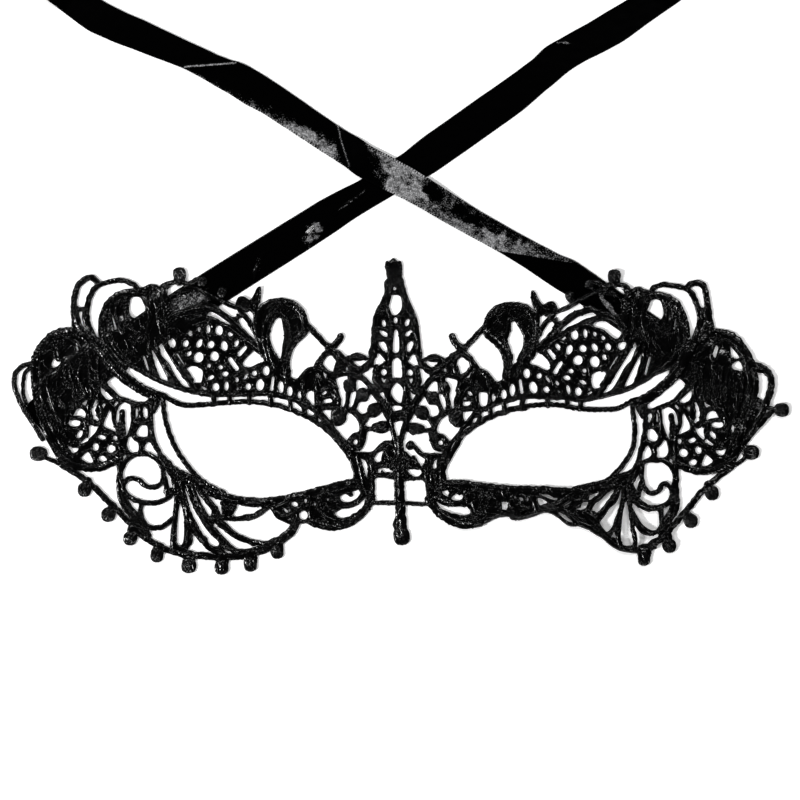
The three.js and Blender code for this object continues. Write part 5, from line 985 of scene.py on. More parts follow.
    # ribs of the lower scallop
    if not k.turned:
        pad(174, 478, 184, 474, 196, 480, 210, 489, 225, 495, 245, 499.5, 262, 500.5, 273, 501, 272, 505.5, 265, 512.5, 258, 517.5, 250, 520, 240, 521, 230, 520, 222.5, 518.7, 228, 524.3, 233, 529.5, 240, 534.5, 248, 538, 256, 540.3, 262, 541.3, 271, 541, 271, 548, 262, 553, 250, 556.5, 238, 558.5, 220, 559.5, 200, 558.5, 186, 556.5, 173, 553, 172.5, 545, 174.5, 530, 176, 515, 177.5, 503, 177, 490)
        gap(180.5, 503.5, 182.3, 508, 183.3, 514, 184.4, 521, 184.3, 530, 184, 537, 183, 542.5, 180.3, 545.7, 177.3, 542.5, 177, 533, 177.8, 520, 179, 509)
        gap(183.5, 487.5, 187.2, 490.5, 189.2, 496, 192, 503, 195, 511, 199.5, 518, 203.5, 525, 208, 531, 213, 536.5, 218, 541, 219.2, 544.2, 217.8, 546, 213.5, 546, 208.5, 542.5, 207.3, 537.5, 203.3, 535, 200, 530, 197, 523, 193, 516.5, 190, 509.5, 188.5, 502, 185.5, 494)
        gap(192, 533.5, 196, 537, 199.5, 541.8, 203, 543.5, 205, 547.5, 210, 550.7, 216.5, 553, 213.5, 554, 208, 552.5, 200, 552, 190, 552, 187.8, 551, 189.3, 547, 192, 544, 193, 539)
        gap(194.3, 488.7, 197, 491, 199.3, 495.3, 203, 499, 206, 503.7, 211, 508.7, 211.7, 512.5, 210.3, 516.7, 207.8, 516.7, 206, 511.5, 203, 509, 201, 504.7, 200.5, 500, 198.3, 497, 197, 492.5)
        eye(190.5, 484, 1.1, 1.7, -35)
        eye(195.2, 499.2, 1.5, 1.3, 0)
        eye(197.6, 504.6, 0.9, 1.6, 20)
        eye(201.3, 510.6, 0.8, 1.4, 30)
        gap(206, 493.3, 210, 496, 216, 498, 223.5, 499.3, 222.2, 503, 221.2, 508, 222.5, 512, 224, 515, 221.5, 514.7, 218.5, 510.5, 217.3, 507, 214, 503, 210.5, 498.7)
        gap(237.5, 503.3, 241, 505.3, 248, 506.5, 255, 507.2, 261.3, 506.2, 261.7, 508.3, 257, 510.7, 252, 514.5, 246, 514.5, 240, 516.2, 234, 517, 233.3, 514.2, 235.5, 510.5, 237, 507.3)
        gap(215, 522.8, 218, 526.5, 224, 530.3, 229, 534.5, 233, 537.3, 240, 541, 248, 543.5, 253, 546.3, 257.5, 545, 258.7, 546.8, 254, 548.7, 250, 550.7, 244, 549.8, 238, 549.3, 233, 546.8, 229, 542, 226, 539, 221, 533.7, 217, 528.7, 213.5, 525.3)
        gap(224.3, 550, 227, 548.3, 229.8, 550.3, 233.2, 552.8, 228.5, 553.2, 226, 551.8)
        eye(214, 514.5, 1.2, 1.1, 0)
        cord(5.4, 176.3, 480, 177, 493, 176.3, 506, 174.8, 520, 173.6, 534, 173, 549)
        cord(4.6, 180.5, 482, 184, 494, 186.3, 507, 187.5, 520, 187.7, 534, 186, 548)
        cord(5.6, 189, 513, 192, 521, 196, 529.5, 202, 538, 207, 545.5, 213, 549.6, 220, 552)
        cord(3.6, 187, 485, 190.3, 494, 193.4, 502.5, 197.6, 510.5, 202.5, 517.5)
        cord(3.4, 192.5, 488, 196, 495, 199.6, 503.5, 204.3, 511.5, 208, 517.5)
        cord(6, 203, 516, 209, 525, 215, 532.5, 221.5, 540, 228, 546.3, 236, 551.3)
        cord(5.4, 197, 486, 203, 494, 209, 502, 214.3, 509.5, 219, 516.5)
        cord(5.2, 210, 518.5, 218, 521.5, 226, 527.7, 234, 534, 242, 538, 251, 541.4, 262, 543.6)
        cord(4.6, 224, 517.6, 233, 518.8, 243, 518.2, 252, 517.4, 260, 513.5, 270, 505.5)
        cord(4, 222, 503, 226, 508, 224, 514)
        cord(4, 235, 503, 232, 509, 229, 516)
        cord(4, 206, 516.5, 213, 519, 221, 517)
        cord(6.6, 264, 546, 273, 543, 281, 538.3, 288, 533, 292.8, 527.5, 295, 521)
    cord(8.4, 181, 474, 190, 479, 200, 486.3, 212, 492.6, 225, 497.3, 240, 500.6, 255, 502, 270, 501.6, 285, 499.3, 301, 495.8, 318, 491.4, 336, 486.5, 356, 482)
    cord(4.8, 162.8, 397, 164.2, 411, 166.6, 424, 170.6, 436.5, 176.5, 449, 183.5, 460.3, 191.5, 470.6, 200.5, 479.6, 211.5, 487, 224, 492.8)
    pad(175, 470, 182, 474, 192, 480, 200, 487, 192, 489, 186, 486, 180, 490, 174, 488, 173.5, 478)


def middle_chart(k):
    cord, loop, pad, gap, eye, slot, bead = k.cord, k.loop, k.pad, k.gap, k.eye, k.slot, k.bead
    # spear and stem
    pad(386, 265, 390, 260.7, 393.5, 258, 397, 261, 401.5, 264, 402, 271, 402, 279, 405, 288, 409, 299.5, 414, 310.5, 417.5, 320, 419.5, 333, 421, 347, 421.5, 358, 408, 390, 400, 420, 390, 390, 369.5, 358, 371, 345, 372, 334, 374, 322, 377.5, 309.5, 382, 300.5, 384.5, 292, 384.5, 285, 388, 279, 386, 271)
    gap(391.5, 295.2, 396, 295, 400.3, 296.3, 402, 303, 401.3, 309.5, 397, 314.6, 392.5, 315, 389.7, 309, 388.3, 302, 389.5, 297.3)
    eye(395.6, 320.3, 2, 3.2, 0)
    gap(396, 328.8, 397.7, 331, 399, 338, 399.2, 350, 397, 352.8, 393.6, 352.3, 392.8, 347, 393.6, 337, 394.5, 331)
    eye(394.8, 288.5, 1.6, 1.9, 0)
    eye(383.9, 323.4, 2.1, 3.6, -10)
    gap(379.3, 329.4, 384, 331, 388, 334.3, 387, 337, 383, 336, 380.2, 332.8)
    gap(378.5, 343, 381.5, 341, 385.6, 343.5, 387.7, 352.3, 384.3, 351.8, 380.5, 347.3)
    eye(407.3, 322.6, 2.3, 3.9, 22)
    gap(411, 330, 412.6, 331.6, 410, 334.6, 407.5, 337, 405, 335.3, 406, 332.5)
    gap(412, 341, 413.6, 343.3, 412, 348, 409.3, 352, 407, 351.3, 407, 345, 409, 342.3)
    gap(394.5, 358.7, 397, 357.5, 400.3, 360, 402, 364.5, 402, 376.7, 399, 378, 396, 377.5, 392.6, 378.3, 392.2, 362)
    gap(397, 382.6, 400.3, 385, 403.2, 390, 402.5, 396.5, 400.8, 403, 396, 401, 391.7, 395.3, 391, 391, 393.6, 385.6)
    gap(391.6, 407, 394, 405.6, 400, 405.8, 402.4, 407, 401.6, 409.6, 398, 410.3, 395, 411.2, 392.6, 410.6)
    gap(393.3, 424, 397, 421.7, 402.8, 421.2, 400.5, 430, 398, 441.5, 396, 433)
    # stem
    cord(9, 398.5, 440, 399, 452, 399.2, 464)
    cord(9.4, 399, 462, 399, 480, 399.4, 498)
    cord(10, 399.4, 496, 400.3, 510, 401, 522)
    cord(11, 400.8, 518, 401.3, 528)
    cord(3.4, 396.5, 519, 395, 524, 396.3, 530)
    bead(401.8, 536.5, 8.2, 8.6, 0)
    # palmette on the stem, and the tadpole on its other side
    pad(392, 441, 397, 446, 399, 440, 403, 452, 409, 456, 414, 457, 418, 464, 421, 468, 421, 470, 412, 469, 407, 470, 408, 474, 412, 477.5, 404, 482, 398, 482, 392, 477, 380, 477.5, 374, 474, 372, 462, 377, 462.5, 382, 461, 384, 451, 377, 449, 381, 443.5, 386, 441.2)
    gap(374, 458.5, 376, 455.5, 378, 452.5, 383.5, 451, 382.5, 454.5, 381, 461, 377, 462.3, 374, 460)
    eye(379.5, 471.3, 1.5, 2.9, 0)
    gap(381.5, 467.2, 385, 468, 389, 468.3, 391, 470, 393.2, 471.5, 392.5, 473.2, 386, 472.8, 383, 471)
    gap(407.3, 469.8, 412, 469.3, 416, 468.5, 420, 469.5, 421.7, 472.5, 419.5, 475.5, 416, 476.7, 412, 475.7, 409, 472.7)
    gap(406, 432, 409, 432.3, 411, 434.3, 413, 435.3, 416, 434, 420, 431, 424, 430.3, 428, 432, 429, 437, 430.5, 443, 433, 448.7, 436, 450.8, 441, 451.3, 442.3, 453.6, 436, 453.2, 430, 453.7, 425, 452.7, 424, 456, 426, 460, 424, 463, 421.6, 466.3, 419, 464, 417.3, 460, 415, 455.8, 413, 455, 411, 456.7, 409, 454.7, 407, 452, 404.3, 451, 403, 447, 403, 442, 404.3, 437)
    gap(432.9, 468.2, 432.9, 463.2, 434.5, 460.7, 437.4, 458.8, 439, 459.6, 437.5, 463, 436.3, 468)
    cord(3.4, 371, 455, 376, 451.2, 381, 447.2, 385, 444.2)
    cord(4, 386.4, 449, 386.8, 456, 385, 463.8)
    cord(3.6, 373, 464, 379, 465.2, 386, 465.3)
    cord(4, 388, 443.5, 393, 447, 396, 454, 396.5, 464)
    cord(4, 385, 449, 388.5, 456, 388, 465)
    cord(4, 391, 458, 394, 464, 396, 470)
    cord(4, 403.5, 453, 408, 459, 415, 461.5, 419, 467)
    cord(4, 404, 462, 409, 466.5, 417, 466.8)
    cord(4.4, 374, 466, 384, 465.3, 395, 466)
    cord(4.5, 376, 475.5, 385, 475, 396, 475)
    cord(3.4, 403, 479.6, 412, 478.6, 424, 478.4)
    cord(4, 371, 502.8, 384, 502.9, 396, 502.9)
    cord(4, 403, 503.3, 415, 503.7, 430, 504.2)
    loop(4, 410, 442.6, 412.6, 444.6, 411.2, 448, 407.6, 446.6)
    cord(4.4, 411, 444.4, 414.5, 446.8, 418, 450.6, 422.5, 454.6, 428, 458.3)
    pad(423, 455, 430, 454, 442, 454.5, 446, 460, 440, 470, 441, 480, 424, 482, 423, 472, 423, 464, 426.5, 460)
    cord(4, 441.5, 456, 440.3, 466, 440.8, 478)
    cord(4, 427, 458, 428, 469, 426.5, 480)
    cord(3.6, 431.5, 457, 430.8, 469, 431.6, 480)
    cord(5, 389.5, 280, 389, 295, 386, 305, 380.5, 317, 377, 330, 375, 343, 374.5, 356)
    cord(5, 399, 280, 402, 293, 406.5, 305, 412, 317, 415.5, 330, 417.5, 343, 418, 356)
    cord(4, 391, 317, 390, 330, 389.8, 345, 389.5, 360, 389.5, 378, 390, 385, 387.5, 393, 388, 402, 391, 412, 391.5, 424, 394.5, 440)
    cord(4, 401.5, 317, 402, 330, 402.7, 345, 404, 360, 404.5, 378, 405, 386, 406, 395, 405.5, 404, 405, 414, 405, 424, 401.5, 440)
    cord(4, 378, 327, 384, 329, 389, 331)
    cord(4, 378, 340, 384, 339.5, 389, 340)
    cord(4, 414, 327.5, 409, 328.5, 404, 329)
    cord(4, 415, 339, 409, 339, 404, 338)
    cord(4, 389, 326, 396, 325.8, 403, 326)
    cord(4, 390, 380.3, 397, 380.3, 405, 380.6)
    cord(2.6, 390, 403.4, 397, 404.3, 405, 404.6)
    cord(7, 392, 416.3, 397, 416.3, 404, 416.3)
    cord(4, 389, 355, 396, 355.3, 403, 355)
    # the turned-over side's border, paisley and openings next to the nose
    gap(479, 392.6, 482.5, 392.3, 487, 393, 487.9, 397, 487, 404.5, 485, 406.3, 481.2, 406.4, 479.3, 403, 478.9, 397.5)
    gap(506.1, 403, 507.5, 401.8, 510.5, 401.8, 512, 402.6, 515, 401.3, 519, 399.3, 521.2, 398.8, 522.2, 400.5, 521.6, 404.2, 520, 406, 515, 406.2, 510.5, 407.2, 508, 406.2)
    gap(492.8, 409.6, 493.4, 407.3, 496, 406, 500, 405.5, 502, 406.7, 500.6, 408.7, 497, 410.4, 494, 410.5)
    gap(481, 415.2, 481.8, 412.8, 484.5, 411.3, 487.2, 411.1, 488, 413, 486.1, 415.9, 482.3, 416.7)
    gap(473, 422.6, 473.3, 419.4, 475, 417.8, 477.3, 417.8, 476.7, 420.2, 474.6, 422.6)
    gap(461.8, 411.9, 468, 411.7, 473.2, 411, 471.1, 414.6, 468.6, 417.7, 467.1, 420.8, 465, 421.2, 463.5, 418.6, 462.8, 415.5)
    gap(462.8, 404.2, 463.3, 401.6, 466, 401.8, 468.5, 401.3, 470.8, 401.8, 470.2, 404.2, 467.6, 405.9, 464, 405.9)
    gap(467.8, 391.4, 470, 391.3, 472.4, 394.5, 472.2, 396.2, 469.5, 395.7, 467.8, 393.6)
    eye(465, 398.5, 1.4, 1.3, 0)
    gap(450.2, 397, 454.4, 396.8, 454.2, 403, 453.8, 408.2, 452.2, 408.5, 450.8, 403)
    gap(408, 380, 409.7, 378.6, 412.5, 378.6, 412.2, 381.8, 410.9, 384.4, 409.2, 385.6, 407.7, 385)
    gap(410.5, 392, 412.5, 390.7, 416.8, 390, 416.3, 393.6, 414.4, 396.8, 413.2, 400, 411.8, 399, 411.1, 395)
    eye(440.8, 442.7, 2.7, 2.4, 0)
    cord(5.2, 525, 408.3, 517, 408.8, 509, 410.2, 503, 412.9, 497, 414, 491, 417.2, 486, 418.8, 480, 422.5, 473.5, 426.7, 468, 430.5, 462.5, 435, 459, 440.2, 455.5, 446.6, 451.5, 453.1, 448, 459.1, 444.6, 465.5, 443, 472, 444, 481)
    cord(3.8, 515, 398.6, 511, 399.8, 505, 401.6, 499, 402.8, 494, 403.8, 489, 407, 484, 408.8, 479.5, 409.8, 475, 412.3, 471, 417.5, 467, 423, 462.5, 428.5, 459.5, 433.5, 455.5, 438.5, 451, 443, 448, 449, 446.5, 456, 445.3, 464)
    cord(4.4, 503.8, 402, 504, 407, 505, 413)
    cord(5, 489.8, 406, 490.2, 412, 491, 417.5)
    cord(3.6, 479, 410, 479.3, 416, 479.8, 422)
    cord(4.6, 476.2, 382, 476.3, 395, 476, 404, 474.6, 411)
    cord(3.6, 490, 391, 490.2, 399, 490.2, 405)
    cord(3.8, 474, 384, 474.6, 392, 473.6, 399, 472.6, 405, 468, 408.4, 461.5, 408.4, 460, 403, 461.2, 398, 464, 394.6, 466, 390.4, 469, 387.6)
    cord(3, 467.4, 399.4, 470, 398.9, 473, 400)
    cord(4.6, 470, 380, 464, 381, 460.6, 385, 459.2, 389, 460.8, 393, 459.6, 397, 457.2, 400.5, 456.4, 406, 459, 409, 466, 409.2)
    bead(455.3, 417.2, 6.9, 7.7, 0)
    cord(4, 446.5, 388, 447.4, 396, 448.1, 404, 447.5, 411)
    # the turned-over side's drop: its opening and the thread round it
    gap(510.8, 322.4, 513, 321.6, 515.1, 321.8, 517.2, 324.2, 519.2, 327.9, 521.7, 331.4, 523, 336, 523.4, 340, 523, 346.1, 521.2, 350.7, 518.7, 354.7, 517.2, 359.1, 516.6, 362.2, 514.6, 363.3, 513, 364.6, 512.1, 362, 511.9, 356, 510.7, 350.1, 509.2, 345.6, 507, 340.6, 508.7, 336.4, 509.6, 332, 510.2, 327)
    cord(4.2, 520.6, 361, 524.6, 351, 525.6, 343, 525.2, 336.6, 523.4, 330.8, 519.8, 325, 516, 319.4, 512, 318.6, 508.4, 320.6, 507.8, 327, 506.4, 333, 504.6, 340, 506.6, 346.8, 508.6, 352, 509.6, 360, 510, 368)
    # openings that only show on the turned-over temple
    gap(593, 324.5, 594.5, 322.4, 600, 321.4, 608, 321.7, 612.3, 325.2, 617, 327.7, 621.2, 330.8, 620.6, 335, 617.5, 338.6, 615, 338.8, 611, 336.2, 606.5, 332.3, 602, 329.2, 597, 327.7, 593.6, 326.6)
    gap(557.4, 318, 559, 314.8, 563, 311.2, 569, 307.2, 575, 304.7, 578, 303.6, 581, 305.8, 583.8, 307.7, 581.7, 309.2, 576, 310.6, 570, 313.4, 565, 317.3, 561, 321.4, 559.3, 322, 557.9, 320)
    gap(560.8, 331.2, 563.8, 327.2, 568, 324, 572, 320.8, 577, 317.2, 584, 314.7, 589, 313.2, 593, 312.7, 595.3, 313.8, 597, 316.8, 592, 317.8, 588, 318, 581, 320.9, 576, 324.4, 571, 325.9, 567, 327.4, 563.5, 330.8)
    cord(4.4, 624.4, 340, 623.4, 331.5, 619.6, 326.6, 613.4, 322.7, 606.5, 319.4, 599, 319.2, 592, 320.3, 586, 322.8, 578, 326.6, 569, 330.6, 560, 337, 550, 345, 541, 352)
    cord(4, 588, 325, 595, 329.6, 601, 331.3, 605, 334.4, 609, 338.4, 614, 341.3, 621, 340.6)
    cord(4, 597, 317.5, 591, 319.8, 586, 322.4)
    gap(715.8, 345, 718, 347.3, 717, 352, 715.3, 357.5, 712, 356.8, 710.8, 351.5, 712.3, 346.7)
    gap(730.3, 347, 733.2, 349.5, 736.8, 353.8, 739, 358, 732.6, 358.8, 730.6, 353.5)
    gap(738.3, 361, 742, 363, 742.5, 368, 741.8, 372, 738, 370.5, 733, 369.3, 731.3, 366.3, 733.5, 362.8)
    cord(3.6, 729, 366, 727, 376, 725, 388, 726, 400)
    # right outer end: closed ground beside the lobe, outer cord and loop
    pad(743, 428, 744, 418, 751, 416.5, 755.5, 418, 760, 416, 765, 413, 769, 411.5, 772, 411, 770, 415, 764, 421, 758, 428, 752, 435, 747.5, 441, 744.3, 446.5, 740.7, 452.5, 737, 458.5, 733, 462, 731, 456, 734, 446, 738, 436)
    cord(5.4, 772.5, 409.5, 769, 413.5, 764.5, 418.2, 758.6, 425, 753.3, 431.3, 748.3, 437.3, 744, 443.5)
    cord(6.4, 757, 369.3, 762, 369.9, 766.4, 371.9, 769.8, 376.5, 771.1, 382, 770, 390, 767.2, 398, 766, 404)
    gap(730, 423.2, 733.8, 426, 736.6, 430.8, 735.2, 433.6, 732.2, 431.8, 730.4, 427.5)
    # threads of the spear's head and borders
    cord(3, 387.2, 262.5, 386.8, 268, 388.2, 274, 390.2, 280)
    cord(3, 399.6, 262.5, 400.6, 268, 400.6, 276, 402.6, 284, 404.4, 290)
    cord(3, 391.6, 276, 395.2, 273.4, 398.2, 275.6)
    cord(3, 391.4, 281.6, 395, 279.4, 398.6, 281.6)
    cord(2.8, 390.6, 287.5, 391.6, 284.9, 395, 283.9, 398.4, 285.4, 399.2, 288.6)
    cord(3, 388.6, 279.5, 386, 283, 386.3, 288, 388.2, 292)
    cord(3.2, 388.2, 292.8, 386, 300, 386.4, 308, 389.2, 315, 390.6, 320)
    cord(3.2, 402.8, 293.2, 404.2, 300, 404, 308, 402.2, 314.5, 401.2, 320)
    cord(3, 404.8, 298.5, 408.2, 306, 411.8, 313, 413.6, 320.5, 414.4, 328)
    cord(3.6, 387, 293, 383, 301.5, 378.4, 309.8, 375.6, 317.4, 374, 326, 373.2, 336, 372.8, 346, 372.2, 353)
    cord(2.8, 384.2, 303, 381.2, 309, 378.8, 316, 377.6, 324, 376.8, 333)


# The part of the turned-over half that is pulled together and folded under is drawn as it now lies instead.
FOLD_AREA = np.array([(431, 489), (440, 488.5), (450, 488.5), (460, 489), (470, 490), (484, 491), (500, 490.5), (520, 491), (540, 491), (560, 492), (575, 492), (588, 490.5), (598, 486.5), (606, 482.5),
                      (616, 480), (626, 480), (633, 484), (637, 492), (640, 499), (648, 504.5), (657, 505), (663, 503), (663, 530), (661, 540), (656, 547), (656, 600), (431, 600)], float)
FOLD_CUT = np.array([(431, 493), (440, 492.5), (450, 492.5), (460, 493), (470, 494), (484, 497), (500, 496.5), (520, 497), (540, 497), (560, 498), (575, 498), (588, 496), (598, 492), (606, 487.5),
                     (616, 484), (626, 484), (633, 488), (637, 494), (640, 500), (648, 505), (657, 505.5), (663, 503), (663, 530), (661, 540), (656, 547), (656, 600), (431, 600)], float)


def folded_side_chart(k):
    """The folded part as seen (its areas run on over the folded edge and lie underneath), and the outermost picot."""
    cord, loop, pad, gap, eye, slot, bead = k.cord, k.loop, k.pad, k.gap, k.eye, k.slot, k.bead
    pad(424, 480, 440, 480, 460, 480, 480, 484, 500, 484, 520, 484, 545, 484, 575, 484, 600, 478, 616, 472, 632, 474, 644, 484, 656, 496, 668, 498, 666, 515, 666, 535, 662, 547.5, 656, 548.5, 651.5, 550.5,
        650, 556, 646, 560, 641, 560, 638, 556.5, 636.6, 553.5, 631, 555, 624, 555, 615, 553.5, 606, 549, 596, 543, 586, 537, 577, 532.5, 571, 528, 564, 524, 558, 519.5, 554, 516, 549, 522, 542, 526,
        534, 530, 526, 533, 514, 535, 500, 532, 492, 532, 487, 527, 484.5, 524.7, 480, 526.3, 475, 527.6, 468, 528, 462, 527.9, 456, 526.6, 450, 524.2, 444.5, 521, 439.5, 517.5, 435.5, 513.5,
        432.5, 510, 429.5, 506, 424, 500)
    gap(442, 492.3, 444.5, 490.6, 448.3, 490.5, 449.6, 492.5, 449, 496.2, 446, 495.8, 443.3, 494.3)
    gap(450.3, 497.3, 453.3, 494.7, 456.3, 493.2, 459, 495.3, 461.8, 494.3, 463.2, 497, 460.3, 501, 455, 501.1, 451.7, 499)
    gap(436.3, 501.2, 441, 504.2, 447, 506.2, 455, 506.6, 466, 506.3, 469, 508.8, 471, 512, 466, 515, 460.5, 515.2, 456, 513.6, 449, 513.1, 444, 511.3, 440.3, 507.3, 437.3, 503.5)
    gap(502, 502, 508, 502.5, 507.3, 507, 507, 512, 502.2, 512, 502, 507)
    eye(521, 499, 2.2, 1.7, 20)
    eye(527, 498.5, 0.9, 2.6, -10)
    eye(517.8, 502.6, 0.9, 2.2, 20)
    gap(521.5, 515, 521, 512, 524, 510.3, 527.5, 510, 525.5, 513)
    gap(540, 492.8, 547, 494.5, 556, 496, 556.5, 500, 551, 499, 545, 496.7, 539.5, 494.3)
    gap(537.3, 498.3, 541, 498.3, 547.3, 502.3, 543, 504, 540, 506.3, 538.3, 503)
    gap(558, 512, 563, 513, 567, 517, 572, 521, 572.5, 523, 567, 521.5, 562.5, 517.5, 559, 514)
    gap(576, 508.5, 580, 509.8, 585, 508, 587, 504.5, 587.8, 501.8, 583, 502, 581, 504.5, 580.3, 507.3)
    gap(589, 500, 589.5, 494.5, 594, 493.3, 598.5, 491.8, 597, 495, 593, 497.3)
    gap(613.3, 489.5, 613.8, 492, 610, 498, 606, 502, 602, 507.5, 599.5, 511, 596, 512.2, 593, 511, 591.7, 507.5, 594.5, 503.5, 600, 500, 606, 494)
    gap(623.3, 486, 622.7, 490.5, 620.9, 497, 619.6, 502, 618.3, 508, 616, 514.5, 614, 519, 612.3, 525, 608.7, 530.3, 605, 531.5, 602.8, 528, 598.5, 525.5, 598.2, 523.3, 601.5, 519, 605.7, 513.5, 609, 508, 614.4, 504, 617.6, 499, 619.4, 494, 621, 489)
    gap(611, 537, 611.5, 533.5, 614, 531.5, 616.7, 532, 616.7, 537)
    gap(625.8, 500, 626.7, 503, 628, 510.5, 630.2, 525.5, 632.6, 538, 632, 544.3, 628, 545.3, 623.4, 545, 620.8, 541, 620.3, 534, 622, 515.5, 624.3, 503)
    gap(632, 503.3, 635.9, 505, 641.5, 509, 647.8, 511.5, 657, 510.7, 658.6, 519, 659.2, 525, 656.7, 528.8, 652.7, 530.2, 647.8, 528.5, 641.3, 523.3, 635.7, 514.3, 631.5, 508)
    gap(633.8, 524.8, 636.5, 528.5, 640, 532.5, 645, 534.8, 651, 535.6, 657.7, 533.7, 657, 537, 651.5, 539, 648, 542, 645, 545, 641, 545, 638.5, 546, 636.8, 547, 636.8, 540, 635.2, 533)
    # ribs and threads on it
    cord(4, 607, 488, 600, 496, 593, 502, 589, 509)
    cord(5, 619, 486, 613, 496.5, 606.5, 505.5, 601, 512, 596, 519)
    cord(4.6, 624, 487, 622.5, 500, 619.5, 513, 616.5, 525, 617.5, 536, 619, 547)
    cord(4.2, 627, 485, 629, 500, 630, 509, 631, 517, 632, 527, 634.3, 538, 634.3, 549)
    cord(4, 631, 510, 636.5, 521, 642.5, 528, 648.5, 532.6, 656, 532.2, 661.5, 529)
    cord(4.6, 628, 496, 634, 501.2, 641, 506, 648, 508.6, 656, 508.2, 663, 505.5)
    cord(4, 661, 508, 661.2, 518, 661.5, 529)
    cord(6.4, 640, 549.5, 648, 547, 655, 542.6, 661, 539, 667, 537)
    cord(5, 604, 536.5, 610, 541, 617, 546.3, 625, 549.3, 635, 551)
    cord(7, 428, 499, 431.5, 504.5, 437, 511.5, 444, 517, 452, 521.6, 462, 524.4, 472, 524.3, 481, 522.2, 488, 519)
    cord(7, 478, 487.5, 495, 488.9, 510, 489.4, 525, 489.4, 545, 490, 560, 490.8, 575, 491, 588, 489)
    cord(4, 436, 490.6, 441, 487.7, 448, 486.7, 455, 488, 460, 490.6)
    cord(4, 450, 489, 451.3, 493, 449.6, 497)
    cord(5, 434, 498, 441, 500.8, 448, 503.4, 456, 504, 465, 503.6, 471, 506.5, 474, 513)
    cord(4, 464.5, 491, 466, 497, 467.5, 503)
    cord(4, 470, 492, 474, 488.7, 480, 491, 484, 496)
    cord(4, 474, 495, 472.5, 502, 475, 510, 478, 516)
    cord(4, 480, 495, 481, 503, 478, 510)
    cord(4, 487, 492, 489, 500, 486, 508, 487, 515)
    cord(4, 462, 519.5, 470, 518.5, 478, 517)
    cord(4, 486, 496, 495, 499, 499.3, 507, 498.5, 514)
    cord(4, 510.5, 500, 510.5, 508, 512.5, 516)
    cord(4.4, 512, 496, 520, 505.5, 531, 507.5, 541, 509, 552, 508.5)
    cord(4, 530, 496, 534, 502, 536, 510)
    cord(4.4, 549, 504.5, 558, 502, 566, 497.5, 571, 491)
    cord(4.6, 553, 507, 563, 509.5, 571, 514, 578, 521, 588, 526, 597, 532)
    cord(4, 574, 499, 581, 497.5, 586, 493)
    cord(5, 584, 512.5, 591, 516.5, 596, 521.5, 600, 529, 606, 535)
    cord(4, 565, 506, 571, 502, 574, 494)
    cord(3.6, 559, 517, 566, 522.6, 575, 524.6)
    cord(4.4, 486, 517, 496, 515.5, 505, 514.5, 514, 517, 526, 516, 538, 511.5)
    bead(643.6, 558, 6.6, 7.6, 0)
    cord(12, 643.6, 556, 643.8, 549)
    cord(4, 768, 408, 776, 409.5)
    bead(782, 410, 6.8, 7, 0)


# ---- how the lace lies ---------------------------------------------------------------------------------------
FOLD_LINE = catmull([(474, 525), (484, 522.8), (490, 519.8), (496, 517.2), (499.5, 516), (509.5, 515.6), (512, 518.6), (516, 519.3), (523, 518.3), (530, 516.3), (536, 514.3), (541, 512.4), (549.5, 512),
                     (553, 513.4), (560, 517.8), (566, 522.8), (569.5, 524.8), (575, 525.3), (578, 525.3), (583, 527), (589, 529), (594, 532.8), (599, 535.4), (604, 538.4), (609, 543.2), (615, 547.2),
                     (621, 549.8), (629, 551), (638, 552)], step=1.0)
FOLD_TANGENT = np.gradient(FOLD_LINE, axis=0)
for _ in range(6):
    FOLD_TANGENT[1:-1] = (FOLD_TANGENT[:-2] + FOLD_TANGENT[1:-1] * 2 + FOLD_TANGENT[2:]) / 4
FOLD_TANGENT /= np.linalg.norm(FOLD_TANGENT, axis=1)[:, None]
# mm: how round the fold is and how high the lace stands at it, pressed flatter towards the middle of the mask
FOLD_RADIUS = (500, 0.34, 545, 0.36, 590, 0.60, 640, 0.60)
FOLD_RISE = (460, 0.62, 545, 0.72, 590, 1.55, 640, 1.75)
FLAP_SHARE = 0.62


def chart_to_mm(x, y):
    return (x - 400.5) * UNIT + CENTRE_X, (416 - y) * UNIT + CENTRE_Y


def distance_to_line(x, y, line):
    """Distance in the line's own unit, in blocks so that it stays small."""
    out = np.empty(x.shape)
    flat_x, flat_y, o = x.ravel(), y.ravel(), out.ravel()
    a, b = line[:-1], line[1:]
    d = b - a
    L = (d**2).sum(1)
    for i in range(0, len(flat_x), 4000):
        px, py = flat_x[i : i + 4000, None], flat_y[i : i + 4000, None]
        u = np.clip(((px - a[:, 0]) * d[:, 0] + (py - a[:, 1]) * d[:, 1]) / L, 0, 1)
        o[i : i + 4000] = np.sqrt(((px - a[:, 0] - u * d[:, 0]) ** 2 + (py - a[:, 1] - u * d[:, 1]) ** 2).min(1))
    return o.reshape(x.shape)


UNDER = [np.array(r[:14], float).reshape(-1, 2) + (CENTRE_X, CENTRE_Y) for r in (RIGHT_ROUTE, LEFT_ROUTE)]
LIFTS = [(772, 382, 20, 0.35), (757, 358, 26, 0.25), (616, 272, 15, 0.6), (650, 480, 60, 0.2)]


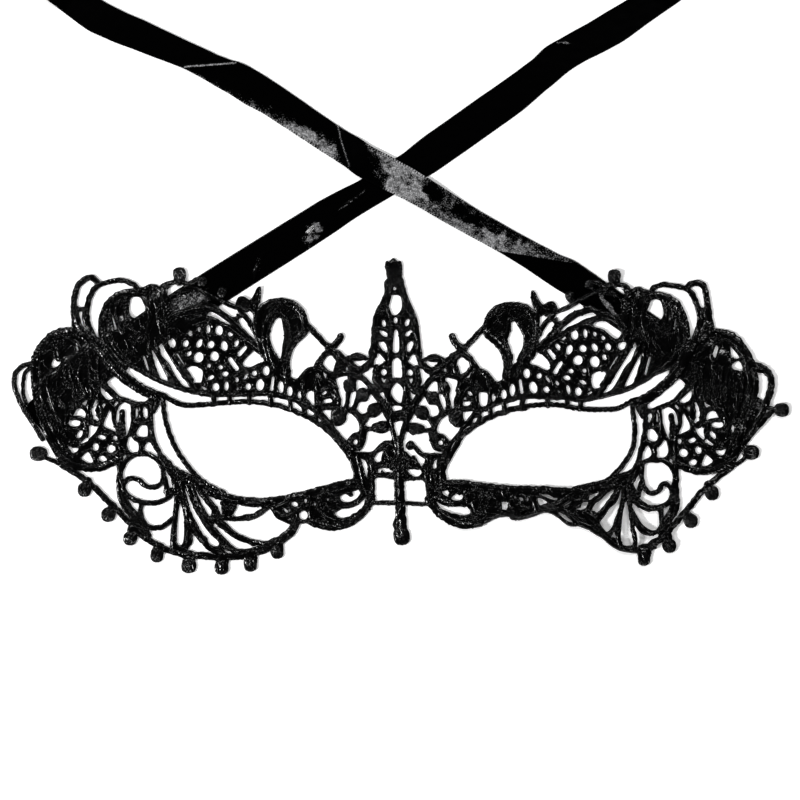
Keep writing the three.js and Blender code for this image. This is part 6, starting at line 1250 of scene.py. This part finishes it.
def lie(x, y):
    """Height of the lace's underside above the table, mm."""
    mx, my = chart_to_mm(x, y)
    h = 0.05 + 0.02 * (1.2 + np.clip(relief(x, y, 210, 5, 8), -1.2, 2))
    for cx, cy, size, rise in LIFTS:
        h = h + rise * np.exp(-((x - cx) ** 2 + (y - cy) ** 2) / size**2)
    for line in UNDER:
        near = (mx > line[:, 0].min() - 12) & (mx < line[:, 0].max() + 12)
        if near.any():
            d = distance_to_line(mx[near], my[near], line)
            h[near] = np.maximum(h[near], 0.50 * smooth((9.5 - d) / 3.6) + 0.05)
    near = (x > 440) & (x < 700) & (y > 430)
    if near.any():
        d = distance_to_line(x[near], y[near], FOLD_LINE[14:-8]) * UNIT
        low = smooth((x[near] - 630) / 12) * smooth((y[near] - 541) / 9)  # the loose scallop beyond the fold comes down again
        h[near] = h[near] + piecewise(x[near], FOLD_RISE) * smooth((24 - d) / 22) * (1 - 0.85 * low)
    return h


def lay(x, y, o, side):
    """Chart places x, y with height o (mm) above the lace's underside, as places in mm. side is 1 on the folded half."""
    x, y, o = np.asarray(x, float), np.asarray(y, float), np.asarray(o, float)
    mx, my = chart_to_mm(x, y)
    h = lie(x, y)
    out = np.stack([mx, my, h + o], 1)
    if side != 1:
        return out
    near = np.flatnonzero((x > 483) & (x < 637.5) & (y > 500) & (y - 0.045 * (x - 478) > 506))
    if not len(near):
        return out
    px, py = x[near], y[near]
    best = np.empty(len(near), int)
    for i in range(0, len(near), 4000):
        best[i : i + 4000] = ((px[i : i + 4000, None] - FOLD_LINE[:, 0]) ** 2 + (py[i : i + 4000, None] - FOLD_LINE[:, 1]) ** 2).argmin(1)
    q, t = FOLD_LINE[best], FOLD_TANGENT[best]
    n = np.stack([-t[:, 1], t[:, 0]], 1)  # towards larger y: out of the lace
    s = (px - q[:, 0]) * n[:, 0] + (py - q[:, 1]) * n[:, 1]
    r = piecewise(q[:, 0], FOLD_RADIUS) / UNIT
    s1 = s + r
    turn = s1 > 0
    near, q, n, s1, px, py, s, r = near[turn], q[turn], n[turn], s1[turn], px[turn], py[turn], s[turn], r[turn]
    theta = np.clip(s1 / r, 0, math.pi)
    along = (px - q[:, 0]) * -n[:, 1] + (py - q[:, 1]) * n[:, 0]
    beyond = np.maximum(s1 - math.pi * r, 0)
    reach = -r + r * np.sin(theta) - beyond * FLAP_SHARE
    height_here = lie(q[:, 0], q[:, 1])
    thick = np.where(beyond > 0, 0.62, 1 - 0.38 * theta / math.pi)
    oo = o[near] * thick
    z = height_here - r * UNIT * (1 - np.cos(theta)) + oo * np.cos(theta)
    reach = reach + oo * np.sin(theta) / UNIT * 0.8
    fx = q[:, 0] + n[:, 0] * reach + -n[:, 1] * along
    fy = q[:, 1] + n[:, 1] * reach + n[:, 0] * along
    gx, gy = chart_to_mm(fx, fy)
    low = np.minimum(beyond * UNIT / 12, 1) * 0.25
    out[near] = np.stack([gx, gy, np.maximum(z - low * (beyond > 0), 0.06)], 1)
    return out


# ---- areas of thread and their openings ----------------------------------------------------------------------
def inside(x, y, polygon):
    """Which points lie inside a closed outline."""
    out = np.zeros(len(x), bool)
    lo, hi = polygon.min(0), polygon.max(0)
    idx = np.flatnonzero((x >= lo[0]) & (x <= hi[0]) & (y >= lo[1]) & (y <= hi[1]))
    if not len(idx):
        return out
    a, b = polygon, np.roll(polygon, -1, 0)
    px, py = x[idx, None], y[idx, None]
    cross = (a[:, 1] > py) != (b[:, 1] > py)
    dy = b[:, 1] - a[:, 1]
    dy = np.where(dy == 0, 1e-12, dy)
    at = (b[:, 0] - a[:, 0]) * (py - a[:, 1]) / dy + a[:, 0]
    out[idx] = (np.count_nonzero(cross & (px < at), axis=1) % 2).astype(bool)
    return out


drawn, turned, middle, folded = Pen(False), Pen(True), Pen(False), Pen(False)
half_chart(drawn)
half_chart(turned)
middle_chart(middle)
folded_side_chart(folded)
PADS = drawn.pads + turned.pads + middle.pads
GAPS = drawn.gaps + turned.gaps + middle.gaps


def on_ground(x, y):
    x, y = np.asarray(x, float), np.asarray(y, float)
    here = []
    for pads, gaps in ((PADS, GAPS), (folded.pads, folded.gaps)):
        pad = np.zeros(len(x), bool)
        gap = np.zeros(len(x), bool)
        for p in pads:
            pad |= inside(x, y, p)
        for g in gaps:
            gap |= inside(x, y, g)
        here.append(pad & ~gap)
    return np.where(inside(x, y, FOLD_AREA), here[1], here[0])


rng = np.random.default_rng(29)
GROUND_LOW, GROUND_TOP = 0.06, 0.46


def make_ground():
    step = 3.4
    gx, gy = np.meshgrid(np.arange(20, 780, step), np.arange(255, 562, step * 0.87))
    gx = gx + (np.arange(gx.shape[0]) % 2)[:, None] * step / 2
    gx, gy = gx.ravel(), gy.ravel()
    gx = gx + rng.uniform(-0.4, 0.4, len(gx))
    gy = gy + rng.uniform(-0.4, 0.4, len(gy))
    keep = on_ground(gx, gy)
    gx, gy = gx[keep], gy[keep]
    rows = []
    for off in (-2.1, -1.0, 0.2, 1.4, 2.6, 3.8, 5.0):
        q = FOLD_LINE[6:-2:2]
        t = FOLD_TANGENT[6:-2:2]
        rows.append(q + np.stack([-t[:, 1], t[:, 0]], 1) * off)
    rows = np.concatenate(rows)
    rows = rows[on_ground(rows[:, 0], rows[:, 1])]
    far = np.ones(len(gx), bool)
    for i in range(0, len(rows), 500):
        part = rows[i : i + 500]
        far &= (((gx[:, None] - part[:, 0]) ** 2 + (gy[:, None] - part[:, 1]) ** 2).min(1)) > 2.6
    gx, gy = np.concatenate([gx[far], rows[:, 0]]), np.concatenate([gy[far], rows[:, 1]])
    points, edges = [], []
    for p in PADS + GAPS + folded.pads + folded.gaps + [FOLD_AREA]:
        o = len(points)
        points.extend(map(tuple, p))
        edges.extend((o + i, o + (i + 1) % len(p)) for i in range(len(p)))
    outline = np.array(points)
    # grid points too near an outline are left out
    cell = {}
    for a, b in outline:
        cell.setdefault((int(a // 2), int(b // 2)), []).append((a, b))
    for a, b in zip(gx, gy):
        i, j = int(a // 2), int(b // 2)
        if all((a - c) ** 2 + (b - d) ** 2 > 1.7 for u in (-1, 0, 1) for v in (-1, 0, 1) for c, d in cell.get((i + u, j + v), ())):
            points.append((a, b))
    verts, _, faces, _, _, _ = delaunay_2d_cdt([Vector(p) for p in points], edges, [], 0, 0.04, False)
    v = np.array([(p.x, p.y) for p in verts])
    f = np.array([list(t) for t in faces if len(t) == 3])
    c = v[f].mean(1)
    f = f[on_ground(c[:, 0], c[:, 1])]
    # thin slivers between nearly equal outlines don't matter once both sides are closed by walls
    area = 0.5 * ((v[f[:, 1], 0] - v[f[:, 0], 0]) * (v[f[:, 2], 1] - v[f[:, 0], 1]) - (v[f[:, 2], 0] - v[f[:, 0], 0]) * (v[f[:, 1], 1] - v[f[:, 0], 1]))
    f = np.where(area[:, None] > 0, f[:, ::-1], f)  # chart y points down: turned so that tops face up
    used = np.unique(f)
    remap = np.full(len(v), -1)
    remap[used] = np.arange(len(used))
    v, f = v[used], remap[f]
    n = len(v)
    e = np.concatenate([f[:, [0, 1]], f[:, [1, 2]], f[:, [2, 0]]])
    key = np.sort(e, 1)
    _, first, count = np.unique(key, axis=0, return_index=True, return_counts=True)
    border = e[first[count == 1]]
    x, y = v[:, 0], v[:, 1]
    top = GROUND_TOP + 0.05 * relief(x, y, 15, 21) + 0.035 * relief(x, y, 8, 22)
    side = np.ones(len(x), int)
    places = np.empty((2 * n, 3))
    for k, o in enumerate((top, np.full(n, GROUND_LOW))):
        part = np.empty((n, 3))
        for s in (0, 1):
            m = side == s
            part[m] = lay(x[m], y[m], o[m], s)
        places[k * n : (k + 1) * n] = part
    walls = np.stack([border[:, 1], border[:, 0], border[:, 0] + n, border[:, 1] + n], 1)
    uv = np.stack([x, y], 1) * UNIT
    obj = add_mesh("lace_ground", places, walls, np.concatenate([f, f[:, ::-1] + n]), np.vstack([uv, uv]), GROUND)
    tri = v[f]
    flat_area = 0.5 * float(np.abs((tri[:, 1, 0] - tri[:, 0, 0]) * (tri[:, 2, 1] - tri[:, 0, 1]) - (tri[:, 2, 0] - tri[:, 0, 0]) * (tri[:, 1, 1] - tri[:, 0, 1])).sum()) * UNIT**2
    print("GROUND", n, len(f), "area mm2", flat_area)
    return obj, flat_area


# ---- cords ---------------------------------------------------------------------------------------------------
class Bundle:
    """Swept threads gathered into one mesh."""

    def __init__(self):
        self.x, self.y, self.o, self.side, self.uv, self.quads, self.tris, self.count = [], [], [], [], [], [], [], 0

    def sweep(self, line, width, low, high, side, closed=False, lobes=1, sides=8, wobble=0.0, shape=1.0):
        """A thread along a chart line: width in chart units, from low to high above the lace's underside in mm."""
        n = len(line)
        if n < 2:
            return
        if closed:
            t = np.roll(line, -1, 0) - np.roll(line, 1, 0)
        else:
            t = np.gradient(line, axis=0)
        t = t / np.maximum(np.linalg.norm(t, axis=1), 1e-9)[:, None]
        w = np.broadcast_to(np.asarray(width, float), n).copy() / 2
        h = np.full(n, (high - low) / 2)
        if wobble:
            s = np.concatenate([[0], np.cumsum(np.linalg.norm(np.diff(line, axis=0), axis=1))])
            whole = s[-1] + (np.linalg.norm(line[0] - line[-1]) if closed else 0)
            ends = np.minimum(np.minimum(s, whole - s) / 4, 1)
            w = w * (1 + wobble * relief(s, s * 0, 5, int(rng.integers(1 << 30)), 5) * ends)
            h = h * (1 + 1.3 * wobble * relief(s, s * 0, 5.5, int(rng.integers(1 << 30)), 5) * ends)
            line = line + np.stack([-t[:, 1], t[:, 0]], 1) * (0.2 * relief(s, s * 0, 7.5, int(rng.integers(1 << 30)), 5) * ends)[:, None]
        mid = np.full(n, (high + low) / 2)
        if not closed:
            # rounded ends
            grow = np.array([0.35, 0.75, 0.94])
            reach = np.array([0.92, 0.62, 0.30])
            first = line[0] - t[0] * (w[0] * reach)[:, None]
            last = line[-1] + t[-1] * (w[-1] * reach[::-1])[:, None]
            line = np.vstack([first, line, last])
            t = np.vstack([np.repeat(t[:1], 3, 0), t, np.repeat(t[-1:], 3, 0)])
            h = np.concatenate([h[0] * (0.5 + 0.5 * grow), h, h[-1] * (0.5 + 0.5 * grow[::-1])])
            w = np.concatenate([w[0] * grow, w, w[-1] * grow[::-1]])
            mid = np.concatenate([mid[:1].repeat(3), mid, mid[-1:].repeat(3)])
            n = len(line)
        a = np.arange(sides) * TAU / sides + math.pi / 2
        u, v = np.cos(a), np.sin(a)
        u = np.sign(u) * np.abs(u) ** shape
        v = np.sign(v) * np.abs(v) ** shape
        if lobes > 1:
            v = np.where(v > 0, v * (0.80 + 0.20 * np.cos(u * math.pi * (lobes - 1) + (math.pi if lobes % 2 == 0 else 0))), v)
        normal = np.stack([-t[:, 1], t[:, 0]], 1)
        X = line[:, :1] + normal[:, :1] * (w[:, None] * u)
        Y = line[:, 1:] + normal[:, 1:] * (w[:, None] * u)
        O = mid[:, None] + h[:, None] * v
        s = np.concatenate([[0], np.cumsum(np.linalg.norm(np.diff(line, axis=0), axis=1))]) * UNIT + rng.uniform(0, 50)
        self.x.append(X.ravel())
        self.y.append(Y.ravel())
        self.o.append(O.ravel())
        self.side.append(np.full(X.size, side))
        self.uv.append(np.stack([np.repeat(s, sides), np.tile(np.arange(sides) / sides * 3.0, n)], 1))
        b = self.count
        rows = np.arange(n if closed else n - 1)
        i, j = np.meshgrid(rows, np.arange(sides), indexing="ij")
        i2 = (i + 1) % n
        j2 = (j + 1) % sides
        self.quads.append(b + np.stack([i * sides + j, i2 * sides + j, i2 * sides + j2, i * sides + j2], -1).reshape(-1, 4))
        if not closed:
            c = np.arange(1, sides - 1)
            self.tris.append(b + np.stack([c * 0, c, c + 1], 1))
            e = b + (n - 1) * sides
            self.tris.append(e + np.stack([c * 0, c + 1, c], 1))
        self.count += n * sides

    def make(self, name, material):
        x, y, o, side = (np.concatenate(a) for a in (self.x, self.y, self.o, self.side))
        places = np.empty((len(x), 3))
        for s in np.unique(side):
            m = side == s
            places[m] = lay(x[m], y[m], o[m], s)
        places[:, 2] = np.maximum(places[:, 2], 0.01)
        quads = np.concatenate(self.quads)
        tris = np.concatenate(self.tris) if self.tris else np.empty((0, 3), int)
        obj = add_mesh(name, places, quads, tris, np.concatenate(self.uv), material)
        print("BUNDLE", name, len(x), len(quads) * 2 + len(tris))
        return obj


def runs(mask):
    """Index runs of True."""
    out, start = [], None
    for i, m in enumerate(mask):
        if m and start is None:
            start = i
        if not m and start is not None:
            out.append((start, i))
            start = None
    if start is not None:
        out.append((start, len(mask)))
    return out


def cord_shape(w):
    """Sides, lobes and top height of a cord of that chart width."""
    if w >= 8.5:
        return 16, 4, 0.98
    if w >= 6.2:
        return 14, 3, 0.92
    if w >= 4.7:
        return 10, 2, 0.86
    return 8, 1, 0.80


def make_cords(pen, name, side):
    bundle = Bundle()
    for w, p, closed in pen.cords:
        line = catmull(p, closed, 1.5)
        sides, lobes, top = cord_shape(w)
        lift = rng.uniform(-0.03, 0.05)
        if pen is turned:
            out = ~inside(line[:, 0], line[:, 1], FOLD_CUT)
            if not out.all():
                if closed and out.any():
                    shift = int(np.argmin(out))
                    out, line = np.roll(out, -shift), np.roll(line, -shift, 0)
                for a, b in runs(out):
                    if b - a >= 3:
                        bundle.sweep(line[a:b], w + 0.5, 0.02 + max(lift, 0), top + lift, side, False, lobes, sides, 0.055)
                continue
        bundle.sweep(line, w + 0.5, 0.02 + max(lift, 0), top + lift, side, closed, lobes, sides, 0.055)
    return bundle.make(name, THREAD)


def make_rims():
    """A raised thread along every edge of the filled areas."""
    bundle = Bundle()
    lines = []
    for outline, outward in [(g, 1) for g in GAPS + folded.gaps] + [(p, -1) for p in PADS + folded.pads]:
        p = outline
        area = 0.5 * np.sum(p[:, 0] * np.roll(p[:, 1], -1) - np.roll(p[:, 0], -1) * p[:, 1])
        t = np.roll(p, -1, 0) - np.roll(p, 1, 0)
        t /= np.maximum(np.linalg.norm(t, axis=1), 1e-9)[:, None]
        n = np.stack([t[:, 1], -t[:, 0]], 1) * (1 if area > 0 else -1)  # out of the outline
        lines.append((p + n * outward * 0.75, p + n * outward * 1.5, p - n * outward * 1.0))
    test = np.concatenate([b for _, b, _ in lines])
    beyond = np.concatenate([c for _, _, c in lines])
    ok = on_ground(test[:, 0], test[:, 1]) & ~on_ground(beyond[:, 0], beyond[:, 1])
    at = 0
    for line, probe, _ in lines:
        good = ok[at : at + len(probe)]
        at += len(probe)
        side = 1
        if good.all():
            bundle.sweep(line, 1.9, 0.10, 0.66, side, True, 1, 6)
            continue
        if not good.any():
            continue
        shift = int(np.argmin(good))
        good, line = np.roll(good, -shift), np.roll(line, -shift, 0)
        for a, b in runs(good):
            if b - a >= 3:
                bundle.sweep(line[a:b], 1.9, 0.10, 0.66, side, False, 1, 6)
    return bundle.make("lace_rims", THREAD)


def make_veins(number):
    """Loose turns of thread lying on the filled areas, roughly along the nearest cord."""
    bundle = Bundle()
    samples, ways = [], []
    for pen in (drawn, turned, middle, folded):
        for w, p, closed in pen.cords:
            line = catmull(p, closed, 3.0)
            samples.append(line)
            t = np.gradient(line, axis=0)
            ways.append(t / np.maximum(np.linalg.norm(t, axis=1), 1e-9)[:, None])
    samples, ways = np.concatenate(samples), np.concatenate(ways)
    x, y = rng.uniform(20, 780, number * 12), rng.uniform(258, 560, number * 12)
    keep = np.flatnonzero(on_ground(x, y))[:number]
    count = 0
    lines = []
    for k in keep:
        p = np.array([x[k], y[k]])
        best = int(((samples - p) ** 2).sum(1).argmin())
        a = math.atan2(*ways[best][::-1]) + rng.normal(0, 0.35)
        if rng.random() < 0.18:
            a += rng.choice([-1, 1]) * 1.1
        steps = int(rng.integers(6, 13))
        curl = rng.normal(0, 0.10)
        pts = []
        for i in range(steps):
            pts.append(p.copy())
            p = p + 1.4 * np.array([math.cos(a), math.sin(a)])
            a += curl + rng.normal(0, 0.16)
        lines.append((np.array(pts), rng.uniform(1.7, 2.6), rng.uniform(0.62, 0.74)))
    probe = np.concatenate([l for l, _, _ in lines])
    ok = on_ground(probe[:, 0], probe[:, 1])
    at = 0
    for line, w, top in lines:
        good = ok[at : at + len(line)]
        at += len(line)
        side = 1
        for a, b in runs(good):
            if b - a >= 4:
                bundle.sweep(line[a:b], w, 0.30, top, side, False, 1, 6)
                count += 1
    return bundle.make("lace_veins", THREAD)


def make_picots():
    """Bobbles: a flattened knot whose strands run out from the edge, drawn out a little on the side of the cords it
    hangs from.
    """
    X, Y, O, S, UV, Q, T, count = [], [], [], [], [], [], [], 0
    across, rings = 28, 10
    for pen, side in ((drawn, 0), (turned, 1), (middle, 0), (folded, 1)):
        lines = [catmull(p, closed, 3.0) for _, p, closed in pen.cords]
        samples = np.concatenate(lines)
        for (cx, cy), rx, ry, deg in pen.beads:
            if pen is turned and inside(np.array([cx]), np.array([cy]), FOLD_AREA)[0]:
                continue
            d = samples - (cx, cy)
            near = d[(np.linalg.norm(d, axis=1) < 16)]
            way = -near.mean(0) if len(near) else np.array([0.0, 1.0])
            way /= max(np.linalg.norm(way), 1e-6)
            a0 = math.radians(deg)
            t = np.arange(across) * TAU / across
            b = count
            ring_r = np.sin(np.linspace(0, math.pi, 2 * rings + 1))[1:-1]
            ring_z = np.cos(np.linspace(0, math.pi, 2 * rings + 1))[1:-1]
            phase = rng.uniform(0, TAU)
            strands = 4
            rows = []
            for r, z in zip(ring_r, ring_z):
                u = 1.03 * rx * r**0.9 * np.sign(np.cos(t)) * np.abs(np.cos(t)) ** 0.84
                v = 1.03 * ry * r**0.9 * np.sign(np.sin(t)) * np.abs(np.sin(t)) ** 0.84
                px, py = u * math.cos(a0) - v * math.sin(a0), u * math.sin(a0) + v * math.cos(a0)
                inward = np.maximum(-(px * way[0] + py * way[1]) / max(rx, ry), 0) * 1.8
                px, py = px - way[0] * inward, py - way[1] * inward
                off = px * -way[1] + py * way[0]  # across the strands
                out = (px * way[0] + py * way[1]) / max(rx, ry)
                groove = 0.5 + 0.5 * np.cos(off / max(rx, ry) * math.pi * strands + phase + 0.5 * np.sin(out * 2.2))
                lump = 1 + 0.05 * relief(px + cx, py + cy, 5, 77)
                top = 1.15 if z > 0 else 0.50
                zz = 0.52 + z * top * 0.62 * (0.60 + 0.40 * groove) * lump
                edge = 1 - 0.05 * (1 - groove) * r
                rows.append((cx + px * edge, cy + py * edge, zz))
            top_pole, low_pole = (cx, cy, 0.52 + 1.15 * 0.60), (cx, cy, 0.52 - 0.5 * 0.6)
            xs = np.concatenate([r[0] for r in rows] + [[top_pole[0], low_pole[0]]])
            ys = np.concatenate([r[1] for r in rows] + [[top_pole[1], low_pole[1]]])
            zs = np.concatenate([r[2] for r in rows] + [[top_pole[2], low_pole[2]]])
            m = len(rows)
            X.append(xs)
            Y.append(ys)
            O.append(zs)
            S.append(np.full(len(xs), side))
            UV.append(np.stack([(xs * way[0] + ys * way[1]) * UNIT, (xs * -way[1] + ys * way[0]) * UNIT], 1))
            i, j = np.meshgrid(np.arange(m - 1), np.arange(across), indexing="ij")
            j2 = (j + 1) % across
            Q.append(b + np.stack([i * across + j, i * across + j2, (i + 1) * across + j2, (i + 1) * across + j], -1).reshape(-1, 4))
            j = np.arange(across)
            j2 = (j + 1) % across
            T.append(np.stack([b + m * across + j * 0, b + j2, b + j], 1))
            e = b + (m - 1) * across
            T.append(np.stack([b + m * across + 1 + j * 0, e + j, e + j2], 1))
            count += len(xs)
    x, y, o, s = (np.concatenate(a) for a in (X, Y, O, S))
    places = np.empty((len(x), 3))
    for k in (0, 1):
        places[s == k] = lay(x[s == k], y[s == k], o[s == k], k)
    places[:, 2] = np.maximum(places[:, 2], 0.01)
    return add_mesh("lace_picots", places, np.concatenate(Q), np.concatenate(T), np.concatenate(UV), PICOT)


ground, ground_area = make_ground()
lace_pieces = [make_cords(drawn, "lace_cords_right", 0), make_cords(turned, "lace_cords_left", 1), make_cords(middle, "lace_cords_middle", 0), make_cords(folded, "lace_cords_fold", 1), make_rims(), make_veins(1340), make_picots()]
for piece in [ground] + lace_pieces:
    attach(piece, "root")
    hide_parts("lace")

# ---- table and light -----------------------------------------------------------------------------------------
floor_material, nodes, links, bsdf = new_material("pale_table")
bsdf.inputs["Base Color"].default_value = (0.93, 0.93, 0.93, 1)
bsdf.inputs["Roughness"].default_value = 0.9
bsdf.inputs["Specular IOR Level"].default_value = 0.0
bsdf.inputs["Emission Color"].default_value = (1, 1, 1, 1)
bsdf.inputs["Emission Strength"].default_value = 0.25
floor_mesh = bpy.data.meshes.new("floor")
half_floor = 3.0
floor_mesh.from_pydata([(-half_floor, -half_floor, 0), (half_floor, -half_floor, 0), (half_floor, half_floor, 0), (-half_floor, half_floor, 0)], [], [(0, 1, 2, 3)])
floor_mesh.materials.append(floor_material)
floor = bpy.data.objects.new("floor", floor_mesh)
bpy.context.scene.collection.objects.link(floor)


def softbox(name, azimuth, elevation, distance, size, power, size_y=None):
    data = bpy.data.lights.new(name, "AREA")
    data.shape = "RECTANGLE"
    data.size = size
    data.size_y = size_y or size
    data.energy = power
    o = bpy.data.objects.new(name, data)
    a, e = math.radians(azimuth), math.radians(elevation)
    o.location = (distance * math.cos(e) * math.cos(a), distance * math.cos(e) * math.sin(a), distance * math.sin(e))
    o.rotation_euler = (Vector((0, 0.03, 0)) - Vector(o.location)).to_track_quat("-Z", "Y").to_euler()
    bpy.context.scene.collection.objects.link(o)
    return o


softbox("key", 196, 44, 1.6, 0.24, 19.5)
softbox("fill_up", 128, 53, 1.6, 0.3, 5.5)
softbox("fill_right", 55, 56, 1.6, 0.3, 5.5)
softbox("fill_low", 290, 46, 1.6, 0.3, 5.5)

world = bpy.data.worlds.new("world")
bpy.context.scene.world = world
world.use_nodes = True
world.node_tree.nodes["Background"].inputs["Color"].default_value = (1, 1, 1, 1)
world.node_tree.nodes["Background"].inputs["Strength"].default_value = 0.01

bpy.context.scene.view_settings.view_transform = "Standard"
bpy.context.scene.view_settings.look = "None"
bpy.context.scene.view_settings.gamma = 0.74
